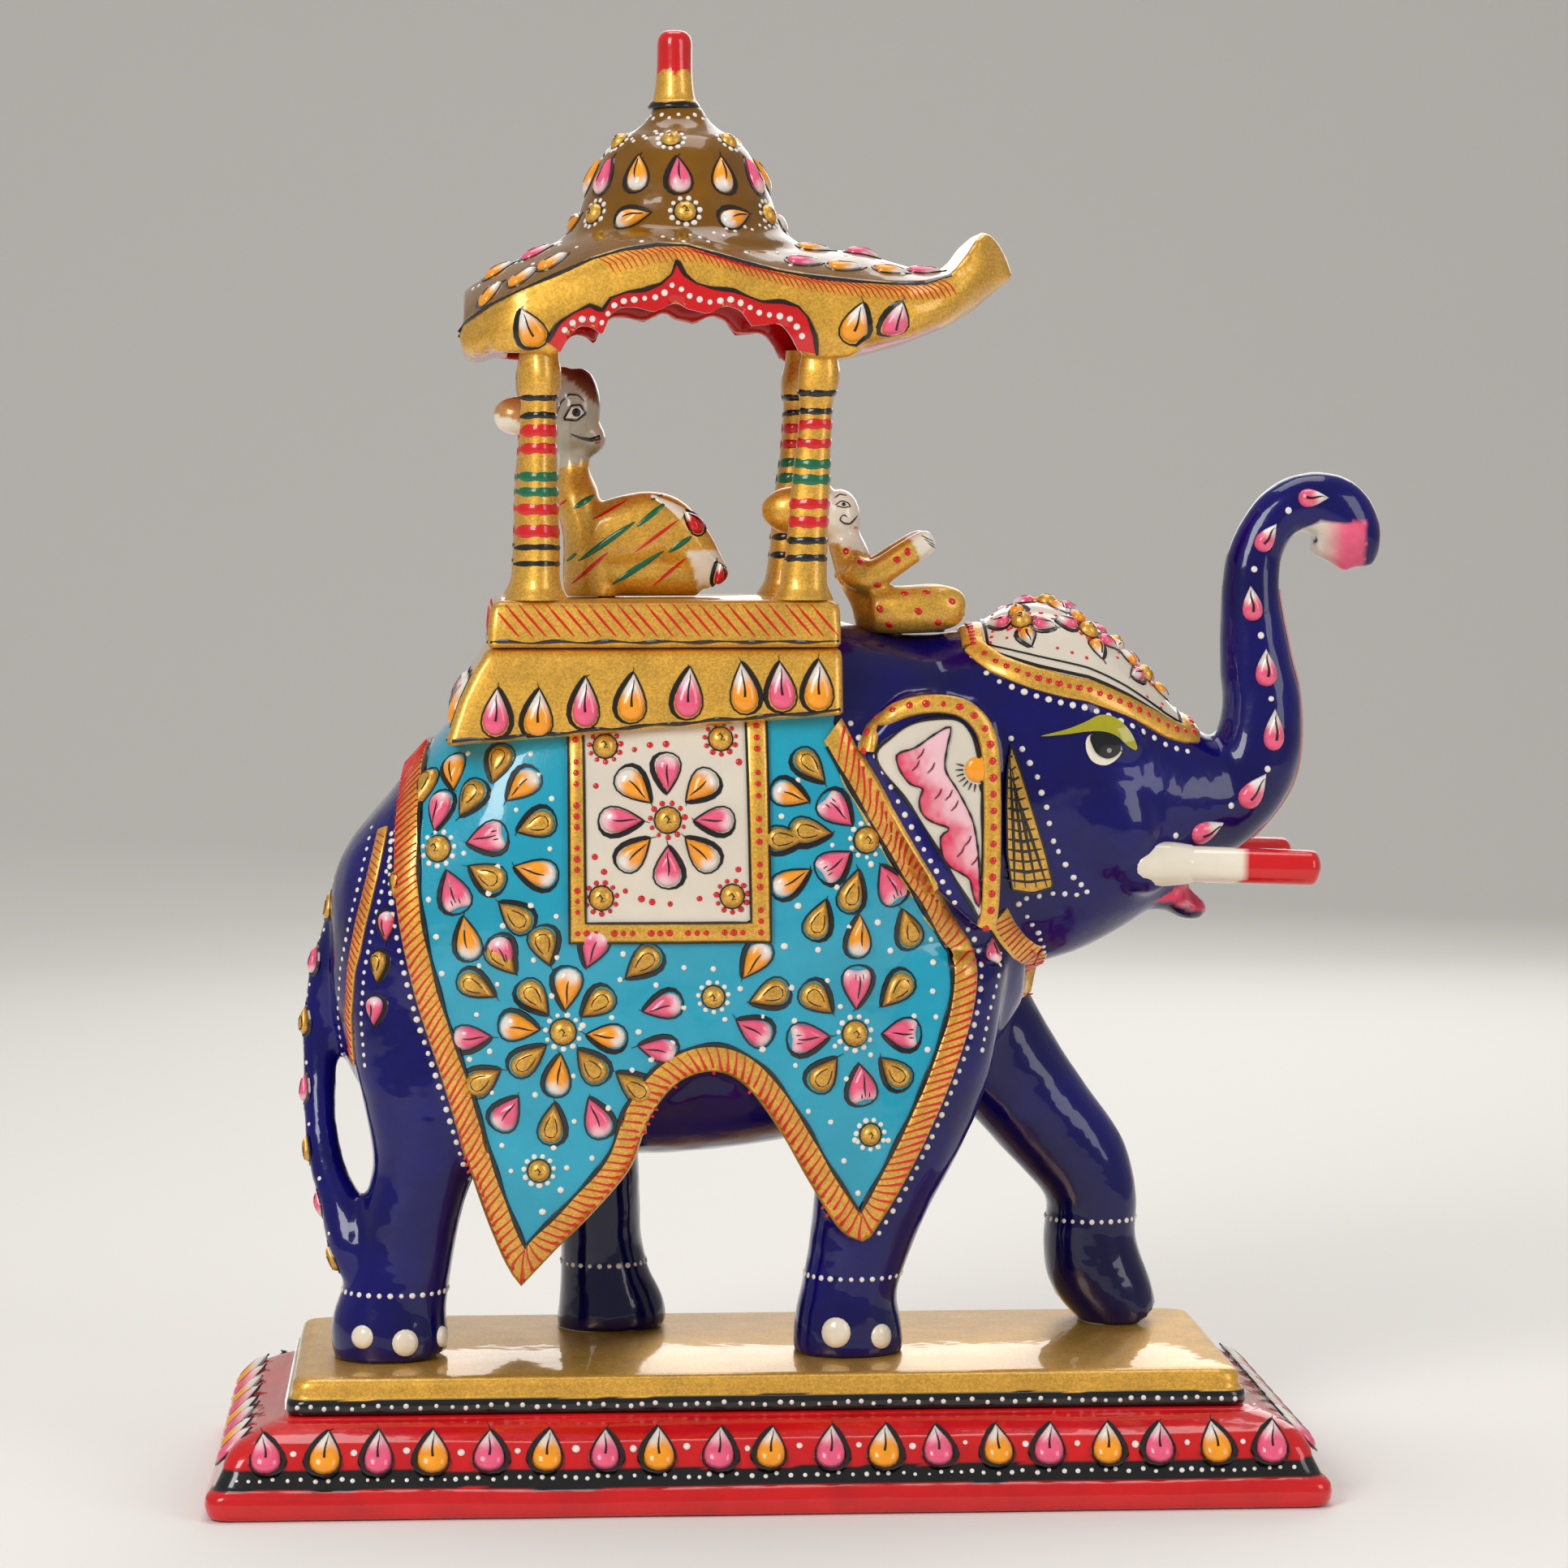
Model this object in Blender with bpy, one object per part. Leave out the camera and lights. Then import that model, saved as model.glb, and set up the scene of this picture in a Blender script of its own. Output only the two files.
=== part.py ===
"""Painted wooden elephant that carries a howdah, standing on a moulded base.

The head points along +X, the elephant's right-hand side is -Y, and +Z is up. The origin is in the plane
of the base's underside, below the middle of the elephant's back. The base is set a little to the
elephant's right. Sizes below are in millimetres, and every mesh is scaled to metres when it is built.
"""

import math

import bmesh
import bpy
from mathutils import Vector

MM = 0.001
GAP = 0.3                 # clearance between neighbouring pieces
RING = 20                 # sides of a carved section
TURNED = 20               # sides of a turned piece

BASE_CENTRE_Y = -5.5
BASE_HALF_X = 94.0
BASE_HALF_Y = 44.5
BOARD_HALF_X = 79.5
BOARD_HALF_Y = 31.2
PLINTH_TOP = 15.2
BOARD_TOP = 21.5
FOOT_BOTTOM = BOARD_TOP + GAP

SADDLE_REAR = -54.0       # lower rear edge of the saddle block
SADDLE_FRONT = 13.2
SADDLE_LOW_REAR = 126.8   # height of the seat cut in the back, rear and front
SADDLE_LOW_FRONT = 131.8
SADDLE_TOP = 143.0
SADDLE_HALF_LOW = 28.4
SADDLE_HALF_TOP = 26.0

PLATFORM_X = (-46.8, 12.9)
PLATFORM_HALF_Y = 27.0
PLATFORM_TOP = 151.2

PILLAR_X = {"rear": -38.2, "front": 8.0}
PILLAR_Y = 21.5
PILLAR_TOP = 192.0
PILLAR_TENON = 3.2
PILLAR_TENON_R = 2.0
PILLAR_HEAD_R = 4.0

CANOPY_HALF_Y = 27.0
CANOPY_WALL = 3.0
ROOM_INSET = 5.0          # the hollow under the roof starts this far inside the pillars' centres
ROOM_TOP = 207.0
DOME_X = -13.6
DOME_TOP = 235.0
FINIAL_X = -14.1
FINIAL_TOP = 249.0
FINIAL_TENON_R = 1.8
FINIAL_TENON_LOW = 228.0

NECK_SEAT = 144.6         # underside of the driver
TUSK_R = 3.15
DOWEL_R = 2.5
PEG_R = 1.5
FOOT_DOWEL_Z = (12.0, 31.0)
SADDLE_DOWEL_Z = (119.0, 147.5)
SADDLE_DOWEL_X = {"rear": -32.0, "front": 0.0}


# ---------------------------------------------------------------- helpers

def clear_scene():
    for item in list(bpy.data.objects):
        bpy.data.objects.remove(item, do_unlink=True)


def make_material(name, colour, roughness, metallic=0.0):
    material = bpy.data.materials.new(name)
    material.use_nodes = True
    shader = material.node_tree.nodes["Principled BSDF"]
    shader.inputs["Base Color"].default_value = (*colour, 1.0)
    shader.inputs["Roughness"].default_value = roughness
    shader.inputs["Metallic"].default_value = metallic
    return material


def make_object(name, bm, material, smooth_angle=40.0):
    bmesh.ops.recalc_face_normals(bm, faces=bm.faces)
    bmesh.ops.scale(bm, vec=(MM, MM, MM), verts=bm.verts)
    mesh = bpy.data.meshes.new(name)
    bm.to_mesh(mesh)
    bm.free()
    mesh.shade_smooth()
    mesh.set_sharp_from_angle(angle=math.radians(smooth_angle))
    item = bpy.data.objects.new(name, mesh)
    bpy.context.collection.objects.link(item)
    if material is not None:
        mesh.materials.append(material)
    return item


def make_cutter(name, bm):
    cutter = make_object(name, bm, None)
    cutter.hide_render = True
    cutter.display_type = "WIRE"
    return cutter


def cut(item, cutter):
    boolean = item.modifiers.new("cut_" + cutter.name, "BOOLEAN")
    boolean.operation = "DIFFERENCE"
    boolean.solver = "EXACT"
    boolean.object = cutter


def add_rings(bm, rings):
    """Skins a list of closed rings of points and caps both ends."""
    loops = [[bm.verts.new(point) for point in ring] for ring in rings]
    count = len(loops[0])
    for low, high in zip(loops, loops[1:]):
        for i in range(count):
            j = (i + 1) % count
            bm.faces.new((low[i], low[j], high[j], high[i]))
    bm.faces.new(list(reversed(loops[0])))
    bm.faces.new(loops[-1])


def spline(stations, steps):
    """Catmull-Rom curve through a list of equal-length tuples."""
    points = [stations[0], *stations, stations[-1]]
    out = []
    for a, b, c, d in zip(points, points[1:], points[2:], points[3:]):
        for k in range(steps):
            t = k / steps
            out.append(tuple(
                0.5 * (2 * q + (r - p) * t + (2 * p - 5 * q + 4 * r - s) * t * t
                       + (3 * q - p - 3 * r + s) * t ** 3)
                for p, q, r, s in zip(a, b, c, d)
            ))
    out.append(tuple(stations[-1]))
    return out


def add_limb(bm, stations, steps=3, power=2.2):
    """Sweeps an oval along stations (x, y, z, half size in the XZ plane, half size along Y)."""
    path = spline(stations, steps)
    rings = []
    for i, (x, y, z, half_in, half_across) in enumerate(path):
        before = path[max(i - 1, 0)]
        after = path[min(i + 1, len(path) - 1)]
        dx = after[0] - before[0]
        dz = after[2] - before[2]
        length = math.hypot(dx, dz) or 1.0
        ring = []
        for k in range(RING):
            angle = 2 * math.pi * k / RING
            c = math.copysign(abs(math.cos(angle)) ** (2 / power), math.cos(angle))
            s = math.copysign(abs(math.sin(angle)) ** (2 / power), math.sin(angle))
            ring.append(Vector((
                x - dz / length * half_in * c,
                y + half_across * s,
                z + dx / length * half_in * c,
            )))
        rings.append(ring)
    add_rings(bm, rings)


def add_body_sections(bm, sections, power=2.3):
    """Lofts sections (x, top, bottom, half width) along X."""
    stations = [(x, 0.0, (top + low) / 2, (top - low) / 2, half) for x, top, low, half in sections]
    path = spline(stations, 3)
    rings = []
    for x, y, z, half_up, half_across in path:
        ring = []
        for k in range(RING + 8):
            angle = 2 * math.pi * k / (RING + 8)
            c = math.copysign(abs(math.cos(angle)) ** (2 / power), math.cos(angle))
            s = math.copysign(abs(math.sin(angle)) ** (2 / power), math.sin(angle))
            ring.append(Vector((x, y + half_across * s, z + half_up * c)))
        rings.append(ring)
    add_rings(bm, rings)


def add_plate(bm, outline, y_low, y_high):
    """Extrudes an outline of (x, z) points from y_low to y_high."""
    low = [Vector((x, y_low, z)) for x, z in outline]
    high = [Vector((x, y_high, z)) for x, z in outline]
    add_rings(bm, [low, high])


def add_box(bm, low, high):
    corners = [(low[0], low[1]), (high[0], low[1]), (high[0], high[1]), (low[0], high[1])]
    add_rings(bm, [[Vector((x, y, z)) for x, y in corners] for z in (low[2], high[2])])


def add_turned(bm, profile, centre):
    """Revolves (radius, height) points about a vertical axis through centre."""
    rings = []
    for radius, height in profile:
        ring = []
        for k in range(TURNED):
            angle = 2 * math.pi * k / TURNED
            offset = Vector((radius * math.cos(angle), radius * math.sin(angle), height))
            ring.append(Vector(centre) + offset)
        rings.append(ring)
    add_rings(bm, rings)


def add_ball(bm, centre, radii):
    """Adds an ellipsoid as a limb along X."""
    stations = []
    for k in range(9):
        angle = math.pi * (k / 8)
        size = max(math.sin(angle), 0.12)
        stations.append((
            centre[0] - radii[0] * math.cos(angle), centre[1], centre[2], radii[2] * size, radii[1] * size,
        ))
    add_limb(bm, stations, steps=1, power=2.0)


def carve(name, bm, material, voxel, keep):
    """Melts overlapping carved shapes into one smooth body with a share of its faces kept."""
    item = make_object(name, bm, material, smooth_angle=60.0)
    remesh = item.modifiers.new("melt", "REMESH")
    remesh.mode = "VOXEL"
    remesh.voxel_size = voxel * MM
    remesh.use_smooth_shade = True
    smooth = item.modifiers.new("smooth", "SMOOTH")
    smooth.factor = 0.5
    smooth.iterations = 4
    thin = item.modifiers.new("thin", "DECIMATE")
    thin.ratio = keep
    return item


# ---------------------------------------------------------------- base

def base_ring(half_x, half_y, z, corner=3.0, arc=4):
    ring = []
    for sign_x, sign_y, start in ((1, 1, 0), (-1, 1, 90), (-1, -1, 180), (1, -1, 270)):
        for k in range(arc + 1):
            angle = math.radians(start + 90 * k / arc)
            ring.append(Vector((
                sign_x * (half_x - corner) + corner * math.cos(angle),
                BASE_CENTRE_Y + sign_y * (half_y - corner) + corner * math.sin(angle),
                z,
            )))
    return ring


def add_moulding(bm, profile):
    """profile holds (share of the base's overhang, height) from the bottom up."""
    rings = []
    for share, z in profile:
        half_x = BOARD_HALF_X + share * (BASE_HALF_X - BOARD_HALF_X)
        half_y = BOARD_HALF_Y + share * (BASE_HALF_Y - BOARD_HALF_Y)
        rings.append(base_ring(half_x, half_y, z))
    add_rings(bm, rings)


def build_base(gold, red):
    plinth = bmesh.new()
    add_moulding(plinth, [
        (0.90, 0.0), (0.98, 0.9), (1.0, 2.4), (0.98, 3.8), (0.90, 4.7),
        (0.88, 5.2), (0.80, 7.6),
        (0.79, 8.2), (0.70, 10.6), (0.52, 12.6), (0.30, 13.8), (0.20, 14.4), (0.16, PLINTH_TOP),
    ])
    plinth_item = make_object("base_plinth", plinth, red)

    board = bmesh.new()
    add_moulding(board, [
        (0.10, PLINTH_TOP + GAP), (0.10, 17.8), (0.0, 18.2), (0.0, 20.6), (-0.05, BOARD_TOP),
    ])
    board_item = make_object("base_top_board", board, gold)
    return plinth_item, board_item


# ---------------------------------------------------------------- elephant

TORSO = [
    (-74.0, 99.0, 84.0, 5.0), (-73.0, 104.0, 76.0, 10.0), (-70.0, 110.0, 68.0, 16.0),
    (-64.0, 117.0, 61.0, 21.5), (-58.5, 123.5, 59.0, 24.0), (-52.0, 130.5, 57.5, 26.0),
    (-42.0, 141.0, 55.5, 28.0), (-22.0, 147.0, 54.3, 28.7), (-4.0, 148.0, 55.5, 28.7),
    (12.0, 147.5, 58.5, 27.5), (22.0, 145.0, 63.0, 24.5), (32.0, 142.0, 67.0, 20.5),
    (41.0, 130.0, 72.0, 16.0), (46.5, 112.0, 80.0, 9.0),
]

HEAD = [
    (12.0, 145.4, 96.0, 16.0), (20.0, 145.6, 92.0, 18.0), (30.0, 145.6, 88.0, 19.0),
    (38.0, 146.4, 86.0, 19.0), (46.0, 149.8, 86.5, 18.5), (54.0, 148.8, 88.5, 18.0),
    (61.0, 144.0, 91.5, 17.0), (67.0, 138.0, 95.0, 15.0), (73.0, 131.5, 99.0, 12.5),
    (79.0, 127.0, 103.5, 10.0), (84.0, 124.0, 107.5, 8.0),
]

TRUNK = [
    (74.0, 0.0, 114.0, 11.0, 9.5), (81.5, 0.0, 115.5, 9.0, 8.6), (87.0, 0.0, 121.5, 8.0, 8.0),
    (88.8, 0.0, 131.0, 7.1, 7.2), (87.7, 0.0, 140.0, 6.2, 6.3), (86.7, 0.0, 150.0, 5.2, 5.4),
    (87.1, 0.0, 157.0, 4.8, 5.0), (88.8, 0.0, 162.0, 4.5, 4.8), (92.3, 0.0, 166.2, 4.6, 4.8),
    (96.8, 0.0, 167.6, 5.3, 5.0), (101.4, 0.0, 166.4, 5.8, 5.0), (104.6, 0.0, 163.0, 5.2, 4.6),
    (106.3, 0.0, 159.2, 3.5, 3.6), (107.2, 0.0, 156.4, 1.6, 2.0),
]

TAIL = [
    (-64.0, 0.0, 110.0, 3.0, 3.4), (-70.0, 0.0, 99.0, 3.2, 3.4), (-74.0, 0.0, 88.0, 3.1, 3.2),
    (-75.9, 0.0, 78.0, 3.0, 3.0), (-76.1, -2.0, 67.0, 2.8, 2.9), (-75.9, -5.0, 60.0, 2.8, 2.9),
    (-74.4, -9.0, 53.0, 3.1, 3.2), (-72.0, -13.0, 47.0, 3.8, 3.8), (-70.0, -15.5, 40.5, 4.4, 4.2),
    (-68.6, -16.5, 34.0, 2.6, 2.8),
]

REAR_RIGHT_LEG = [
    (-55.0, -12.0, 88.0, 16.0, 11.0), (-56.0, -13.0, 72.0, 14.0, 11.0), (-57.0, -14.0, 62.0, 11.0, 10.5),
    (-58.3, -14.5, 53.0, 8.6, 9.5), (-60.3, -14.5, 45.0, 8.4, 9.0), (-61.9, -14.5, 37.0, 8.6, 8.8),
    (-63.2, -14.5, 31.0, 9.1, 9.2), (-64.0, -14.5, 26.0, 10.0, 10.0), (-63.5, -14.5, 20.0, 9.4, 9.6),
]

REAR_LEFT_LEG = [
    (-44.0, 12.0, 88.0, 16.0, 11.0), (-38.0, 13.0, 72.0, 13.0, 11.0), (-31.0, 14.0, 60.0, 9.5, 10.0),
    (-28.2, 14.5, 52.0, 8.0, 9.0), (-27.2, 14.5, 44.0, 7.2, 8.4), (-26.8, 14.5, 37.0, 7.2, 8.2),
    (-26.2, 14.5, 30.0, 8.0, 8.8), (-25.2, 14.5, 24.5, 9.4, 9.6), (-25.0, 14.5, 20.0, 9.8, 9.8),
]

FRONT_RIGHT_LEG = [
    (27.0, -12.0, 90.0, 16.0, 11.0), (25.5, -13.5, 72.0, 14.5, 11.0), (22.0, -14.5, 58.0, 12.0, 10.5),
    (19.6, -14.5, 50.0, 10.3, 9.8), (17.2, -14.5, 41.0, 8.9, 9.0), (15.4, -14.5, 33.0, 8.2, 8.8),
    (15.0, -14.5, 26.5, 8.9, 9.4), (15.0, -14.5, 20.0, 9.4, 9.6),
]

FRONT_LEFT_LEG = [
    (30.0, 12.0, 90.0, 15.0, 10.0), (36.0, 13.0, 79.0, 13.0, 10.0), (44.5, 14.0, 68.0, 10.6, 9.5),
    (52.0, 14.5, 58.5, 9.4, 9.0), (58.5, 14.5, 50.5, 8.7, 8.6), (61.0, 14.5, 43.5, 8.0, 8.4),
    (60.6, 14.5, 37.0, 8.2, 8.4), (61.6, 14.5, 31.0, 8.6, 8.8), (64.8, 14.5, 25.5, 7.6, 9.0),
    (67.5, 14.5, 20.0, 6.0, 8.0),
]

EAR_OUTLINE = [
    (17.2, 125.5), (20.5, 131.6), (24.5, 134.2), (30.0, 135.1), (35.0, 134.2), (38.2, 130.5), (39.6, 124.0),
    (40.0, 116.0), (39.6, 105.0), (39.0, 96.5), (36.4, 95.2), (27.3, 104.0), (21.9, 114.0),
]

REAR_FLAP = [
    (-59.0, 86.0), (-54.0, 70.0), (-48.5, 51.0), (-41.6, 34.6), (-31.0, 46.0), (-22.5, 56.5),
    (-16.0, 70.0),
]
FRONT_FLAP = [
    (-3.0, 70.0), (2.6, 61.5), (7.8, 52.5), (17.3, 41.4), (23.1, 51.2), (30.6, 66.3), (35.9, 82.0),
]

FOOT_DOWELS = {
    "rear_right": (-63.2, -14.5), "rear_left": (-25.2, 14.5), "front_right": (15.0, -14.5),
    "front_left": (66.0, 14.5),
}
TUSK_ROOT = Vector((62.0, 11.5, 105.6))
TUSK_TIP = Vector((97.4, 16.0, 104.4))


def build_elephant(blue):
    bm = bmesh.new()
    add_body_sections(bm, TORSO, power=2.6)
    add_body_sections(bm, HEAD, power=2.1)
    for stations in (TRUNK, TAIL, REAR_RIGHT_LEG, REAR_LEFT_LEG, FRONT_RIGHT_LEG, FRONT_LEFT_LEG):
        add_limb(bm, stations)
    for side in (-1, 1):
        add_plate(bm, EAR_OUTLINE, side * 16.0, side * 27.5)
        add_plate(bm, REAR_FLAP, side * 18.0, side * 26.0)
        add_plate(bm, FRONT_FLAP, side * 18.0, side * 25.5)
    add_ball(bm, (75.5, 0.0, 97.6), (3.4, 4.2, 2.6))
    return carve("elephant_body", bm, blue, voxel=1.3, keep=0.055)


def cut_elephant(body):
    seat = bmesh.new()
    outline = [
        (-90.0, SADDLE_LOW_REAR - GAP), (SADDLE_REAR, SADDLE_LOW_REAR - GAP),
        (SADDLE_FRONT + GAP, SADDLE_LOW_FRONT - GAP), (SADDLE_FRONT + GAP, 170.0), (-90.0, 170.0),
    ]
    add_plate(seat, outline, -60.0, 60.0)
    cut(body, make_cutter("seat_cutter", seat))

    soles = bmesh.new()
    add_box(soles, (-110.0, -60.0, -10.0), (110.0, 60.0, FOOT_BOTTOM))
    cut(body, make_cutter("sole_cutter", soles))


def tusk_axis(side):
    """Root and tip of one tusk's centre line."""
    root = Vector((TUSK_ROOT.x, side * TUSK_ROOT.y, TUSK_ROOT.z))
    tip = Vector((TUSK_TIP.x, side * TUSK_TIP.y, TUSK_TIP.z))
    return root, tip


def add_rod(bm, start, end, radius, round_tip):
    """Adds a round rod from start to end, with a domed far end where asked."""
    direction = (end - start).normalized()
    across = Vector((0.0, 0.0, 1.0)).cross(direction).normalized()
    upward = direction.cross(across)
    length = (end - start).length
    profile = [(radius, 0.0), (radius, length)]
    if round_tip:
        profile = [(radius, 0.0), (radius, length - radius)]
        steps = 4
        for k in range(1, steps + 1):
            angle = math.radians(88) * k / steps
            profile.append((radius * math.cos(angle), length - radius + radius * math.sin(angle)))
    rings = []
    for size, along in profile:
        ring = []
        for k in range(TURNED):
            angle = 2 * math.pi * k / TURNED
            offset = across * (size * math.cos(angle)) + upward * (size * math.sin(angle))
            ring.append(start + direction * along + offset)
        rings.append(ring)
    add_rings(bm, rings)


def build_tusks(body, ivory):
    for name, side in (("tusk_right", -1), ("tusk_left", 1)):
        root, tip = tusk_axis(side)
        peg = bmesh.new()
        add_rod(peg, root, tip, TUSK_R, round_tip=True)
        make_object(name, peg, ivory)
        socket = bmesh.new()
        away = (tip - root).normalized()
        add_rod(socket, root - away * GAP, tip + away * 20, TUSK_R + GAP, round_tip=False)
        cut(body, make_cutter(name + "_socket", socket))


# ---------------------------------------------------------------- dowels

def build_dowel(name, x, y, span, wood, cut_items, radius=DOWEL_R):
    """A vertical dowel from span[0] to span[1], with a blind hole in every piece it enters."""
    low, high = span
    dowel = bmesh.new()
    add_turned(dowel, [(radius - 0.4, low), (radius, low + 0.5), (radius, high - 0.5),
    (radius - 0.4, high)],
               (x, y, 0.0))
    make_object(name, dowel, wood)
    hole = bmesh.new()
    add_turned(hole, [(radius + GAP, low - GAP), (radius + GAP, high + GAP)], (x, y, 0.0))
    cutter = make_cutter(name + "_hole", hole)
    for item in cut_items:
        cut(item, cutter)


# ---------------------------------------------------------------- howdah

def saddle_ring(z_rear, z_front, rear, front, half_y):
    return [
        Vector((rear, -half_y, z_rear)), Vector((front, -half_y, z_front)),
        Vector((front, half_y, z_front)), Vector((rear, half_y, z_rear)),
    ]


def bevel(item, width):
    rounded = item.modifiers.new("edges", "BEVEL")
    rounded.width = width * MM
    rounded.segments = 2
    rounded.limit_method = "ANGLE"
    rounded.angle_limit = math.radians(40)


def build_saddle(gold):
    bm = bmesh.new()
    add_rings(bm, [
        saddle_ring(SADDLE_LOW_REAR, SADDLE_LOW_FRONT, SADDLE_REAR, SADDLE_FRONT, SADDLE_HALF_LOW),
        saddle_ring(138.5, 139.5, -50.2, SADDLE_FRONT, SADDLE_HALF_TOP + 0.8),
        saddle_ring(SADDLE_TOP, SADDLE_TOP, -47.2, SADDLE_FRONT, SADDLE_HALF_TOP),
    ])
    saddle = make_object("saddle_block", bm, gold)
    bevel(saddle, 0.8)
    return saddle


def build_platform(gold):
    bm = bmesh.new()
    low = (PLATFORM_X[0], -PLATFORM_HALF_Y, SADDLE_TOP + GAP)
    high = (PLATFORM_X[1], PLATFORM_HALF_Y, PLATFORM_TOP)
    add_box(bm, low, high)
    platform = make_object("howdah_platform", bm, gold)
    bevel(platform, 0.9)
    return platform


def pillar_profile():
    foot = PLATFORM_TOP + GAP
    shoulder = PILLAR_TOP - GAP
    return [
        (2.6, foot), (5.3, foot), (5.4, foot + 1.2), (4.6, foot + 3.2), (3.9, foot + 5.4), (3.9, 160.0),
        (3.7, 168.0), (3.2, 178.0), (3.0, 183.0), (3.2, 184.6), (3.4, 186.5), (3.9, 189.0),
        (PILLAR_HEAD_R, 191.0), (3.8, shoulder), (PILLAR_TENON_R, shoulder),
        (PILLAR_TENON_R, PILLAR_TOP + PILLAR_TENON),
    ]


def build_pillars(canopy, gold):
    head = PILLAR_HEAD_R + GAP
    tenon = PILLAR_TENON_R + GAP
    for name_x, x in PILLAR_X.items():
        for name_y, side in (("right", -1), ("left", 1)):
            y = side * PILLAR_Y
            bm = bmesh.new()
            add_turned(bm, pillar_profile(), (x, y, 0.0))
            name = f"pillar_{name_x}_{name_y}"
            make_object(name, bm, gold)
            hole = bmesh.new()
            add_turned(hole, [
                (head, 180.0), (head, PILLAR_TOP), (tenon, PILLAR_TOP),
                (tenon, PILLAR_TOP + PILLAR_TENON + GAP),
            ], (x, y, 0.0))
            cut(canopy, make_cutter(name + "_hole", hole))


ROOF_EDGE = [
    (-51.5, 197.0), (-48.6, 199.8), (-36.0, 205.6), (-25.0, 209.8), (-15.0, 211.1), (-5.0, 208.8),
    (8.0, 206.1), (20.0, 204.8), (32.0, 206.2), (36.5, 209.5), (39.5, 214.0), (42.0, 211.5),
    (44.0, 206.5),
]
LOWER_EDGE = [
    (44.0, 206.0), (42.0, 202.3), (34.5, 197.8), (24.5, 194.1), (13.5, 191.0), (6.5, 191.8), (-36.5, 192.6),
    (-43.5, 193.8), (-48.0, 192.0), (-51.5, 195.2),
]
ARCH = [
    (-33.4, 185.0), (-33.4, 194.0), (-30.0, 196.4), (-28.2, 195.0), (-25.6, 198.2), (-23.6, 200.2),
    (-19.9, 199.4), (-17.0, 200.6), (-14.9, 203.4), (-12.8, 200.6), (-10.4, 199.3), (-6.2, 200.3),
    (-4.2, 198.2), (-1.9, 195.2), (0.2, 196.2), (3.6, 193.6), (3.6, 185.0),
]


def plan_half_width(x):
    """Half width of the roof in plan: straight sides, and ends drawn in to a blunt prow."""
    if x > 22.0:
        return CANOPY_HALF_Y * (1.0 - 0.62 * ((x - 22.0) / 22.0) ** 2)
    if x < -42.0:
        return CANOPY_HALF_Y * (1.0 - 0.35 * ((-42.0 - x) / 9.5) ** 2)
    return CANOPY_HALF_Y


def edge_height(line, x):
    for (x0, z0), (x1, z1) in zip(line, line[1:]):
        if min(x0, x1) <= x <= max(x0, x1) and x0 != x1:
            return z0 + (z1 - z0) * (x - x0) / (x1 - x0)
    return line[0][1] if abs(x - line[0][0]) < abs(x - line[-1][0]) else line[-1][1]


CANOPY_STATIONS = (
    -51.2, -50.0, -47.0, -42.0, -36.0, -30.0, -25.0, -20.0, -15.0, -10.0, -5.0,
    2.0, 8.0, 14.0, 20.0, 26.0, 31.0, 34.5, 37.0, 39.5, 41.5, 43.4,
)


def build_canopy(brown):
    """Boat-shaped roof: every section along X is a rounded hood, narrower towards both ends."""
    rings = []
    for x in CANOPY_STATIONS:
        half = plan_half_width(x)
        top = edge_height(ROOF_EDGE, x)
        low = edge_height(LOWER_EDGE, x)
        crown = 3.2 if x < 30.0 else 0.2
        rings.append([
            Vector((x, -half, low)), Vector((x, -half, top)), Vector((x, -0.62 * half, top + 0.75 * crown)),
            Vector((x, 0.0, top + crown)),
            Vector((x, 0.62 * half, top + 0.75 * crown)), Vector((x, half, top)), Vector((x, half, low)),
            Vector((x, 0.0, low)),
        ])
    eaves = bmesh.new()
    add_rings(eaves, rings)
    canopy = make_object("canopy", eaves, brown)

    dome = bmesh.new()
    add_turned(dome, [
        (19.0, 206.0), (19.0, 213.0), (17.6, 215.6), (17.0, 219.0), (16.1, 222.0), (14.2, 226.0),
        (11.0, 230.2), (6.6, 232.8), (4.5, DOME_TOP),
    ], (DOME_X, 0.0, 0.0))
    dome_item = make_cutter("dome_body", dome)
    join = canopy.modifiers.new("dome", "BOOLEAN")
    join.operation = "UNION"
    join.solver = "EXACT"
    join.object = dome_item
    return canopy


def hollow_canopy(canopy):
    """Opens the underside and cuts the cusped arches through both long sides."""
    room = bmesh.new()
    rear = PILLAR_X["rear"] + ROOM_INSET
    front = PILLAR_X["front"] - ROOM_INSET
    half = CANOPY_HALF_Y - CANOPY_WALL
    rings = []
    for height, end_inset, side_inset in ((180.0, 0.0, 0.0), (201.0, 0.0, 0.0), (ROOM_TOP, 5.0, 7.0)):
        rings.append([
            Vector((x, y, height))
            for x, y in (
                (rear + end_inset, side_inset - half), (front - end_inset, side_inset - half),
                (front - end_inset, half - side_inset), (rear + end_inset, half - side_inset),
            )
        ])
    add_rings(room, rings)
    cut(canopy, make_cutter("canopy_room", room))
    arch = bmesh.new()
    add_plate(arch, ARCH, -40.0, 40.0)
    cut(canopy, make_cutter("canopy_arch", arch))


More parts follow.
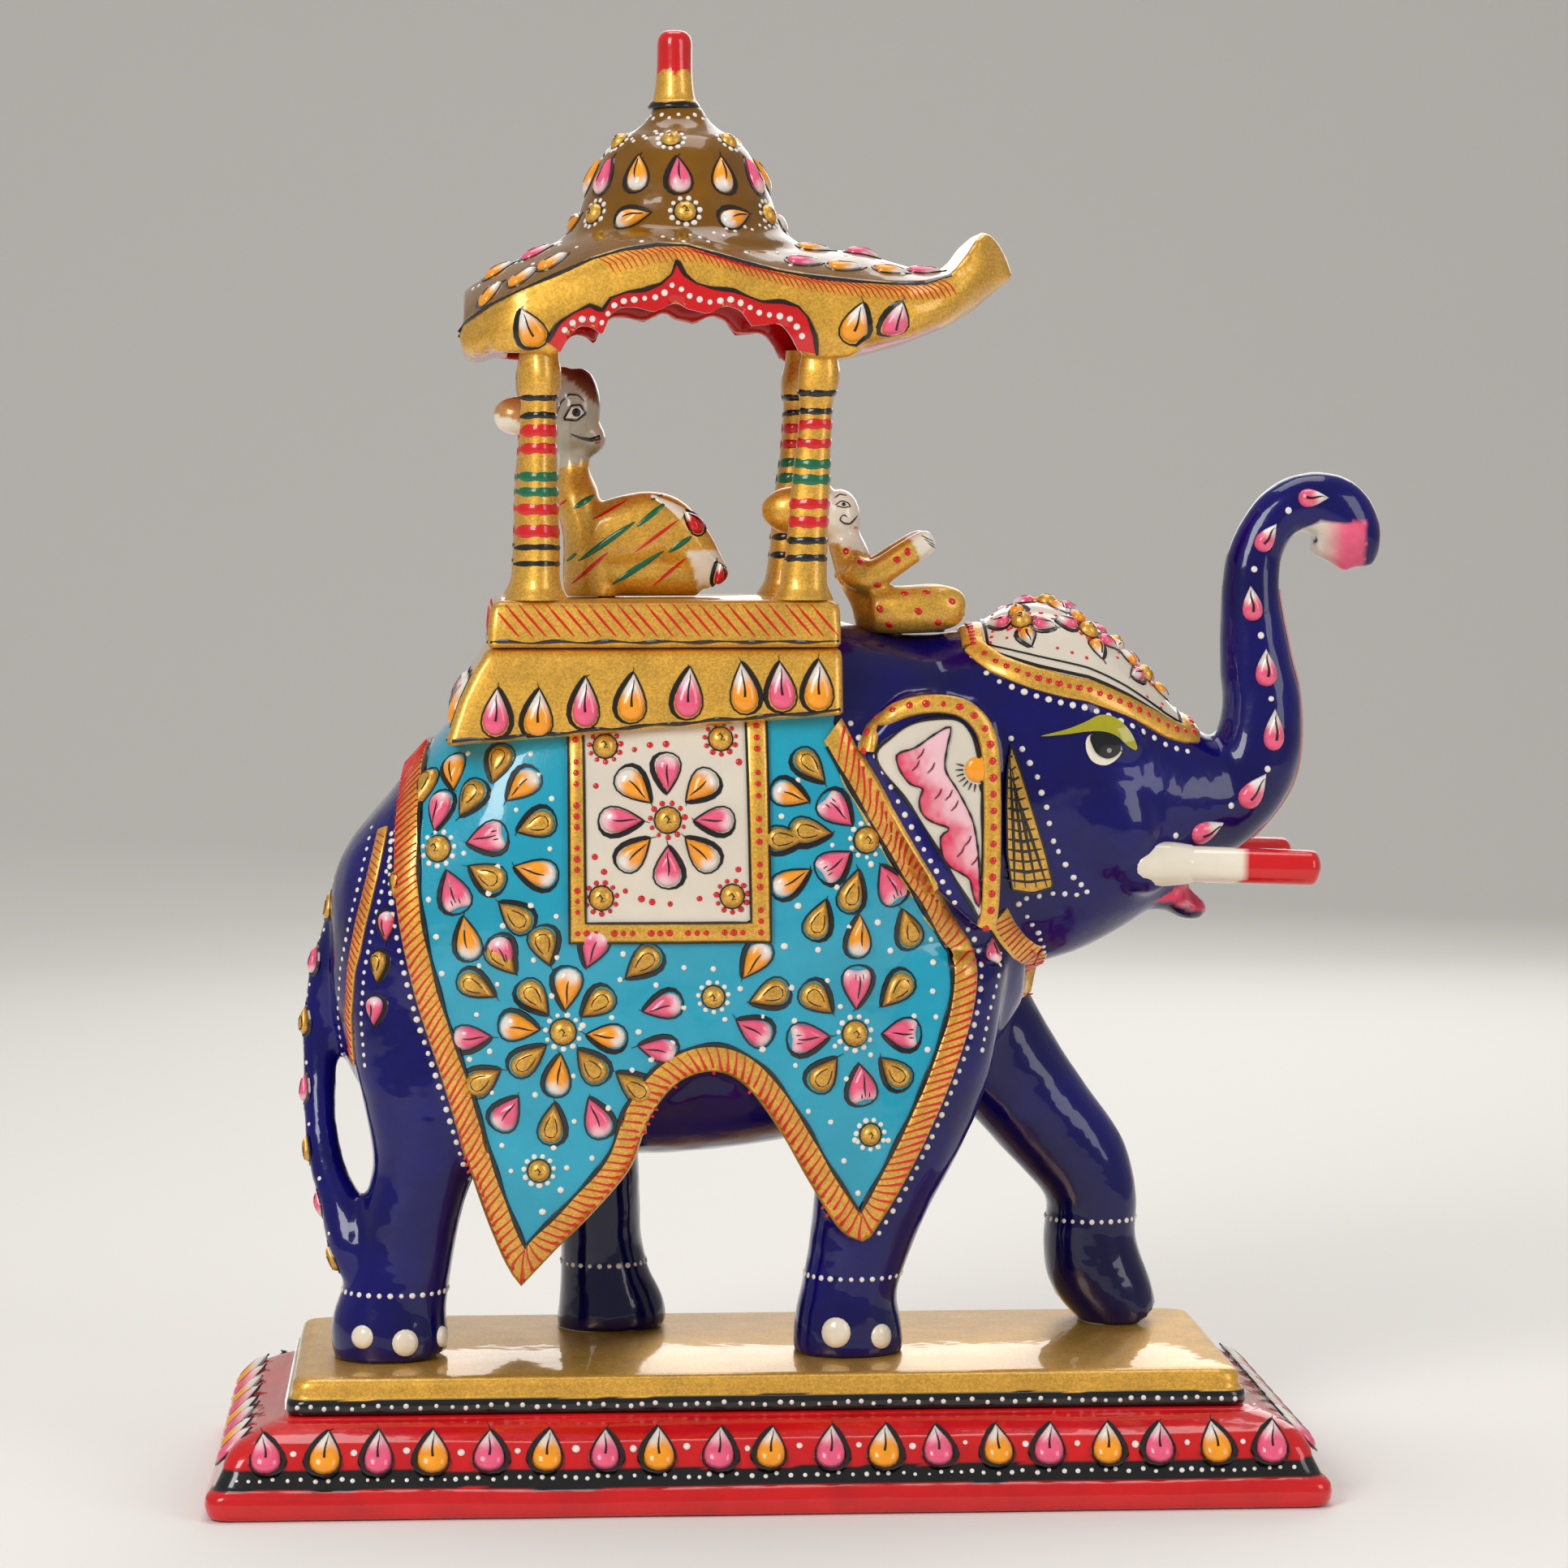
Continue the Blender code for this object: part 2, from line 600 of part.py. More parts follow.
def build_finial(canopy, gold):
    bm = bmesh.new()
    add_turned(bm, [
        (FINIAL_TENON_R, FINIAL_TENON_LOW), (FINIAL_TENON_R, DOME_TOP + GAP), (4.4, DOME_TOP + GAP),
        (4.3, 236.3), (3.7, 237.0), (3.1, 240.5), (3.0, 242.0), (3.1, 246.5), (2.8, 248.0), (1.9, 248.8),
        (0.6, FINIAL_TOP),
    ], (FINIAL_X, 0.0, 0.0))
    make_object("finial", bm, gold)
    hole = bmesh.new()
    reach = FINIAL_TENON_R + GAP
    add_turned(hole, [(reach, FINIAL_TENON_LOW - GAP), (reach, FINIAL_TOP)], (FINIAL_X, 0.0, 0.0))
    cut(canopy, make_cutter("finial_hole", hole))


# ---------------------------------------------------------------- figures

def build_rider(gold):
    bm = bmesh.new()
    add_ball(bm, (-30.4, 0.0, 183.4), (4.6, 4.8, 7.6))
    add_ball(bm, (-40.5, 0.0, 184.2), (5.4, 4.2, 4.0))
    add_ball(bm, (-35.5, 0.0, 186.0), (4.4, 4.6, 5.4))
    add_limb(bm, [
        (-30.8, 0.0, 178.0, 2.9, 2.9), (-30.6, 0.0, 171.0, 3.4, 4.8), (-29.6, 0.0, 164.0, 4.4, 6.6),
        (-28.4, 0.0, 158.0, 5.6, 7.6), (-28.0, 0.0, 153.0, 6.0, 8.2), (-28.0, 0.0, 150.0, 6.0, 8.2),
    ])
    for side in (-1, 1):
        add_limb(bm, [
            (-27.0, side * 3.6, 157.5, 5.6, 4.6), (-22.0, side * 4.2, 160.5, 6.4, 4.8),
            (-17.0, side * 4.4, 163.0, 5.4, 4.4), (-12.5, side * 4.4, 160.5, 4.4, 3.8),
            (-9.0, side * 4.2, 156.5, 3.4, 3.2), (-6.6, side * 4.0, 153.8, 2.0, 2.6),
        ])
    add_limb(bm, [
        (-26.0, 0.0, 152.5, 3.0, 8.0), (-16.0, 0.0, 153.0, 3.6, 7.6), (-8.0, 0.0, 152.8, 2.2, 6.0),
    ])
    return carve("rider_figure", bm, gold, voxel=0.8, keep=0.10)


def build_mahout(gold):
    bm = bmesh.new()
    add_ball(bm, (14.2, 0.0, 165.2), (4.2, 4.4, 4.9))
    add_limb(bm, [
        (14.0, 0.0, 166.6, 4.4, 4.4), (8.0, 0.0, 166.4, 3.9, 3.9), (3.6, 0.0, 166.2, 2.9, 2.9),
        (0.8, 0.0, 166.0, 1.0, 1.0),
    ])
    add_limb(bm, [
        (15.4, 0.0, 162.0, 3.0, 3.0), (17.6, 0.0, 158.4, 3.8, 5.6), (18.4, 0.0, 153.0, 4.2, 6.2),
        (19.6, 0.0, 148.0, 4.4, 6.2),
    ])
    for side in (-1, 1):
        add_limb(bm, [
            (17.5, side * 4.4, 158.0, 2.6, 2.4), (22.0, side * 5.6, 157.4, 2.3, 2.2),
            (26.0, side * 5.4, 159.6, 2.2, 2.2), (30.8, side * 5.0, 161.2, 2.2, 2.1),
        ])
        add_limb(bm, [
            (19.0, side * 4.6, 148.6, 4.2, 4.2), (26.0, side * 5.8, 149.0, 4.2, 3.8),
            (32.0, side * 5.6, 149.2, 3.8, 3.6), (36.6, side * 5.0, 149.0, 2.6, 2.8),
        ])
    add_limb(bm, [(18.0, 0.0, 147.2, 2.6, 6.5), (26.0, 0.0, 147.2, 2.6, 6.5), (33.0, 0.0, 147.0, 2.2, 5.5)])
    return carve("mahout_figure", bm, gold, voxel=0.8, keep=0.12)


def flatten_below(item, name, height):
    """Cuts a figure's underside flat at a height."""
    floor = bmesh.new()
    add_box(floor, (-60.0, -30.0, height - 30.0), (60.0, 30.0, height))
    cut(item, make_cutter(name, floor))


def seat_mahout(mahout, body):
    """Gives the driver a flat seat on the neck and keeps the legs clear of the howdah."""
    flatten_below(mahout, "mahout_seat", NECK_SEAT)
    pad = bmesh.new()
    add_box(pad, (SADDLE_FRONT, -12.0, NECK_SEAT - GAP), (40.5, 12.0, 175.0))
    cut(body, make_cutter("neck_seat", pad))
    back = bmesh.new()
    add_box(back, (-60.0, -30.0, 130.0), (SADDLE_FRONT + GAP, 30.0, PLATFORM_TOP + 1.5))
    cut(mahout, make_cutter("mahout_back", back))


# ---------------------------------------------------------------- assembly

def main():
    clear_scene()
    blue = make_material("blue_lacquer", (0.010, 0.008, 0.16), 0.22)
    gold = make_material("gold_paint", (0.62, 0.34, 0.05), 0.32, 0.35)
    red = make_material("red_lacquer", (0.55, 0.008, 0.012), 0.22)
    brown = make_material("ochre_lacquer", (0.24, 0.10, 0.012), 0.28, 0.1)
    ivory = make_material("ivory_lacquer", (0.78, 0.70, 0.58), 0.25)
    wood = make_material("bare_wood", (0.46, 0.30, 0.16), 0.7)

    plinth, board = build_base(gold, red)
    body = build_elephant(blue)
    cut_elephant(body)
    build_tusks(body, ivory)
    for name, (x, y) in FOOT_DOWELS.items():
        build_dowel("foot_dowel_" + name, x, y, FOOT_DOWEL_Z, wood, (plinth, board, body))

    saddle = build_saddle(gold)
    platform = build_platform(gold)
    for name, x in SADDLE_DOWEL_X.items():
        build_dowel("saddle_dowel_" + name, x, 0.0, SADDLE_DOWEL_Z, wood, (body, saddle, platform))

    canopy = build_canopy(brown)
    hollow_canopy(canopy)
    build_pillars(canopy, gold)
    build_finial(canopy, gold)

    rider = build_rider(gold)
    flatten_below(rider, "rider_seat", PLATFORM_TOP + GAP)
    build_dowel("rider_peg", -26.0, 0.0, (148.4, 155.5), wood, (rider, platform), radius=PEG_R)
    mahout = build_mahout(gold)
    seat_mahout(mahout, body)
    build_dowel("mahout_peg", 24.0, 0.0, (138.0, 149.0), wood, (body, mahout), radius=PEG_R)


main()
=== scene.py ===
"""Painted and lacquered wooden elephant carrying a howdah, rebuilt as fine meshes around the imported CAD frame.

Lengths are millimetres until a mesh is made. The head points along +X, the elephant's right-hand side is -Y.
Each point of a mesh has a tint: red, green, blue, and an alpha of 1 where the paint is gold.
"""

import math
import random

import bmesh
import bpy
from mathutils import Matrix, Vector, geometry, noise
from mathutils.bvhtree import BVHTree


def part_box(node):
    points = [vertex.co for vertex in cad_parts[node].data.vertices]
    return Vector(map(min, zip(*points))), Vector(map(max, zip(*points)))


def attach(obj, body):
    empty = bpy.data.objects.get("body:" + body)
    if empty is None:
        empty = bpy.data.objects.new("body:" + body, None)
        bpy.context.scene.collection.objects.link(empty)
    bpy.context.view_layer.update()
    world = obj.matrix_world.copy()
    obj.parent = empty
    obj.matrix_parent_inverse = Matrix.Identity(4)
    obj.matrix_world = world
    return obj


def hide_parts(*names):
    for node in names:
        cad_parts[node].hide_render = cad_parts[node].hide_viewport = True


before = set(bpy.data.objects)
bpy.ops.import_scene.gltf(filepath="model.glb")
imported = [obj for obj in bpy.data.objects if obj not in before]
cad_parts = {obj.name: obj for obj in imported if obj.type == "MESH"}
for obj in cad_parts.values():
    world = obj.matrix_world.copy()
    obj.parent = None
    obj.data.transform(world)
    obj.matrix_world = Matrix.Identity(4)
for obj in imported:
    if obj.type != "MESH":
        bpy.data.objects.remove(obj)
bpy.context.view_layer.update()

MM = 0.001
ROOT = "root"
RIGHT = -1                # the side of the elephant nearest the camera
LEFT = 1
RNG = random.Random(11)


def paint(red, green, blue, gilt=0.0):
    """Turns an 8-bit screen colour into a linear tint."""
    def linear(value):
        value = value / 255.0
        return value / 12.92 if value <= 0.04045 else ((value + 0.055) / 1.055) ** 2.4
    return (linear(red), linear(green), linear(blue), gilt)


BLUE = paint(11, 5, 104)
BLUE_SHADE = paint(7, 4, 58)
TURQUOISE = paint(20, 158, 186)
GOLD = paint(218, 166, 62, 1.0)
GOLD_DEEP = paint(196, 140, 46, 1.0)
ORANGE = paint(250, 158, 24)
PINK = paint(238, 92, 128)
PINK_PALE = paint(246, 196, 204)
WHITE = paint(236, 230, 220)
CREAM = paint(222, 212, 194)
RED = paint(208, 12, 18)
BLACK = paint(12, 10, 12)
BROWN = paint(120, 78, 2)
GREEN = paint(0, 104, 66)
OLIVE = paint(166, 160, 22)
IVORY = paint(236, 226, 206)


def mix(a, b, share):
    share = min(max(share, 0.0), 1.0)
    return tuple(p + (q - p) * share for p, q in zip(a, b))


# ---------------------------------------------------------------- mesh helpers

class Piece:
    """Collects closed solids with a tint at each point, then makes one mesh object of them."""

    def __init__(self):
        self.verts = []
        self.faces = []
        self.tints = []

    def add(self, verts, faces, tints):
        base = len(self.verts)
        self.verts.extend(verts)
        self.faces.extend(tuple(i + base for i in face) for face in faces)
        self.tints.extend(tints if isinstance(tints, list) else [tints] * len(verts))

    def finish(self, name, material, slot, replaces=(), angle=45.0):
        mesh = bpy.data.meshes.new(name)
        mesh.from_pydata([(v[0] * MM, v[1] * MM, v[2] * MM) for v in self.verts], [], self.faces)
        layer = mesh.color_attributes.new("tint", "FLOAT_COLOR", "POINT")
        layer.data.foreach_set("color", [value for tint in self.tints for value in tint])
        bm = bmesh.new()
        bm.from_mesh(mesh)
        bmesh.ops.recalc_face_normals(bm, faces=bm.faces)
        bm.to_mesh(mesh)
        bm.free()
        mesh.shade_smooth()
        mesh.set_sharp_from_angle(angle=math.radians(angle))
        return register(name, mesh, material, replaces)


def register(name, mesh, material, replaces=()):
    item = bpy.data.objects.new(name, mesh)
    bpy.context.collection.objects.link(item)
    mesh.materials.clear()
    mesh.materials.append(material)
    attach(item, ROOT)
    if replaces:
        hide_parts(*replaces)
    return item


def loft(rings, closed=False):
    """Skins equal-length rings of points; the ends are capped unless the loft closes on itself."""
    count = len(rings[0])
    verts = [point for ring in rings for point in ring]
    faces = []
    total = len(rings)
    for i in range(total if closed else total - 1):
        low = i * count
        high = ((i + 1) % total) * count
        for k in range(count):
            j = (k + 1) % count
            faces.append((low + k, low + j, high + j, high + k))
    if not closed:
        faces.append(tuple(reversed(range(count))))
        faces.append(tuple(range((total - 1) * count, total * count)))
    return verts, faces


def spline(points, steps, closed=False):
    """Catmull-Rom curve through equal-length tuples."""
    count = len(points)
    out = []
    for i in range(count if closed else count - 1):
        if closed:
            p, q, r, s = (points[(i + k) % count] for k in (-1, 0, 1, 2))
        else:
            p, q, r, s = points[max(i - 1, 0)], points[i], points[i + 1], points[min(i + 2, count - 1)]
        for k in range(steps):
            t = k / steps
            out.append(tuple(
                0.5 * (2 * b + (c - a) * t + (2 * a - 5 * b + 4 * c - d) * t * t + (3 * b - a - 3 * c + d) * t ** 3)
                for a, b, c, d in zip(p, q, r, s)
            ))
    if not closed:
        out.append(tuple(points[-1]))
    return out


def corner_path(runs, steps):
    """Joins smooth runs of points whose shared ends are sharp corners."""
    out = []
    for run in runs:
        out.extend(spline(run, steps)[:-1])
    out.append(tuple(runs[-1][-1]))
    return out


def even_path(points, spacing):
    """Resamples a polyline at an even spacing."""
    points = [Vector(p) for p in points]
    lengths = [0.0]
    for a, b in zip(points, points[1:]):
        lengths.append(lengths[-1] + (b - a).length)
    count = max(int(round(lengths[-1] / spacing)), 1)
    out = []
    j = 0
    for i in range(count + 1):
        goal = lengths[-1] * i / count
        while j < len(points) - 2 and lengths[j + 1] < goal:
            j += 1
        span = lengths[j + 1] - lengths[j]
        out.append(points[j].lerp(points[j + 1], (goal - lengths[j]) / span if span else 0.0))
    return out


def interpolate(table, x):
    """Value at x of a line through (x, value) points in rising order."""
    if x <= table[0][0]:
        return table[0][1]
    for (x0, v0), (x1, v1) in zip(table, table[1:]):
        if x <= x1:
            return v0 + (v1 - v0) * (x - x0) / (x1 - x0)
    return table[-1][1]


def limb_rings(stations, steps=5, sides=36, power=2.2):
    """Ovals swept along stations (x, y, z, half size in the XZ plane, half size along Y)."""
    path = spline(stations, steps)
    rings = []
    for i, (x, y, z, inner, across) in enumerate(path):
        before = path[max(i - 1, 0)]
        after = path[min(i + 1, len(path) - 1)]
        dx = after[0] - before[0]
        dz = after[2] - before[2]
        length = math.hypot(dx, dz) or 1.0
        ring = []
        for k in range(sides):
            angle = 2 * math.pi * k / sides
            c = math.copysign(abs(math.cos(angle)) ** (2 / power), math.cos(angle))
            s = math.copysign(abs(math.sin(angle)) ** (2 / power), math.sin(angle))
            ring.append(Vector((x - dz / length * inner * c, y + across * s, z + dx / length * inner * c)))
        rings.append(ring)
    return rings


def section_rings(sections, power, sides=48, steps=5):
    """Upright sections (x, top, bottom, half width) lofted along X."""
    rings = []
    for x, top, low, half in spline(sections, steps):
        ring = []
        for k in range(sides):
            angle = 2 * math.pi * k / sides
            c = math.copysign(abs(math.cos(angle)) ** (2 / power), math.cos(angle))
            s = math.copysign(abs(math.sin(angle)) ** (2 / power), math.sin(angle))
            ring.append(Vector((x, half * s, (top + low) / 2 + (top - low) / 2 * c)))
        rings.append(ring)
    return rings


def ball(centre, radii, tilt=0.0, rows=14, sides=24):
    """Closed ellipsoid, turned by tilt about the Y axis."""
    rings = []
    for i in range(rows + 1):
        angle = math.pi * i / rows
        size = max(math.sin(angle), 0.04)
        ring = []
        for k in range(sides):
            turn = 2 * math.pi * k / sides
            x = radii[0] * size * math.cos(turn)
            y = radii[1] * size * math.sin(turn)
            z = -radii[2] * math.cos(angle)
            ring.append(Vector((
                centre[0] + x * math.cos(tilt) + z * math.sin(tilt),
                centre[1] + y,
                centre[2] - x * math.sin(tilt) + z * math.cos(tilt),
            )))
        rings.append(ring)
    return loft(rings)
# The face: painted shade, greyer where the surface turns away from the light above.


def turned(profile, centre, sides=48, axis="Z"):
    """Revolves (radius, height) points about the upright axis through centre."""
    rings = []
    for radius, height in profile:
        rings.append([
            Vector(centre) + Vector((
                radius * math.cos(2 * math.pi * k / sides), radius * math.sin(2 * math.pi * k / sides), height,
            ))
            for k in range(sides)
        ])
    return loft(rings)


def fill_outline(outline, spacing):
    """Triangulates a closed outline of (a, b) points, with inner points on an even grid."""
    points = [Vector((p[0], p[1])) for p in outline]
    edges = [(i, (i + 1) % len(points)) for i in range(len(points))]
    low_a = min(p.x for p in points)
    high_a = max(p.x for p in points)
    low_b = min(p.y for p in points)
    high_b = max(p.y for p in points)
    rows = int((high_b - low_b) / spacing) + 1
    columns = int((high_a - low_a) / spacing) + 1
    for i in range(rows):
        for j in range(columns):
            spot = Vector((low_a + (j + 0.5 * (i % 2) + 0.3) * spacing, low_b + (i + 0.4) * spacing))
            if inside(points[:len(edges)], spot, spacing * 0.45):
                points.append(spot)
    verts, _, faces, _, _, _ = geometry.delaunay_2d_cdt(points, edges, [], 1, 1e-6)
    return verts, faces


def inside(outline, spot, margin):
    """True if spot is in the outline and no nearer than margin to its edge."""
    within = False
    count = len(outline)
    for i in range(count):
        a = outline[i]
        b = outline[(i + 1) % count]
        if (a.y > spot.y) != (b.y > spot.y):
            if spot.x < (b.x - a.x) * (spot.y - a.y) / (b.y - a.y) + a.x:
                within = not within
        span = b - a
        t = min(max((spot - a).dot(span) / max(span.length_squared, 1e-9), 0.0), 1.0)
        if (a + span * t - spot).length_squared < margin * margin:
            return False
    return within


def sheet(outline, spacing, place, top, bottom):
    """Closed thin sheet over an outline. place(a, b) gives a point and normal on the surface below it."""
    flat, faces = fill_outline(outline, spacing)
    spots = [place(p.x, p.y) for p in flat]
    verts = [point + normal * top for point, normal in spots]
    verts += [point - normal * bottom for point, normal in spots]
    count = len(flat)
    solid = [tuple(face) for face in faces]
    solid += [tuple(i + count for i in reversed(face)) for face in faces]
    rim = {}
    for face in faces:
        for i, j in zip(face, list(face[1:]) + [face[0]]):
            rim[(i, j)] = True
    for i, j in rim:
        if (j, i) not in rim:
            solid.append((j, i, i + count, j + count))
    return verts, solid


class Surface:
    """A carved body that paint and ornament are laid on."""

    def __init__(self, mesh):
        self.verts = [v.co / MM for v in mesh.vertices]
        self.normals = [v.normal.copy() for v in mesh.vertices]
        self.polygons = [tuple(p.vertices) for p in mesh.polygons]
        self.tree = BVHTree.FromPolygons(self.verts, self.polygons)

    def soft_normal(self, point, index):
        total = Vector((0, 0, 0))
        for v in self.polygons[index]:
            total += self.normals[v] / ((self.verts[v] - point).length_squared + 0.01)
        return total.normalized()

    def ray(self, origin, direction):
        point, _, index, _ = self.tree.ray_cast(origin, direction)
        if point is None:
            return None
        return point, self.soft_normal(point, index)

    def near(self, point):
        spot, _, index, _ = self.tree.find_nearest(point)
        return spot, self.soft_normal(spot, index)

    def side(self, x, z, side):
        """Point and normal seen from the given side at (x, z)."""
        hit = self.ray(Vector((x, side * 90.0, z)), Vector((0, -side, 0)))
        return hit or self.near(Vector((x, side * 24.0, z)))


# ---------------------------------------------------------------- ornament

def across_and_up(normal, up, turn):
    """Two directions along a surface; turn swings the second one clockwise, seen from outside."""
    up = (up - normal * up.dot(normal)).normalized()
    across = up.cross(normal)
    c = math.cos(turn)
    s = math.sin(turn)
    return across * c - up * s, up * c + across * s


class Spot:
    """A place on a surface with its own flat coordinates (u to the right, v along the ornament)."""

    def __init__(self, surface, point, normal, turn_deg=0.0, up=Vector((0, 0, 1)), lift=0.0):
        self.surface = surface
        self.point = point
        self.normal = normal
        self.lift = lift
        self.u, self.v = across_and_up(normal, up, math.radians(turn_deg))

    def at(self, u, v, height):
        flat = self.point + self.u * u + self.v * v
        if self.surface is None:
            return flat + self.normal * (height + self.lift)
        spot, normal = self.surface.near(flat)
        if normal.dot(self.normal) < 0.3:
            return flat + self.normal * (height + self.lift)
        return spot + (normal + self.normal).normalized() * (height + self.lift)


def drop_edge(t, width, length):
    """Outline of a teardrop with its point at t = 0."""
    return (
        0.5 * width * math.sin(t) * abs(math.sin(t / 2)) ** 1.3 / 0.727,
        0.5 * length * math.cos(t),
    )


def add_ribbon(piece, path, widths, height, tint, sink=0.15):
    """Brush stroke: path of (point, normal) with a half width at each."""
    rings = []
    last = len(path) - 1
    for i, (point, normal) in enumerate(path):
        ahead = path[min(i + 1, last)][0] - path[max(i - 1, 0)][0]
        across = normal.cross(ahead)
        if across.length < 1e-7:
            across = normal.orthogonal()
        across.normalize()
        w = widths[i] if isinstance(widths, (list, tuple)) else widths
        rings.append([
            point - across * w - normal * sink, point - across * (w * 0.6) + normal * height,
            point + across * (w * 0.6) + normal * height, point + across * w - normal * sink,
        ])
    verts, faces = loft(rings)
    piece.add(verts, faces, tint)


def brush(count, width, tail=0.25):
    """Half widths of a stroke that starts and ends thin."""
    return [width * max(math.sin(math.pi * (i + 0.35) / (count - 0.3)) ** 0.6, tail) for i in range(count)]


DROP_PAINT = {
    # kind: (strong paint, pale paint, 1 where the strong paint is at the point and -1 where it is at the round end)
    "pink": (PINK, PINK_PALE, 1), "orange": (ORANGE, WHITE, 1), "rose": (PINK, PINK_PALE, -1),
    "amber": (ORANGE, WHITE, -1), "cherry": (RED, RED, -1), "bloom": (PINK, WHITE, -1),
}


def drop_tint(kind, v, u):
    """Paint of a drop, graded along its length."""
    if kind == "gold":
        return mix(GOLD, GOLD_DEEP, 0.5 + v)
    strong, pale, way = DROP_PAINT[kind]
    if kind == "cherry":
        return strong if v < 0.22 else IVORY
    start = 0.56 if way > 0 else 0.38
    share = (v * way + start) * 2.4 + 0.16 * math.sin(u * 9.0)
    if share < 0.5:
        return mix(WHITE, pale, share * 2)
    return mix(pale, strong, share * 2 - 1)


def add_drop(paint_piece, line_piece, spot, kind, width=5.0, length=8.4, height=1.35, tulip=False):
    """Raised teardrop of gesso, pointing along the spot's v, with its black brush lines."""
    samples = 20
    centre_v = -0.1 * length
    levels = ((1.0, -0.35), (0.97, 0.22), (0.84, 0.6), (0.62, 0.84), (0.34, 0.97))
    verts = []
    tints = []
    for share, rise in levels:
        for k in range(samples):
            t = 2 * math.pi * k / samples
            u, v = drop_edge(t, width, length)
            if tulip:
                v -= 0.11 * length * max(-math.cos(t), 0) * (math.cos(3 * t) + 0.2)
            v = centre_v + (v - centre_v) * share
            u = u * share
            level = height * rise if rise > 0 else rise
            verts.append(spot.at(u, v, level))
            tints.append(drop_tint(kind, v / length, u / width))
    verts.append(spot.at(0.0, centre_v, height))
    tints.append(drop_tint(kind, centre_v / length, 0.0))
    faces = [tuple(reversed(range(samples)))]
    for ring in range(len(levels) - 1):
        for k in range(samples):
            j = (k + 1) % samples
            low = ring * samples
            faces.append((low + k, low + j, low + samples + j, low + samples + k))
    top = (len(levels) - 1) * samples
    for k in range(samples):
        faces.append((top + k, top + (k + 1) % samples, len(verts) - 1))
    paint_piece.add(verts, faces, tints)
    add_drop_lines(line_piece, spot, kind, width, length, height, tulip)


def add_drop_lines(piece, spot, kind, width, length, height, tulip):
    """Black outline, heavier on one side, a whisker at the point, and the slit on top."""
    heavy = RNG.choice((-1, 1))
    centre_v = -0.1 * length

    def on_top(u, v):
        along = (v - centre_v) / (0.6 * length if v > centre_v else 0.4 * length)
        share = min(math.hypot(along, u / (0.5 * width)), 1.0)
        return spot.at(u, v, height * math.sqrt(max(1 - share * share, 0.0)) + 0.02), spot.normal

    if kind == "bloom":
        slit = [on_top(0.15 * heavy * math.sin(i), length * (-0.26 + 0.62 * i / 6)) for i in range(7)]
        add_ribbon(piece, slit, [0.42, 0.34, 0.3, 0.26, 0.22, 0.17, 0.08], 0.07, BLACK, sink=0.3)
        return
    path = []
    widths = []
    count = 17
    for i in range(count):
        t = math.radians(16 + 328 * i / (count - 1))
        u, v = drop_edge(t, width + 0.9, length + 0.8)
        point = spot.at(u + 0.15 * heavy, v, 0.0)
        path.append((point, spot.normal))
        side_share = max(0.0, math.sin(t) * heavy)
        widths.append(0.2 + 0.4 * side_share)
    widths[0] = widths[-1] = 0.07
    add_ribbon(piece, path, widths, 0.16, BLACK)
    reach = RNG.uniform(0.3, 1.3)
    lean = RNG.uniform(-0.7, 0.7)
    whisker = [
        (spot.at(0.5 * heavy, 0.36 * length, 0.0), spot.normal),
        (spot.at(0.1 * heavy, 0.5 * length, 0.0), spot.normal),
        (spot.at(lean, 0.5 * length + reach, 0.0), spot.normal),
    ]
    add_ribbon(piece, whisker, [0.17, 0.14, 0.05], 0.14, BLACK)
    if kind == "gold":
        hook = []
        for i in range(9):
            t = math.radians(58 + 250 * i / 8)
            u, v = drop_edge(t, width * 0.52, length * 0.62)
            hook.append(on_top(u * heavy, v - 0.03 * length))
        add_ribbon(piece, hook, brush(9, 0.26), 0.07, BLACK, sink=0.3)
        return
    start = -0.22 if not tulip else -0.30
    slit = [on_top(0.12 * heavy * math.sin(i), length * (start + 0.56 * i / 5)) for i in range(6)]
    foot = kind in ("rose", "amber")
    add_ribbon(piece, slit, [0.34, 0.28, 0.22, 0.2, 0.16, 0.07] if foot else brush(6, 0.24), 0.07, BLACK, sink=0.3)
    if tulip:
        for side in (-1, 1):
            for k in range(2):
                fold = [on_top(side * width * (0.14 + 0.1 * k), length * (-0.34 + 0.07 * i)) for i in range(3)]
                add_ribbon(piece, fold, [0.10, 0.2, 0.06], 0.07, BLACK, sink=0.3)


def add_dome(piece, spot, radius, height, tint, sides=10, squash=1.0):
    """Round dab of paint or gesso."""
    verts = []
    for share, level in ((1.0, -0.2), (0.92, 0.45 * height), (0.55, 0.88 * height)):
        for k in range(sides):
            t = 2 * math.pi * k / sides
            verts.append(spot.at(radius * share * math.cos(t) * squash, radius * share * math.sin(t), level))
    verts.append(spot.at(0, 0, height))
    faces = [tuple(reversed(range(sides)))]
    for ring in range(2):
        for k in range(sides):
            j = (k + 1) % sides
            low = ring * sides
            faces.append((low + k, low + j, low + sides + j, low + sides + k))
    for k in range(sides):
        faces.append((2 * sides + k, 2 * sides + (k + 1) % sides, 3 * sides))
    piece.add(verts, faces, tint)


def add_dot(piece, point, normal, radius, tint, lift=0.0):
    """Small dab, laid flat on its tangent plane."""
    size = radius * RNG.uniform(0.85, 1.15)
    add_dome(piece, Spot(None, point, normal, 0.0, safe_up(normal), lift), size, 0.42 * size, tint, sides=8,
             squash=RNG.uniform(0.9, 1.1))


def safe_up(normal):
    return Vector((0, 0, 1)) if abs(normal.z) < 0.9 else Vector((1, 0, 0))


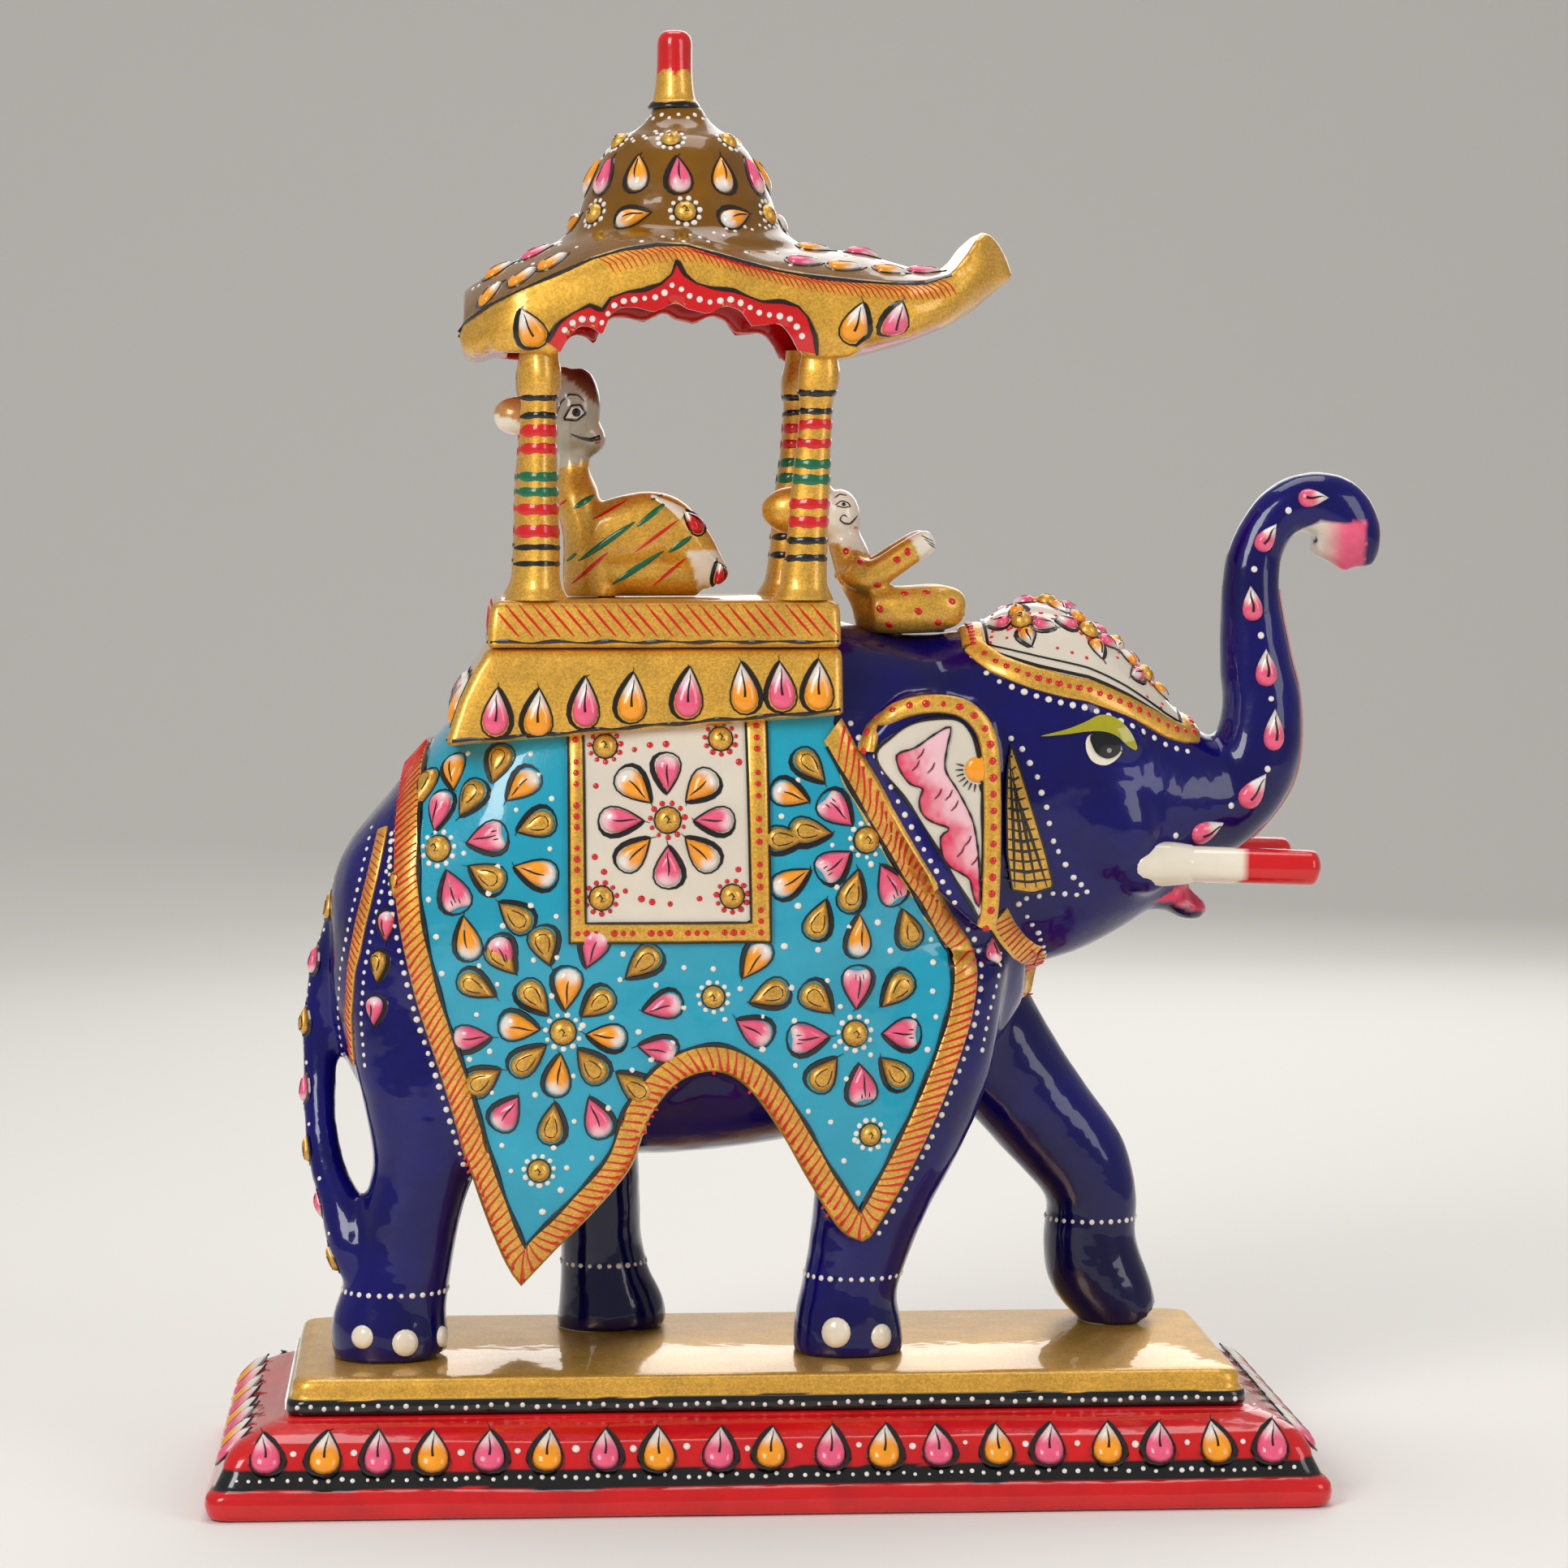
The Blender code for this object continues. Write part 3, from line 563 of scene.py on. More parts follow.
def add_button(gilt_piece, dot_piece, line_piece, spot, radius=2.2, ring_tint=WHITE, ring=11, height=1.5):
    """Gold boss with a ring of dots and a dab of black on top."""
    add_dome(gilt_piece, spot, radius, height, GOLD, sides=18)
    for k in range(ring):
        t = 2 * math.pi * (k + 0.3) / ring
        point = spot.at(1.33 * radius * math.cos(t), 1.33 * radius * math.sin(t), -spot.lift)
        add_dot(dot_piece, point, spot.normal, 0.5, ring_tint, lift=spot.lift)
    outline = []
    for k in range(13):
        t = 2 * math.pi * k / 12
        outline.append((spot.at(1.06 * radius * math.cos(t), 1.06 * radius * math.sin(t), 0.02), spot.normal))
    add_ribbon(line_piece, outline, 0.15, 0.14, BLACK)
    squiggle = [
        (spot.at(radius * u, radius * v, height * 0.93), spot.normal)
        for u, v in ((-0.35, 0.1), (-0.1, 0.3), (0.12, 0.02), (-0.05, -0.25), (0.3, -0.2))
    ]
    add_ribbon(line_piece, squiggle, [0.08, 0.2, 0.26, 0.18, 0.08], 0.1, BLACK, sink=0.35)


# ---------------------------------------------------------------- materials

def node(tree, kind, **values):
    item = tree.nodes.new(kind)
    for key, value in values.items():
        setattr(item, key, value)
    return item


def enamel(name, mottle=0.18, mottle_scale=90.0, roughness=0.24, coat=0.8, wave=0.12, flake=0.3, shine=0.3):
    """Brushed enamel or gold paint under a thick clear lacquer. The tint attribute gives colour and gilt."""
    material = bpy.data.materials.new(name)
    material.use_nodes = True
    tree = material.node_tree
    links = tree.links
    shader = tree.nodes["Principled BSDF"]
    place = node(tree, "ShaderNodeTexCoord")
    tint = node(tree, "ShaderNodeVertexColor", layer_name="tint")

    cloud = node(tree, "ShaderNodeTexNoise")
    cloud.inputs["Scale"].default_value = mottle_scale
    cloud.inputs["Detail"].default_value = 5.0
    cloud.inputs["Roughness"].default_value = 0.6
    links.new(place.outputs["Object"], cloud.inputs["Vector"])
    shade = node(tree, "ShaderNodeMapRange")
    shade.inputs["From Min"].default_value = 0.3
    shade.inputs["From Max"].default_value = 0.7
    shade.inputs["To Min"].default_value = 1.0 - mottle
    shade.inputs["To Max"].default_value = 1.0 + mottle
    links.new(cloud.outputs["Fac"], shade.inputs["Value"])

    flakes = node(tree, "ShaderNodeTexVoronoi", feature="F1")
    flakes.inputs["Scale"].default_value = 3600.0
    links.new(place.outputs["Object"], flakes.inputs["Vector"])
    spark = node(tree, "ShaderNodeSeparateColor")
    links.new(flakes.outputs["Color"], spark.inputs["Color"])
    glint = node(tree, "ShaderNodeMapRange")
    glint.inputs["To Min"].default_value = 1.0 - flake * 0.5
    glint.inputs["To Max"].default_value = 1.0 + flake
    links.new(spark.outputs["Red"], glint.inputs["Value"])
    pick = node(tree, "ShaderNodeMix", data_type="FLOAT")
    links.new(tint.outputs["Alpha"], pick.inputs["Factor"])
    pick.inputs["A"].default_value = 1.0
    links.new(glint.outputs["Result"], pick.inputs["B"])
    factor = node(tree, "ShaderNodeMath", operation="MULTIPLY")
    links.new(shade.outputs["Result"], factor.inputs[0])
    links.new(pick.outputs["Result"], factor.inputs[1])
    colour = node(tree, "ShaderNodeVectorMath", operation="SCALE")
    links.new(tint.outputs["Color"], colour.inputs["Vector"])
    links.new(factor.outputs["Value"], colour.inputs["Scale"])
    links.new(colour.outputs["Vector"], shader.inputs["Base Color"])

    metal = node(tree, "ShaderNodeMath", operation="MULTIPLY")
    links.new(tint.outputs["Alpha"], metal.inputs[0])
    metal.inputs[1].default_value = 0.62
    links.new(metal.outputs["Value"], shader.inputs["Metallic"])
    gloss = node(tree, "ShaderNodeMapRange")
    gloss.inputs["To Min"].default_value = roughness
    gloss.inputs["To Max"].default_value = roughness + 0.2
    links.new(tint.outputs["Alpha"], gloss.inputs["Value"])
    links.new(gloss.outputs["Result"], shader.inputs["Roughness"])
    shader.inputs["Coat Weight"].default_value = coat
    shader.inputs["Specular IOR Level"].default_value = shine
    shader.inputs["Coat Roughness"].default_value = 0.05

    strokes = node(tree, "ShaderNodeTexNoise")
    strokes.inputs["Scale"].default_value = 900.0
    strokes.inputs["Detail"].default_value = 3.0
    links.new(place.outputs["Object"], strokes.inputs["Vector"])
    grain = node(tree, "ShaderNodeBump")
    grain.inputs["Strength"].default_value = 0.25
    grain.inputs["Distance"].default_value = 0.0002
    links.new(strokes.outputs["Fac"], grain.inputs["Height"])
    links.new(grain.outputs["Normal"], shader.inputs["Normal"])
    ripple = node(tree, "ShaderNodeTexNoise")
    ripple.inputs["Scale"].default_value = 130.0
    ripple.inputs["Detail"].default_value = 2.0
    links.new(place.outputs["Object"], ripple.inputs["Vector"])
    film = node(tree, "ShaderNodeBump")
    film.inputs["Strength"].default_value = wave
    film.inputs["Distance"].default_value = 0.002
    links.new(ripple.outputs["Fac"], film.inputs["Height"])
    links.new(film.outputs["Normal"], shader.inputs["Coat Normal"])
    return material


ENAMEL = {
    "blue": enamel("blue_enamel", mottle=0.35, mottle_scale=60.0, coat=0.7, wave=0.2, shine=0.1),
    "turquoise": enamel("turquoise_enamel", mottle=0.1),
    "gold": enamel("gold_enamel", mottle=0.14, mottle_scale=140.0, wave=0.06),
    "red": enamel("red_enamel", mottle=0.16),
    "ochre": enamel("ochre_enamel", mottle=0.2, mottle_scale=110.0, coat=0.7, wave=0.08, shine=0.15),
    "cream": enamel("cream_enamel", mottle=0.06),
    "drops": enamel("drop_enamel", mottle=0.1, mottle_scale=500.0, wave=0.06),
    "lines": enamel("line_enamel", mottle=0.1, roughness=0.35),
    "dots": enamel("dot_enamel", mottle=0.06, mottle_scale=400.0),
    "figures": enamel("figure_enamel", mottle=0.12, mottle_scale=160.0),
}


# ---------------------------------------------------------------- carved bodies

def melt(name, solids, voxel, smoothing, ripple, floor=None):
    """Melts overlapping solids into one carved skin and returns its mesh."""
    bm = bmesh.new()
    for verts, faces in solids:
        made = [bm.verts.new((v[0] * MM, v[1] * MM, v[2] * MM)) for v in verts]
        for face in faces:
            if len(set(face)) == len(face):
                bm.faces.new([made[i] for i in face])
    bmesh.ops.recalc_face_normals(bm, faces=bm.faces)
    rough = bpy.data.meshes.new(name + "_rough")
    bm.to_mesh(rough)
    bm.free()
    item = bpy.data.objects.new(name + "_rough", rough)
    bpy.context.collection.objects.link(item)
    remesh = item.modifiers.new("melt", "REMESH")
    remesh.mode = "VOXEL"
    remesh.voxel_size = voxel * MM
    smooth = item.modifiers.new("smooth", "SMOOTH")
    smooth.factor = 0.5
    smooth.iterations = smoothing
    bpy.context.view_layer.update()
    seen = item.evaluated_get(bpy.context.evaluated_depsgraph_get())
    mesh = bpy.data.meshes.new_from_object(seen)
    mesh.name = name
    bpy.data.objects.remove(item, do_unlink=True)
    bpy.data.meshes.remove(rough)
    spots = [v.co.copy() for v in mesh.vertices]
    normals = [v.normal.copy() for v in mesh.vertices]
    moved = []
    for spot, normal in zip(spots, normals):
        wave = noise.noise(spot * 95.0) * ripple + noise.noise(spot * 260.0) * ripple * 0.35
        spot = spot + normal * wave * MM
        if floor is not None:
            spot.z = max(spot.z, floor * MM)
        moved.extend(spot)
    mesh.vertices.foreach_set("co", moved)
    mesh.update()
    mesh.shade_smooth()
    return mesh


def tint_mesh(mesh, choose):
    """Paints each point of a mesh: choose(position in mm, normal) gives its tint."""
    layer = mesh.color_attributes.new("tint", "FLOAT_COLOR", "POINT")
    values = []
    for v in mesh.vertices:
        values.extend(choose(v.co / MM, v.normal))
    layer.data.foreach_set("color", values)


# ---------------------------------------------------------------- the carved elephant

TORSO = [
    (-74.0, 99.0, 84.0, 5.0), (-73.0, 104.0, 76.0, 10.0), (-70.0, 110.0, 68.0, 16.0), (-64.0, 117.0, 61.0, 21.5),
    (-58.5, 123.5, 59.0, 24.0), (-52.0, 130.5, 57.5, 26.0), (-42.0, 141.0, 55.5, 28.0), (-22.0, 147.0, 54.3, 28.7),
    (-4.0, 148.0, 55.5, 28.7), (12.0, 147.5, 58.5, 27.5), (22.0, 145.0, 63.0, 24.5), (32.0, 142.0, 67.0, 20.5),
    (41.0, 130.0, 72.0, 16.0), (46.5, 112.0, 80.0, 9.0),
]
HEAD = [
    (12.0, 145.0, 96.0, 16.0), (20.0, 145.0, 92.0, 18.0), (30.0, 144.6, 88.0, 19.0), (38.0, 146.0, 86.0, 19.0),
    (46.0, 149.8, 86.5, 18.5), (54.0, 149.0, 88.5, 18.0), (61.0, 144.2, 91.5, 17.0), (67.0, 138.2, 95.0, 15.0),
    (73.0, 131.5, 99.0, 12.5), (79.0, 127.0, 103.5, 10.0), (84.0, 124.0, 107.5, 8.0),
]
TRUNK = [
    (74.0, 0.0, 114.0, 11.0, 9.5), (81.5, 0.0, 115.5, 9.0, 8.6), (87.0, 0.0, 121.5, 8.0, 8.0),
    (88.8, 0.0, 131.0, 7.1, 7.2), (87.7, 0.0, 140.0, 6.2, 6.3), (86.7, 0.0, 150.0, 5.2, 5.4),
    (87.1, 0.0, 157.0, 4.8, 5.0), (88.8, 0.0, 162.0, 4.5, 4.8), (92.3, 0.0, 166.2, 4.6, 4.8),
    (96.8, 0.0, 167.6, 5.3, 5.0), (101.4, 0.0, 166.4, 5.8, 5.0), (104.6, 0.0, 163.0, 5.2, 4.6),
    (106.3, 0.0, 159.2, 3.5, 3.6), (107.4, 0.0, 156.4, 1.6, 2.0),
]
TRUNK_LIP = [(98.0, 0.0, 161.5, 3.0, 3.4), (101.5, 0.0, 159.4, 2.6, 3.2), (104.6, 0.0, 156.4, 1.8, 2.4)]
TAIL = [
    (-64.0, 0.0, 110.0, 3.0, 3.4), (-70.0, 0.0, 99.0, 3.4, 3.4), (-73.8, 0.0, 88.0, 3.5, 3.2),
    (-75.6, 0.0, 78.0, 3.3, 3.0), (-76.0, -2.0, 67.0, 2.9, 2.9), (-75.9, -5.0, 60.0, 2.8, 2.9),
    (-74.4, -9.0, 53.0, 3.1, 3.2), (-72.0, -13.0, 47.0, 3.8, 3.8), (-70.0, -15.5, 40.5, 4.4, 4.2),
    (-68.6, -16.5, 34.0, 2.6, 2.8),
]
LEGS = {
    "rear_right": [
        (-55.0, -12.0, 88.0, 16.0, 11.0), (-56.0, -13.0, 72.0, 14.0, 11.0), (-57.0, -14.0, 62.0, 11.0, 10.5),
        (-58.3, -14.5, 53.0, 8.6, 9.5), (-60.3, -14.5, 45.0, 8.4, 9.0), (-61.9, -14.5, 37.0, 8.6, 8.8),
        (-63.2, -14.5, 31.0, 9.1, 9.2), (-64.0, -14.5, 26.0, 10.0, 10.0), (-63.5, -14.5, 21.0, 9.6, 9.8),
    ],
    "rear_left": [
        (-44.0, 12.0, 88.0, 16.0, 11.0), (-38.0, 13.0, 72.0, 13.0, 11.0), (-31.0, 14.0, 60.0, 9.5, 10.0),
        (-28.2, 14.5, 52.0, 8.0, 9.0), (-27.2, 14.5, 44.0, 7.2, 8.4), (-26.8, 14.5, 37.0, 7.2, 8.2),
        (-26.2, 14.5, 30.0, 8.0, 8.8), (-25.2, 14.5, 24.5, 9.6, 9.8), (-25.0, 14.5, 21.0, 9.8, 9.8),
    ],
    "front_right": [
        (27.0, -12.0, 90.0, 16.0, 11.0), (25.5, -13.5, 72.0, 14.5, 11.0), (22.0, -14.5, 58.0, 12.0, 10.5),
        (19.6, -14.5, 50.0, 10.3, 9.8), (17.2, -14.5, 41.0, 8.9, 9.0), (15.4, -14.5, 33.0, 8.2, 8.8),
        (15.0, -14.5, 26.5, 9.2, 9.6), (15.0, -14.5, 21.0, 9.6, 9.8),
    ],
    "front_left": [
        (30.0, 12.0, 90.0, 15.0, 10.0), (36.0, 13.0, 79.0, 13.0, 10.0), (44.5, 14.0, 68.0, 10.6, 9.5),
        (52.0, 14.5, 58.5, 9.4, 9.0), (58.5, 14.5, 50.5, 8.7, 8.6), (61.0, 14.5, 43.5, 8.0, 8.4),
        (60.6, 14.5, 37.0, 8.2, 8.4), (61.6, 14.5, 31.0, 8.6, 8.8), (64.8, 14.5, 25.5, 7.6, 9.0),
        (67.5, 14.5, 21.0, 6.0, 8.0),
    ],
}
EAR = [
    (17.0, 125.2), (19.6, 130.6), (24.0, 134.3), (30.0, 135.2), (35.2, 134.0), (38.2, 130.4), (39.5, 124.0),
    (39.9, 116.0), (39.6, 106.0), (39.0, 97.0), (36.6, 95.4), (27.3, 104.2), (21.9, 114.1),
]
EAR_Y = 27.6
BOARD_TOP = 21.6
TORSO_HALF = [(x, half) for x, _, _, half in TORSO]

REAR_RUN = [
    (-62.3, 113.1), (-62.0, 100.5), (-59.0, 84.8), (-53.8, 68.4), (-48.6, 51.2), (-44.6, 40.6), (-41.6, 35.0),
]
ARCH_RUN = [
    (-41.6, 35.0), (-36.1, 41.1), (-30.2, 47.0), (-23.2, 55.4), (-20.1, 63.7), (-15.0, 70.0), (-8.7, 71.9),
    (-3.1, 69.2), (2.6, 61.6), (7.7, 52.6), (13.2, 44.0), (17.4, 41.8),
]
FRONT_RUN = [
    (17.4, 41.8), (23.1, 51.2), (30.2, 66.0), (35.2, 80.0), (36.0, 90.0), (33.2, 95.6), (26.8, 106.6),
    (20.4, 118.0), (12.6, 131.5),
]
BLANKET_DEPTH = 0.5       # turquoise cloth above the blue body
BORDER_WIDTH = 4.0
BORDER_HEIGHT = 1.1
WRAP_Z = 100.0            # above this height the cloth is laid on from the elephant's axis
WRAP_R = 27.0
SPINE = WRAP_Z + WRAP_R * math.pi / 2


def flap_half(x, z):
    """Half width of the hanging cloth: it follows the barrel of the body and draws in a little below it."""
    drop = max(92.0 - z, 0.0) / 57.0
    return interpolate(TORSO_HALF, x) * (1.0 - 0.085 * drop * drop)


def flap_solid(side):
    """The carved cloth that hangs below the barrel of the body, as thick as the block allowed."""
    lower = corner_path([REAR_RUN[2:], ARCH_RUN, FRONT_RUN[:4]], 3)
    outline = [(x, z) for x, z in lower] + [(30.0, 92.0), (10.0, 96.0), (-20.0, 98.0), (-50.0, 96.0)]

    def place(x, z):
        return Vector((x, side * flap_half(x, z), z)), Vector((0, side, 0))

    return sheet(outline, 2.4, place, -0.4, 5.5)


def ear_solid(side):
    outline = spline(EAR, 4, closed=True)

    def place(x, z):
        lean = 0.06 * (x - 28.0)
        return Vector((x, side * (EAR_Y + lean), z)), Vector((0, side, 0))

    return sheet(outline, 2.0, place, 0.0, 11.0)


def elephant_tint(position, normal):
    """Blue all over, with the pink mouth, the cream and pink underside of the trunk's tip, and painted shade low
    between the legs and in the mouth.
    """
    x, y, z = position
    if x > 93.0 and z > 153.0:
        inner = (x - 99.5) * 0.5 + (163.6 - z) * 0.8
        if normal.z < 0.1 and normal.x < 0.55 and inner > -1.6 and x < 106.6 and z < 164.0:
            return mix(CREAM, PINK, (x - 98.5) / 4.0)
    if 69.0 < x < 80.5 and z < 101.0 and abs(y) < 6.5:
        # Pink on the lip's upturned faces, grading to dark blue on faces that turn down: painted shade in the mouth.
        lip_over_painted_shade = normal.z * 1.6 + (z - 96.4) * 0.5 + 0.5
        return mix(BLUE_SHADE, mix(paint(220, 40, 84), PINK_PALE, noise.noise(Vector((x, y, z)) * 0.5)), lip_over_painted_shade * 3)
    shade = 0.5 + 0.5 * noise.noise(Vector((x, y, z)) * 0.055)
    # Painted shade: the blue darkens towards the ground on the inner sides of the legs.
    low = min(max((60.0 - z) / 30.0, 0.0), 1.0) * (1.0 if abs(y) < 12 else 0.0)
    return mix(BLUE, BLUE_SHADE, 0.75 * shade + 0.6 * low)


def carve_elephant():
    solids = [loft(section_rings(TORSO, 2.6)), loft(section_rings(HEAD, 2.15))]
    solids += [loft(limb_rings(stations)) for stations in (TRUNK, TRUNK_LIP, TAIL, *LEGS.values())]
    for side in (RIGHT, LEFT):
        solids.append(flap_solid(side))
        solids.append(ear_solid(side))
        solids.append(ball((60.0, side * 13.5, 112.0), (9.0, 5.0, 9.0)))
        solids.append(ball((59.0, side * 13.6, 126.5), (7.5, 4.0, 5.5)))
        solids.append(ball((66.5, side * 11.2, 105.0), (6.0, 4.6, 5.2)))
    solids.append(ball((75.2, 0.0, 97.2), (4.2, 4.6, 2.6), tilt=0.35))
    solids.append(ball((71.0, 0.0, 100.0), (5.0, 6.5, 4.0)))
    mesh = melt("elephant", solids, 0.95, 7, 0.22, floor=BOARD_TOP)
    tint_mesh(mesh, elephant_tint)
    item = register("elephant_carving", mesh, ENAMEL["blue"], ("elephant_body",))
    return item, Surface(mesh)


elephant, BODY = carve_elephant()


# ---------------------------------------------------------------- blanket

def wrap(x, s, side):
    """Point and normal on the body for cloth coordinates: length x, and height s that rolls over the back."""
    if s <= WRAP_Z:
        hit = BODY.ray(Vector((x, side * 90.0, s)), Vector((0, -side, 0)))
        hem = flap_half(x, s) - 0.4
        if s < 90.0 and (hit is None or abs(hit[0].y) < hem - 0.7):
            return Vector((x, side * hem, s)), Vector((0, side, 0))
        return hit or BODY.near(Vector((x, side * 24.0, s)))
    angle = (s - WRAP_Z) / WRAP_R
    out = Vector((0, side * math.cos(angle), math.sin(angle)))
    origin = Vector((x, 0, WRAP_Z))
    return BODY.ray(origin + out * 70, -out) or BODY.near(origin + out * 25)


def rolled(x, z, side=RIGHT):
    """Cloth height s of the point seen from the side at height z."""
    if z <= WRAP_Z:
        return z
    point, _ = BODY.side(x, z, side)
    return WRAP_Z + WRAP_R * math.atan2(point.z - WRAP_Z, max(abs(point.y), 0.1))


def blanket_runs():
    rear = [(-60.0, SPINE - 0.3), (-61.2, SPINE - 15.0), (-62.0, rolled(-62.0, 112.0))] + REAR_RUN[1:]
    front = [(x, rolled(x, z)) for x, z in FRONT_RUN]
    return [rear, ARCH_RUN, front]


def inset(run_points, width):
    """Moves an open outline inward (to the left of travel) by width, mitred at its corners."""
    points = [Vector(p) for p in run_points]
    out = []
    last = len(points) - 1
    for i, p in enumerate(points):
        a = (p - points[i - 1]).normalized() if i > 0 else None
        b = (points[i + 1] - p).normalized() if i < last else None
        a = a or b
        b = b or a
        left_a = Vector((-a.y, a.x))
        left_b = Vector((-b.y, b.x))
        mid = (left_a + left_b).normalized()
        out.append(p + mid * min(width / max(mid.dot(left_a), 0.25), width * 2.6))
    return out


def border_lines():
    """Outer and inner edge of the cloth's border as matching even paths."""
    runs = blanket_runs()
    knots = [p for run in runs for p in run[:-1]] + [runs[-1][-1]]
    moved = inset(knots, BORDER_WIDTH)
    inner_runs = []
    start = 0
    for run in runs:
        inner_runs.append([tuple(p) for p in moved[start:start + len(run)]])
        start += len(run) - 1
    outer = corner_path(runs, 10)
    inner = corner_path(inner_runs, 10)
    return outer, inner


OUTER, INNER = border_lines()


def on_border(i, share, side, height):
    """Point and normal at step i along the border and share of the way in from its outer edge."""
    low = min(int(i), len(OUTER) - 2)
    t = i - low
    a = Vector(OUTER[low]).lerp(Vector(OUTER[low + 1]), t)
    b = Vector(INNER[low]).lerp(Vector(INNER[low + 1]), t)
    spot = a.lerp(b, share)
    point, normal = wrap(spot.x, spot.y, side)
    return point + normal * height, normal


def even_steps(spacing, share=0.5):
    """Steps along the border whose middles lie an even distance apart."""
    steps = [0.0]
    travelled = 0.0
    goal = spacing
    fine = 8
    before = Vector(OUTER[0]).lerp(Vector(INNER[0]), share)
    for i in range(1, (len(OUTER) - 1) * fine + 1):
        low = min(i // fine, len(OUTER) - 2)
        t = i / fine - low
        here = Vector(OUTER[low]).lerp(Vector(OUTER[low + 1]), t).lerp(
            Vector(INNER[low]).lerp(Vector(INNER[low + 1]), t), share)
        travelled += (here - before).length
        before = here
        if travelled >= goal:
            steps.append(i / fine)
            goal += spacing
    return steps


def build_blanket(side, tag):
    cloth = Piece()
    runs_top = [(12.6, rolled(12.6, 134.5)), (-6.0, rolled(-6.0, 132.5)), (-30.0, rolled(-30.0, 130.5)),
                (-53.0, rolled(-53.0, 129.0)), (-52.6, SPINE - 0.3)]
    outline = [tuple(Vector(a).lerp(Vector(b), 0.35)) for a, b in zip(OUTER, INNER)]
    outline = [tuple(p) for p in even_path(outline, 1.6)]
    top_edge = [tuple(p) for p in even_path(runs_top, 1.6)]
    verts, faces = sheet(outline + top_edge, 1.6, lambda x, s: wrap(x, s, side), BLANKET_DEPTH, 0.5)
    cloth.add(verts, faces, TURQUOISE)
    cloth.finish("blanket_cloth_" + tag, ENAMEL["turquoise"], "turquoise_lacquer")

    border = Piece()
    rings = []
    for i in even_steps(1.1):
        outer, normal = on_border(i, 0.0, side, 0.0)
        inner, _ = on_border(i, 1.0, side, 0.0)
        across = (inner - outer).normalized()
        deep = 4.6 if outer.z < 88.0 else 1.0
        rings.append([
            outer - across * 0.25 - normal * deep, outer - across * 0.35 + normal * 0.3,
            outer + normal * 0.85, on_border(i, 0.16, side, BORDER_HEIGHT)[0],
            on_border(i, 0.5, side, BORDER_HEIGHT + 0.08)[0], on_border(i, 0.84, side, BORDER_HEIGHT)[0],
            inner + normal * 0.85, inner + across * 0.1 + normal * 0.2, inner - normal * 0.5,
            outer.lerp(inner, 0.5) - normal * 0.9,
        ])
    verts, faces = loft(rings)
    border.add(verts, faces, GOLD)
    border.finish("blanket_border_" + tag, ENAMEL["gold"], "gold_paint")

    lines = Piece()
    dots = Piece()
    rim = [on_border(i, 1.0, side, BLANKET_DEPTH) for i in even_steps(1.2, 1.0)]
    add_ribbon(lines, rim, [0.42 + 0.16 * math.sin(k * 0.7) for k in range(len(rim))], 0.5, BLACK)
    hatch = even_steps(1.5)
    before = Vector((0, 0, 0))
    for k, i in enumerate(hatch):
        lean = 2.0 + 0.3 * math.sin(k * 1.7)
        if not lean < i < len(OUTER) - 1 - lean:
            continue
        path = []
        for share in (0.04, 0.3, 0.6, 0.93):
            step = min(max(i - (share - 0.5) * lean, 0.0), len(OUTER) - 1.001)
            path.append(on_border(step, share, side, BORDER_HEIGHT))
        if (path[1][0] - before).length > 0.9:
            add_ribbon(lines, path, [0.3, 0.28, 0.22, 0.1], 0.19, RED)
        before = path[1][0]
    for i in even_steps(2.0, 0.0):
        outer, normal = on_border(i, -0.3, side, 0.0)
        if abs(normal.z) > 0.5 or outer.z < 42.0:
            continue
        along = Vector(OUTER[int(i)])
        if ARCH_RUN[0][0] < along.x < ARCH_RUN[-1][0] and along.y < 73.0:
            continue
        skin = BODY.ray(Vector((outer.x, side * 90.0, outer.z)), Vector((0, -side, 0)))
        if skin and abs(skin[0].y - outer.y) < 4.0:
            add_dot(dots, skin[0], skin[1], 0.52, WHITE)
    return lines, dots


def add_flower(parts, centre, side, inner, outer, button=True, lift=BLANKET_DEPTH, ring_tint=WHITE):
    """A boss with petals round it. inner and outer list (angle, distance, kind, tulip) clockwise from the top."""
    drops, lines, dots, bosses = parts
    if button:
        point, normal = BODY.side(centre[0], centre[1], side)
        spot = Spot(BODY, point, normal, 0.0, lift=lift)
        add_button(bosses, dots, lines, spot, ring_tint=ring_tint)
    for ring in (inner, outer):
        for angle, distance, kind, tulip in ring:
            turn = math.radians(angle)
            x = centre[0] + distance * math.sin(turn)
            z = centre[1] + distance * math.cos(turn)
            put_drop(parts, x, z, angle + 180.0, kind, side, tulip, lift)


def put_drop(parts, x, z, angle, kind, side, tulip=False, lift=BLANKET_DEPTH, width=4.2, length=6.9):
    """One drop on the body's flank; angle is where its point looks, clockwise from the top, seen from the right."""
    drops, lines, dots, bosses = parts
    point, normal = BODY.side(x, z, side)
    spot = Spot(BODY, point, normal, angle if side == RIGHT else -angle, lift=lift)
    wide = width * (1.18 if tulip else RNG.uniform(0.92, 1.08))
    add_drop(bosses if kind == "gold" else drops, lines, spot, kind, wide, length * RNG.uniform(0.94, 1.06),
             tulip=tulip)


def petals(count, start, distance, kinds, tulips=""):
    return [
        (start + 360.0 * k / count, distance, kinds[k % len(kinds)], k in tulips if tulips else False)
        for k in range(count)
    ]


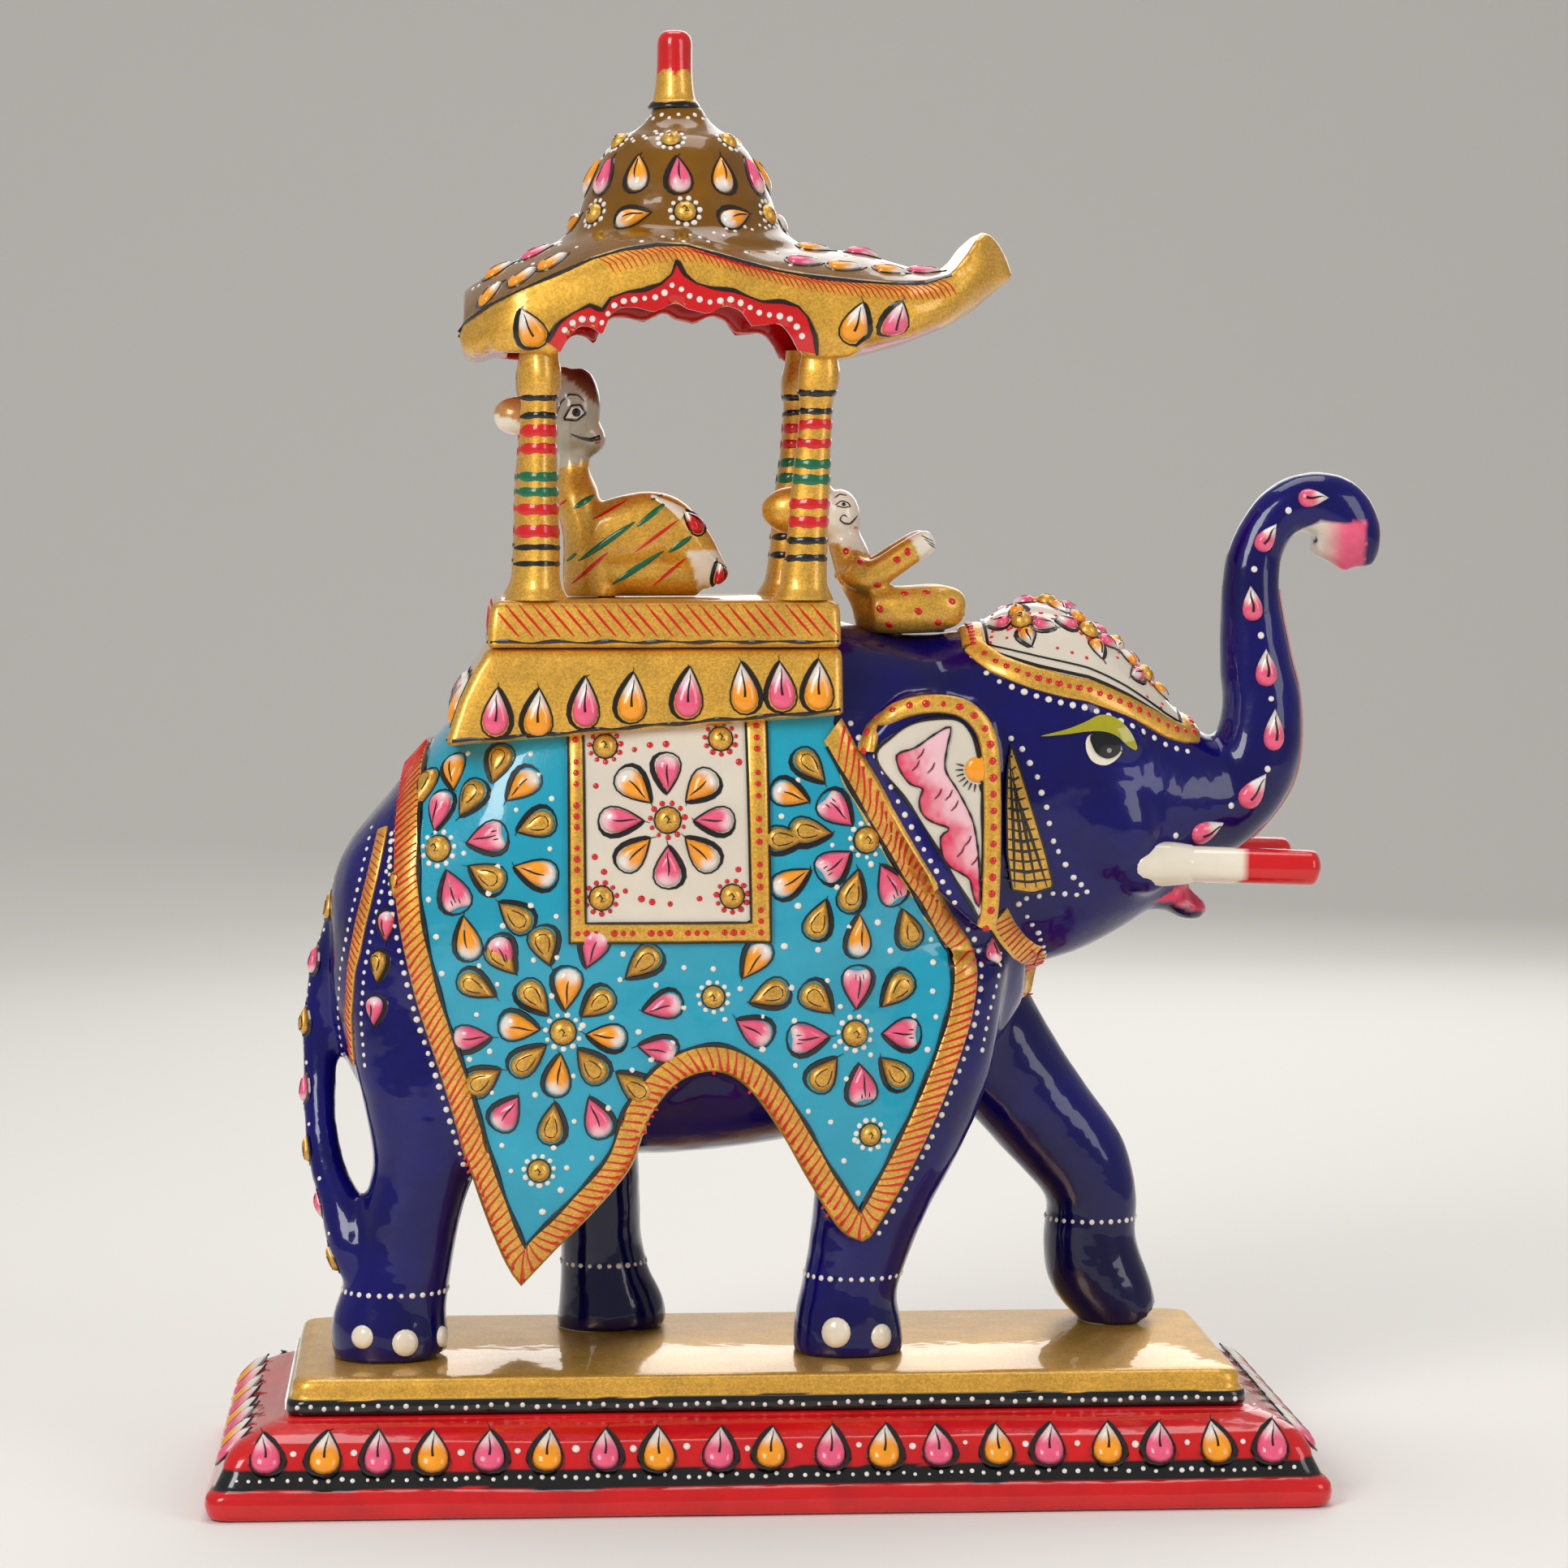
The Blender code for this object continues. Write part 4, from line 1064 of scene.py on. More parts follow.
FLOWER_A = (-34.3, 78.5)
FLOWER_B = (15.1, 77.7)
FLOWER_C = (17.0, 110.6)
FLOWER_D = (-55.0, 109.2)
PANEL_CENTRE = (-16.6, 114.2)
SCATTER = [
    # x, z, where the point looks, kind, tulip
    (-1.9, 90.4, 215, "orange", False), (0.4, 84.6, 250, "gold", False), (-2.2, 78.6, 300, "pink", False),
    (7.7, 123.0, 140, "gold", False), (4.2, 118.3, 110, "orange", False), (7.6, 112.2, 95, "gold", False),
    (3.4, 111.0, 90, "gold", False), (4.3, 104.0, 60, "orange", False), (8.9, 97.4, 20, "gold", False),
    (15.8, 94.4, 0, "orange", False), (24.4, 95.4, 340, "gold", False),
    (-49.6, 117.6, 205, "gold", False), (-57.0, 119.0, 170, "gold", False), (-52.2, 121.8, 160, "orange", False),
    (-44.8, 123.4, 190, "gold", False), (-41.0, 119.8, 225, "orange", False), (-38.8, 113.4, 250, "gold", False),
    (-38.9, 105.6, 285, "orange", False), (-42.4, 98.2, 310, "gold", False), (-50.2, 94.4, 350, "orange", False),
    (-37.4, 93.0, 165, "gold", False), (-44.3, 91.6, 155, "pink", False),
]


def build_flank_ornament(side, tag, lines, dots):
    drops = Piece()
    bosses = Piece()
    parts = (drops, lines, dots, bosses)
    kinds_a = ("orange", "gold", "orange", "gold")
    add_flower(parts, FLOWER_A, side, petals(8, 6.0, 7.3, kinds_a), [
        (20, 15.0, "pink", False), (49, 17.6, "gold", False), (76, 17.2, "pink", False), (101, 16.2, "pink", False),
        (128, 15.0, "gold", False), (159, 15.6, "pink", False), (187, 15.6, "gold", False),
        (214, 16.6, "pink", False), (238, 15.6, "gold", False), (266, 15.2, "pink", False),
        (298, 16.2, "gold", False), (321, 16.0, "gold", False),
    ])
    add_flower(parts, FLOWER_B, side, [
        (2, 7.8, "pink", True), (46, 10.0, "gold", False), (92, 8.0, "pink", True), (134, 9.6, "gold", False),
        (172, 8.8, "pink", True), (217, 8.4, "gold", False), (266, 7.8, "pink", True), (313, 8.6, "gold", False),
    ], [])
    add_flower(parts, FLOWER_C, side, [
        (315, 7.0, "pink", True), (234, 6.6, "pink", True), (152, 8.6, "pink", True), (196, 8.8, "gold", False),
    ], [])
    add_flower(parts, FLOWER_D, side, [
        (2, 6.2, "pink", False), (76, 8.2, "pink", True), (160, 7.4, "pink", True), (118, 9.0, "gold", False),
    ], [])
    for x, z, angle, kind, tulip in SCATTER:
        put_drop(parts, x, z, angle, kind, side, tulip)
    for x, z in ((-38.4, 54.8), (17.9, 60.2), (-8.9, 84.3)):
        point, normal = BODY.side(x, z, side)
        add_button(bosses, dots, lines, Spot(BODY, point, normal, lift=BLANKET_DEPTH), radius=1.9)
    build_panel(side, tag, parts)
    scatter_dots(side, dots, parts)
    drops.finish("blanket_drops_" + tag, ENAMEL["drops"], "pink_paint", angle=60)
    bosses.finish("blanket_gilt_drops_" + tag, ENAMEL["gold"], "gold_paint", angle=60)
    lines.finish("blanket_brushwork_" + tag, ENAMEL["lines"], "black_paint")
    dots.finish("blanket_dots_" + tag, ENAMEL["dots"], "ivory_lacquer", angle=60)


def scatter_dots(side, dots, parts):
    """White dabs wherever the turquoise shows between the ornaments."""
    taken = [Vector((v.x, v.z)) for piece in (parts[0], parts[3]) for v in piece.verts[::7]]
    outline = [Vector(p) for p in INNER]
    placed = []
    for _ in range(900):
        spot = Vector((RNG.uniform(-60.0, 34.0), RNG.uniform(42.0, 126.0)))
        if not inside(outline + [Vector((-5.0, 134.0)), Vector((-53.0, 128.0))], spot, 1.0):
            continue
        if -35.0 < spot.x < 2.4 and spot.y > 92.0:
            continue
        if any((spot - t).length < 1.5 for t in taken) or any((spot - t).length < 3.6 for t in placed):
            continue
        placed.append(spot)
        point, normal = BODY.side(spot.x, spot.y, side)
        add_dot(dots, point, normal, 0.55, WHITE, lift=BLANKET_DEPTH)


def build_panel(side, tag, parts):
    """White square with a gold frame, a flower and four corner bosses."""
    drops, lines, dots, bosses = parts
    left_x, right_x = -33.2, 0.8
    low_z = 93.6
    frame_width = 3.4

    def top_z(x):
        return 128.6 + 2.6 * (x - left_x) / (right_x - left_x)

    corners = [(left_x, low_z), (right_x, low_z), (right_x - 0.6, top_z(right_x) + 2.4), (left_x, top_z(left_x) + 2.4)]
    inner = [(left_x + frame_width - 0.6, low_z + frame_width), (right_x - frame_width, low_z + frame_width),
             (right_x - frame_width - 0.8, top_z(right_x) + 2.2), (left_x + frame_width - 0.8, top_z(left_x) + 2.2)]

    def place(x, z):
        return BODY.side(x, z, side)

    def outlined(points):
        return [tuple(p) for p in even_path(list(points) + [points[0]], 1.5)[:-1]]

    white = Piece()
    verts, faces = sheet(outlined(inner), 1.7, place, BLANKET_DEPTH + 0.35, 0.4)
    white.add(verts, faces, CREAM)
    white.finish("blanket_panel_" + tag, ENAMEL["cream"], "ivory_lacquer")

    gilt = Piece()
    path = [corners[3], corners[0], corners[1], corners[2]]
    path_in = [inner[3], inner[0], inner[1], inner[2]]
    rings = []
    spots = []
    for a, b, c, d in zip(path, path[1:], path_in, path_in[1:]):
        count = 20
        for k in range(count + 1):
            outer = Vector(a).lerp(Vector(b), k / count)
            inner_point = Vector(c).lerp(Vector(d), k / count)
            if k == count and a is not path[2]:
                continue
            rings.append(frame_ring(outer, inner_point, place))
            spots.append((outer, inner_point))
    verts, faces = loft(rings)
    gilt.add(verts, faces, GOLD)
    gilt.finish("blanket_panel_frame_" + tag, ENAMEL["gold"], "gold_paint")

    for edge in (0, 1):
        line = []
        for outer, inner_point in spots[::2]:
            point, normal = place(*(inner_point if edge else outer))
            line.append((point + normal * (BLANKET_DEPTH + 0.25), normal))
        add_ribbon(lines, line, 0.26, 0.5, BLACK)
    for k, (outer, inner_point) in enumerate(spots):
        if k % 4 != 3:
            mid = outer.lerp(inner_point, 0.5)
            point, normal = place(*mid)
            add_dot(dots, point, normal, 0.56, RED, lift=BLANKET_DEPTH + 0.72)

    lift = BLANKET_DEPTH + 0.35
    kinds = ("pink", "orange")
    add_flower((drops, lines, dots, bosses), PANEL_CENTRE, side, petals(8, 0.0, 7.7, kinds), [], lift=lift,
               ring_tint=RED)
    for x, z in ((-27.0, 126.4), (-7.6, 127.6), (-27.8, 101.2), (-5.8, 101.4)):
        point, normal = place(x, z)
        add_button(bosses, dots, lines, Spot(BODY, point, normal, lift=lift), radius=2.0, ring_tint=RED)
    for k in range(30):
        angle = k * 2.4
        distance = 12.4 + 3.6 * ((k * 0.618) % 1.0)
        x = PANEL_CENTRE[0] - 0.2 + distance * math.sin(angle)
        z = PANEL_CENTRE[1] + 0.2 + distance * math.cos(angle)
        corner = min((Vector((x, z)) - Vector(c)).length for c in
                     ((-27.0, 126.4), (-7.6, 127.6), (-27.8, 101.2), (-5.8, 101.4)))
        if abs(x - PANEL_CENTRE[0]) < 12.6 and abs(z - PANEL_CENTRE[1]) < 14.6 and corner > 3.8:
            point, normal = place(x, z)
            add_dot(dots, point, normal, 0.58, RED, lift=lift)


def frame_ring(outer, inner_point, place):
    ring = []
    for share, height in ((0.0, -0.4), (0.0, 0.85), (0.15, 1.15), (0.5, 1.2), (0.85, 1.15), (1.0, 0.85), (1.0, -0.4)):
        spot = outer.lerp(inner_point, share)
        point, normal = place(spot.x, spot.y)
        ring.append(point + normal * height)
    return ring


for flank, flank_tag in ((RIGHT, "right"), (LEFT, "left")):
    flank_lines, flank_dots = build_blanket(flank, flank_tag)
    build_flank_ornament(flank, flank_tag, flank_lines, flank_dots)


# ---------------------------------------------------------------- head ornament

def along_body(points, side, spacing=1.2, height=0.0):
    """Even path of (point, normal) over the body through side-view points (x, z)."""
    out = []
    for spot in even_path(points, spacing):
        point, normal = BODY.side(spot.x, spot.y, side)
        out.append((point + normal * height, normal))
    return out


def add_band(piece, path, width, height, tint):
    """Raised flat band of paint over a path of (point, normal)."""
    rings = []
    last = len(path) - 1
    for i, (point, normal) in enumerate(path):
        ahead = path[min(i + 1, last)][0] - path[max(i - 1, 0)][0]
        across = normal.cross(ahead).normalized()
        ring = []
        for share, level in ((-0.5, -0.6), (-0.5, 0.5), (-0.38, 0.9), (0.0, 1.0), (0.38, 0.9), (0.5, 0.5), (0.5, -0.6)):
            ring.append(point + across * (share * width) + normal * (level * height))
        rings.append(ring)
    verts, faces = loft(rings)
    piece.add(verts, faces, tint)


def smooth_outline(points, steps=6):
    return [(p[0], p[1]) for p in spline(points, steps, closed=True)]


EAR_RIM = [(17.2, 125.7), (18.4, 129.5), (22.2, 132.4), (27.8, 133.7), (33.2, 133.0), (36.6, 130.0), (37.9, 126.0),
           (38.3, 118.7), (38.3, 109.3), (38.0, 99.6), (37.4, 96.0)]
EAR_FIELD = [(18.8, 124.4), (21.4, 128.2), (26.0, 130.8), (31.8, 131.2), (34.6, 129.0), (36.0, 125.0), (36.6, 118.8),
             (36.7, 109.3), (36.6, 98.0), (34.4, 100.4), (30.0, 107.6), (24.6, 116.4)]
EAR_FLAME = [
    (22.2, 125.1), (25.3, 126.3), (28.5, 128.5), (31.3, 129.8), (30.7, 126.3), (30.4, 122.6), (32.3, 119.4),
    (34.0, 116.3), (35.2, 113.4), (35.9, 109.3), (36.2, 104.9), (36.3, 99.4), (35.2, 101.2), (34.6, 103.9),
    (33.2, 105.0), (31.2, 106.2), (29.9, 108.3), (29.7, 111.2), (31.2, 112.6), (28.5, 113.6), (26.6, 115.0),
    (26.0, 117.4), (26.6, 119.4), (24.6, 120.1), (22.9, 122.2),
]
EAR_SCALLOPS = ((22.2, 125.1), (22.9, 122.2), (24.6, 120.1), (26.6, 119.4), (26.0, 117.4), (26.6, 115.0), (28.5, 113.6),
                (31.2, 112.6), (29.7, 111.2), (29.9, 108.3), (31.2, 106.2), (33.2, 105.0), (35.0, 103.9), (35.6, 101.2),
                (36.7, 99.0))
EAR_SUN = (35.9, 122.6)


def build_ear(side, tag):
    def place(x, z):
        return BODY.side(x, z, side)

    field = Piece()
    outline = [tuple(p) for p in even_path(smooth_outline(EAR_FIELD), 1.1)[:-1]]
    verts, faces = sheet(outline, 1.3, place, 0.4, 0.6)
    field.add(verts, faces, CREAM)
    outline = [tuple(p) for p in even_path(smooth_outline(EAR_FLAME, 4), 0.7)[:-1]]
    verts, faces = sheet(outline, 0.8, place, 0.62, 0.1)
    tints = []
    for v in verts:
        across = v.x - interpolate([(-z, x) for x, z in EAR_SCALLOPS], -v.z)
        fade = across / 5.5 + 0.35 * noise.noise(Vector((v.x, v.z, 3.0)) * 1.1)
        tints.append(mix(paint(226, 34, 84), PINK_PALE, fade))
    field.add(verts, faces, tints)
    field.finish("ear_field_" + tag, ENAMEL["cream"], "ivory_lacquer")

    gilt = Piece()
    dots = Piece()
    lines = Piece()
    rim = along_body([p for p in spline(EAR_RIM, 6)], side, 1.1)
    add_band(gilt, rim, 3.1, 0.95, GOLD)
    for point, normal in along_body([p for p in spline(EAR_RIM, 6)], side, 2.75):
        add_dot(dots, point, normal, 0.66, RED, lift=0.9)
    inner = along_body(smooth_outline(EAR_FIELD) + [EAR_FIELD[0]], side, 1.0, 0.42)
    add_ribbon(lines, inner, [0.3 + 0.1 * math.sin(k * 0.6) for k in range(len(inner))], 0.25, BLACK)
    flame = along_body(smooth_outline(EAR_FLAME, 4) + [EAR_FLAME[0]], side, 0.8, 0.62)
    add_ribbon(lines, flame, [0.14 + 0.12 * math.sin(k * 0.9) ** 2 for k in range(len(flame))], 0.2, BLACK)
    for x, z in ((25.6, 124.4), (27.4, 122.0), (24.8, 122.4), (28.6, 117.6), (31.4, 115.6), (30.4, 117.4), (33.6, 109.6),
                 (32.4, 107.8), (34.8, 106.4), (36.0, 103.4)):
        vein = along_body([(x, z), (x + 0.9, z + 0.9), (x + 1.2, z + 1.8)], side, 0.5, 0.66)
        add_ribbon(lines, vein, brush(len(vein), 0.2), 0.12, paint(120, 6, 40))
    point, normal = place(*EAR_SUN)
    spot = Spot(BODY, point, normal, lift=0.4)
    add_dome(dots, spot, 2.3, 0.5, ORANGE, sides=20)
    for k in range(11):
        turn = math.radians(75 + 160 * k / 10) * -1
        u, v = math.sin(turn), math.cos(turn)
        u = u if side == RIGHT else -u
        lash = [(spot.at(u * r, v * r, 0.1), normal) for r in (2.5, 3.1, 3.8)]
        add_ribbon(lines, lash, [0.2, 0.16, 0.05], 0.15, BLACK)
    gilt.finish("ear_rim_" + tag, ENAMEL["gold"], "gold_paint")
    lines.finish("ear_brushwork_" + tag, ENAMEL["lines"], "black_paint")
    dots.finish("ear_dots_" + tag, ENAMEL["dots"], "red_lacquer", angle=60)


STRAP_RUN = [(40.6, 96.6), (42.4, 93.6), (44.6, 91.2), (46.6, 89.6), (48.2, 88.8)]


def build_tassel(side, tag):
    """Gold fringe hanging in front of the ear, and the strap under the jaw."""
    def place(x, z):
        return BODY.side(x, z, side)

    gilt = Piece()
    lines = Piece()
    outline = [(42.6, 126.2), (44.4, 121.0), (46.6, 114.0), (48.8, 107.0), (50.2, 101.8), (46.6, 100.8), (43.0, 101.4),
               (41.8, 108.0), (41.6, 116.0), (41.8, 122.0)]
    dense = [tuple(p) for p in even_path(outline + [outline[0]], 1.2)[:-1]]
    verts, faces = sheet(dense, 1.4, place, 0.7, 0.4)
    gilt.add(verts, faces, GOLD)
    rim = along_body(outline + [outline[0]], side, 1.0, 0.6)
    add_ribbon(lines, rim, 0.22, 0.3, BLACK)
    for k in range(13):
        z = 103.2 + 1.75 * k
        low_x, high_x = 41.9, 50.4 - 0.33 * (z - 101.0)
        row = along_body([(low_x, z), ((low_x + high_x) / 2, z - 0.5), (high_x, z)], side, 0.9, 0.68)
        add_ribbon(lines, row, brush(len(row), 0.34 + 0.08 * math.sin(k * 2.1)), 0.16, BLACK)
    for k in range(4):
        bottom = 43.4 + 1.9 * k
        row = along_body([(bottom, 101.8), (42.3 + 0.45 * k, 124.0 - 2.2 * k)], side, 1.2, 0.68)
        add_ribbon(lines, row, brush(len(row), 0.36), 0.17, BLACK)
    strap = along_body(STRAP_RUN, side, 1.0)
    for y in (8.5, 7.0, 5.5, 4.0, 2.0, 0.0):
        under = BODY.ray(Vector((48.0, side * y, 80.0)), Vector((0, 0, 1)))
        if under and under[0].z < 92.0:
            strap.append(under)
    add_band(gilt, strap, 5.0, 0.7, GOLD)
    last = len(strap) - 1
    for k in range(1, last):
        point, normal = strap[k]
        ahead = (strap[min(k + 1, last)][0] - strap[k - 1][0]).normalized()
        across = normal.cross(ahead)
        stroke = [(point + across * w + ahead * w * 0.4 + normal * 0.68, normal) for w in (-1.9, 0.0, 1.9)]
        add_ribbon(lines, stroke, [0.12, 0.22, 0.12], 0.15, RED)
    gilt.finish("tassel_" + tag, ENAMEL["gold"], "gold_paint")
    lines.finish("tassel_brushwork_" + tag, ENAMEL["lines"], "black_paint")


BROW = [(47.7, 127.6), (52.1, 128.7), (55.4, 129.9), (58.2, 131.0), (61.0, 130.3), (63.3, 128.0), (64.4, 125.3),
        (62.8, 125.9), (61.0, 127.5), (58.7, 128.3), (55.4, 128.3), (52.1, 127.9)]
EYE = [(55.6, 126.4), (56.3, 127.8), (58.7, 127.9), (61.0, 126.8), (61.9, 125.2), (60.8, 123.5), (59.0, 122.6),
       (57.0, 123.1), (55.9, 124.6)]
IRIS = [(56.4, 127.7), (58.7, 128.2), (61.0, 127.2), (61.6, 125.6), (60.9, 124.4), (59.3, 123.8), (57.6, 124.5),
        (56.7, 126.0)]


def build_eye(side, tag):
    eye = Piece()

    def place(x, z):
        return BODY.side(x, z, side)

    def lay(outline, spacing, height, tint):
        dense = [tuple(p) for p in even_path(smooth_outline(outline, 4), spacing)[:-1]]
        verts, faces = sheet(dense, spacing, place, height, 0.3)
        eye.add(verts, faces, tint)

    lay(EYE, 0.5, 0.22, IVORY)
    lay(BROW, 0.6, 0.62, OLIVE)
    lay(IRIS, 0.5, 0.5, BLACK)
    # A grey dab on the black iris: a painted highlight.
    point, normal = place(59.6, 125.2)
    add_dome(eye, Spot(BODY, point, normal, lift=0.42), 0.5, 0.16, mix(BLACK, WHITE, 0.35), sides=10)
    corner = along_body([(61.6, 125.2), (63.0, 124.4)], side, 0.5, 0.1)
    add_ribbon(eye, corner, brush(len(corner), 0.25), 0.22, BLACK)
    eye.finish("eye_" + tag, ENAMEL["dots"], "ivory_lacquer", angle=60)


CROWN_DEPTH = 14.0
CROWN_FRONT = 75.4
CROWN_LOW = [(36.6, 144.8), (37.3, 142.4), (40.8, 139.9), (44.6, 138.3), (47.8, 137.2), (52.5, 136.0), (56.2, 135.3),
             (59.9, 133.9), (63.7, 132.3), (67.4, 130.4), (70.7, 128.5), (73.5, 127.6), (75.9, 127.2)]
CROWN_TOP = [(36.0, 146.0), (38.1, 147.0), (42.2, 149.5), (46.2, 150.5), (55.3, 149.2), (61.1, 144.8), (65.7, 140.6),
             (70.3, 135.2), (74.4, 131.3), (78.0, 128.0)]


def on_crown(x, share):
    """Point and normal over the forehead: share runs from -1 (right lower edge) through 0 (top) to 1 (left)."""
    side = RIGHT if share <= 0 else LEFT
    low, _ = BODY.side(x, interpolate(CROWN_LOW, x), side)
    centre = Vector((x, 0, low.z - CROWN_DEPTH))
    edge = math.atan2(CROWN_DEPTH, abs(low.y))
    angle = math.pi / 2 - (math.pi / 2 - edge) * abs(share)
    out = Vector((0, side * math.cos(angle), math.sin(angle)))
    reach = interpolate(CROWN_TOP, x) - centre.z + 4.0
    return BODY.ray(centre + out * reach, -out) or BODY.near(centre + out * (reach - 4.0))


CROWN_FLOWERS = [
    # x, share across, turn of the petals in degrees
    (45.6, -0.42, 70), (57.0, -0.36, 110), (67.2, -0.28, 90), (45.6, 0.42, 70), (57.0, 0.36, 110), (67.2, 0.28, 90),
    (50.8, 0.0, 0), (62.6, 0.0, 30),
]


def build_crown():
    """Painted cloth over the forehead: cream, gold edge with red dots, raised flowers."""
    field = Piece()
    gilt = Piece()
    dots = Piece()
    lines = Piece()
    drops = Piece()
    columns = 40
    rows = 28
    top = []
    bottom = []
    for i in range(columns + 1):
        x = 37.4 + (CROWN_FRONT - 37.6) * i / columns
        for j in range(rows + 1):
            point, normal = on_crown(x, -0.97 + 1.94 * j / rows)
            top.append(point + normal * 0.45)
            bottom.append(point - normal * 0.4)
    count = len(top)
    faces = []
    for i in range(columns):
        for j in range(rows):
            a = i * (rows + 1) + j
            faces.append((a, a + 1, a + rows + 2, a + rows + 1))
            faces.append((a + rows + 1 + count, a + rows + 2 + count, a + 1 + count, a + count))
    rim = list(range(rows + 1)) + [i * (rows + 1) + rows for i in range(1, columns + 1)]
    rim += [columns * (rows + 1) + j for j in range(rows - 1, -1, -1)]
    rim += [i * (rows + 1) for i in range(columns - 1, 0, -1)]
    for a, b in zip(rim, rim[1:] + rim[:1]):
        faces.append((b, a, a + count, b + count))
    field.add(top + bottom, faces, CREAM)
    field.finish("crown_cloth", ENAMEL["cream"], "ivory_lacquer")

    loop = [(37.2, share / 8) for share in range(-8, 9)]
    loop += [(37.2 + (CROWN_FRONT - 37.2) * k / 22, 1.0) for k in range(1, 23)]
    loop += [(CROWN_FRONT, share / 4) for share in range(3, -5, -1)]
    loop += [(37.2 + (CROWN_FRONT - 37.2) * k / 22, -1.0) for k in range(21, -1, -1)]
    edge = [on_crown(x, share) for x, share in loop]
    add_band(gilt, edge, 4.0, 0.85, GOLD)
    for k in range(0, len(edge) - 1):
        if (edge[k + 1][0] - edge[k][0]).length > 1.2 or k % 2 == 0:
            add_dot(dots, edge[k][0], edge[k][1], 0.62, RED, lift=0.8)
    for inset_share, half in ((0.87, 0.38), (0.78, 0.2)):
        inner = [on_crown(min(max(x, 39.6), CROWN_FRONT - 2.2), share * inset_share) for x, share in loop]
        add_ribbon(lines, [(p + n * 0.45, n) for p, n in inner], half, 0.25, BLACK)
    for side in (RIGHT, LEFT):
        for k in range(19):
            x = 36.8 + 37.6 * k / 18
            low, normal = BODY.side(x, interpolate(CROWN_LOW, x) - 2.9, side)
            add_dot(dots, low, normal, 0.58, WHITE)
    up = Vector((0.3, 0, 1))
    for x, share, turn_by in CROWN_FLOWERS:
        point, normal = on_crown(x, share)
        spot = Spot(BODY, point, normal, 0.0, up=up, lift=0.45)
        add_button(drops, dots, lines, spot, radius=1.8, ring_tint=RED, ring=9, height=1.5)
        for angle, kind in ((turn_by, "rose"), (turn_by + 62, "amber"), (turn_by + 180, "rose"), (turn_by + 242, "amber")):
            turn = math.radians(angle)
            petal_point = spot.at(4.3 * math.sin(turn), 4.3 * math.cos(turn), -0.45)
            petal = Spot(BODY, petal_point, normal, angle, up=up, lift=0.45)
            add_drop(drops, lines, petal, kind, 2.5, 4.0, 1.1)
    for k in range(80):
        x = 40.0 + 32.0 * ((k * 0.618) % 1.0)
        share = -0.74 + 1.48 * ((k * 0.414) % 1.0)
        if min(abs(x - f[0]) + 14 * abs(share - f[1]) for f in CROWN_FLOWERS) > 3.6:
            point, normal = on_crown(x, share)
            add_dot(dots, point, normal, 0.38, RED, lift=0.45)
    gilt.finish("crown_border", ENAMEL["gold"], "gold_paint")
    drops.finish("crown_flowers", ENAMEL["drops"], "gold_paint", angle=60)
    lines.finish("crown_brushwork", ENAMEL["lines"], "black_paint")
    dots.finish("crown_dots", ENAMEL["dots"], "red_lacquer", angle=60)


TRUNK_MARKS = [
    # x, z, where the point looks, kind, share of the full size
    (97.0, 168.4, 90, "bloom", 0.85), (88.9, 161.6, 35, "bloom", 0.95), (86.2, 150.1, 355, "bloom", 0.95),
    (88.6, 138.9, 0, "bloom", 1.1), (89.9, 128.1, 3, "bloom", 1.1), (86.4, 117.6, 35, "bloom", 1.1),
    (77.9, 110.8, 66, "bloom", 1.1),
]
TRUNK_DOTS = [(87.7, 144.5), (89.4, 133.5), (88.7, 121.3), (82.2, 115.0), (72.0, 110.1), (86.6, 156.0), (92.6, 166.2)]
JAW_DOTS = [
    (42.7, 127.3), (44.6, 125.5), (45.9, 123.1), (47.2, 120.7), (47.9, 118.0), (48.8, 115.5), (49.3, 112.7),
    (50.1, 109.6), (51.0, 107.8), (52.3, 105.5), (53.8, 103.2), (55.2, 101.9), (56.3, 100.6), (54.5, 100.1),
    (52.4, 100.3), (50.3, 100.4), (47.9, 100.0), (45.7, 99.6), (44.4, 98.6), (46.0, 96.3), (47.0, 94.8),
    (48.2, 93.3), (48.7, 92.0), (49.4, 90.6), (49.6, 89.5),
]


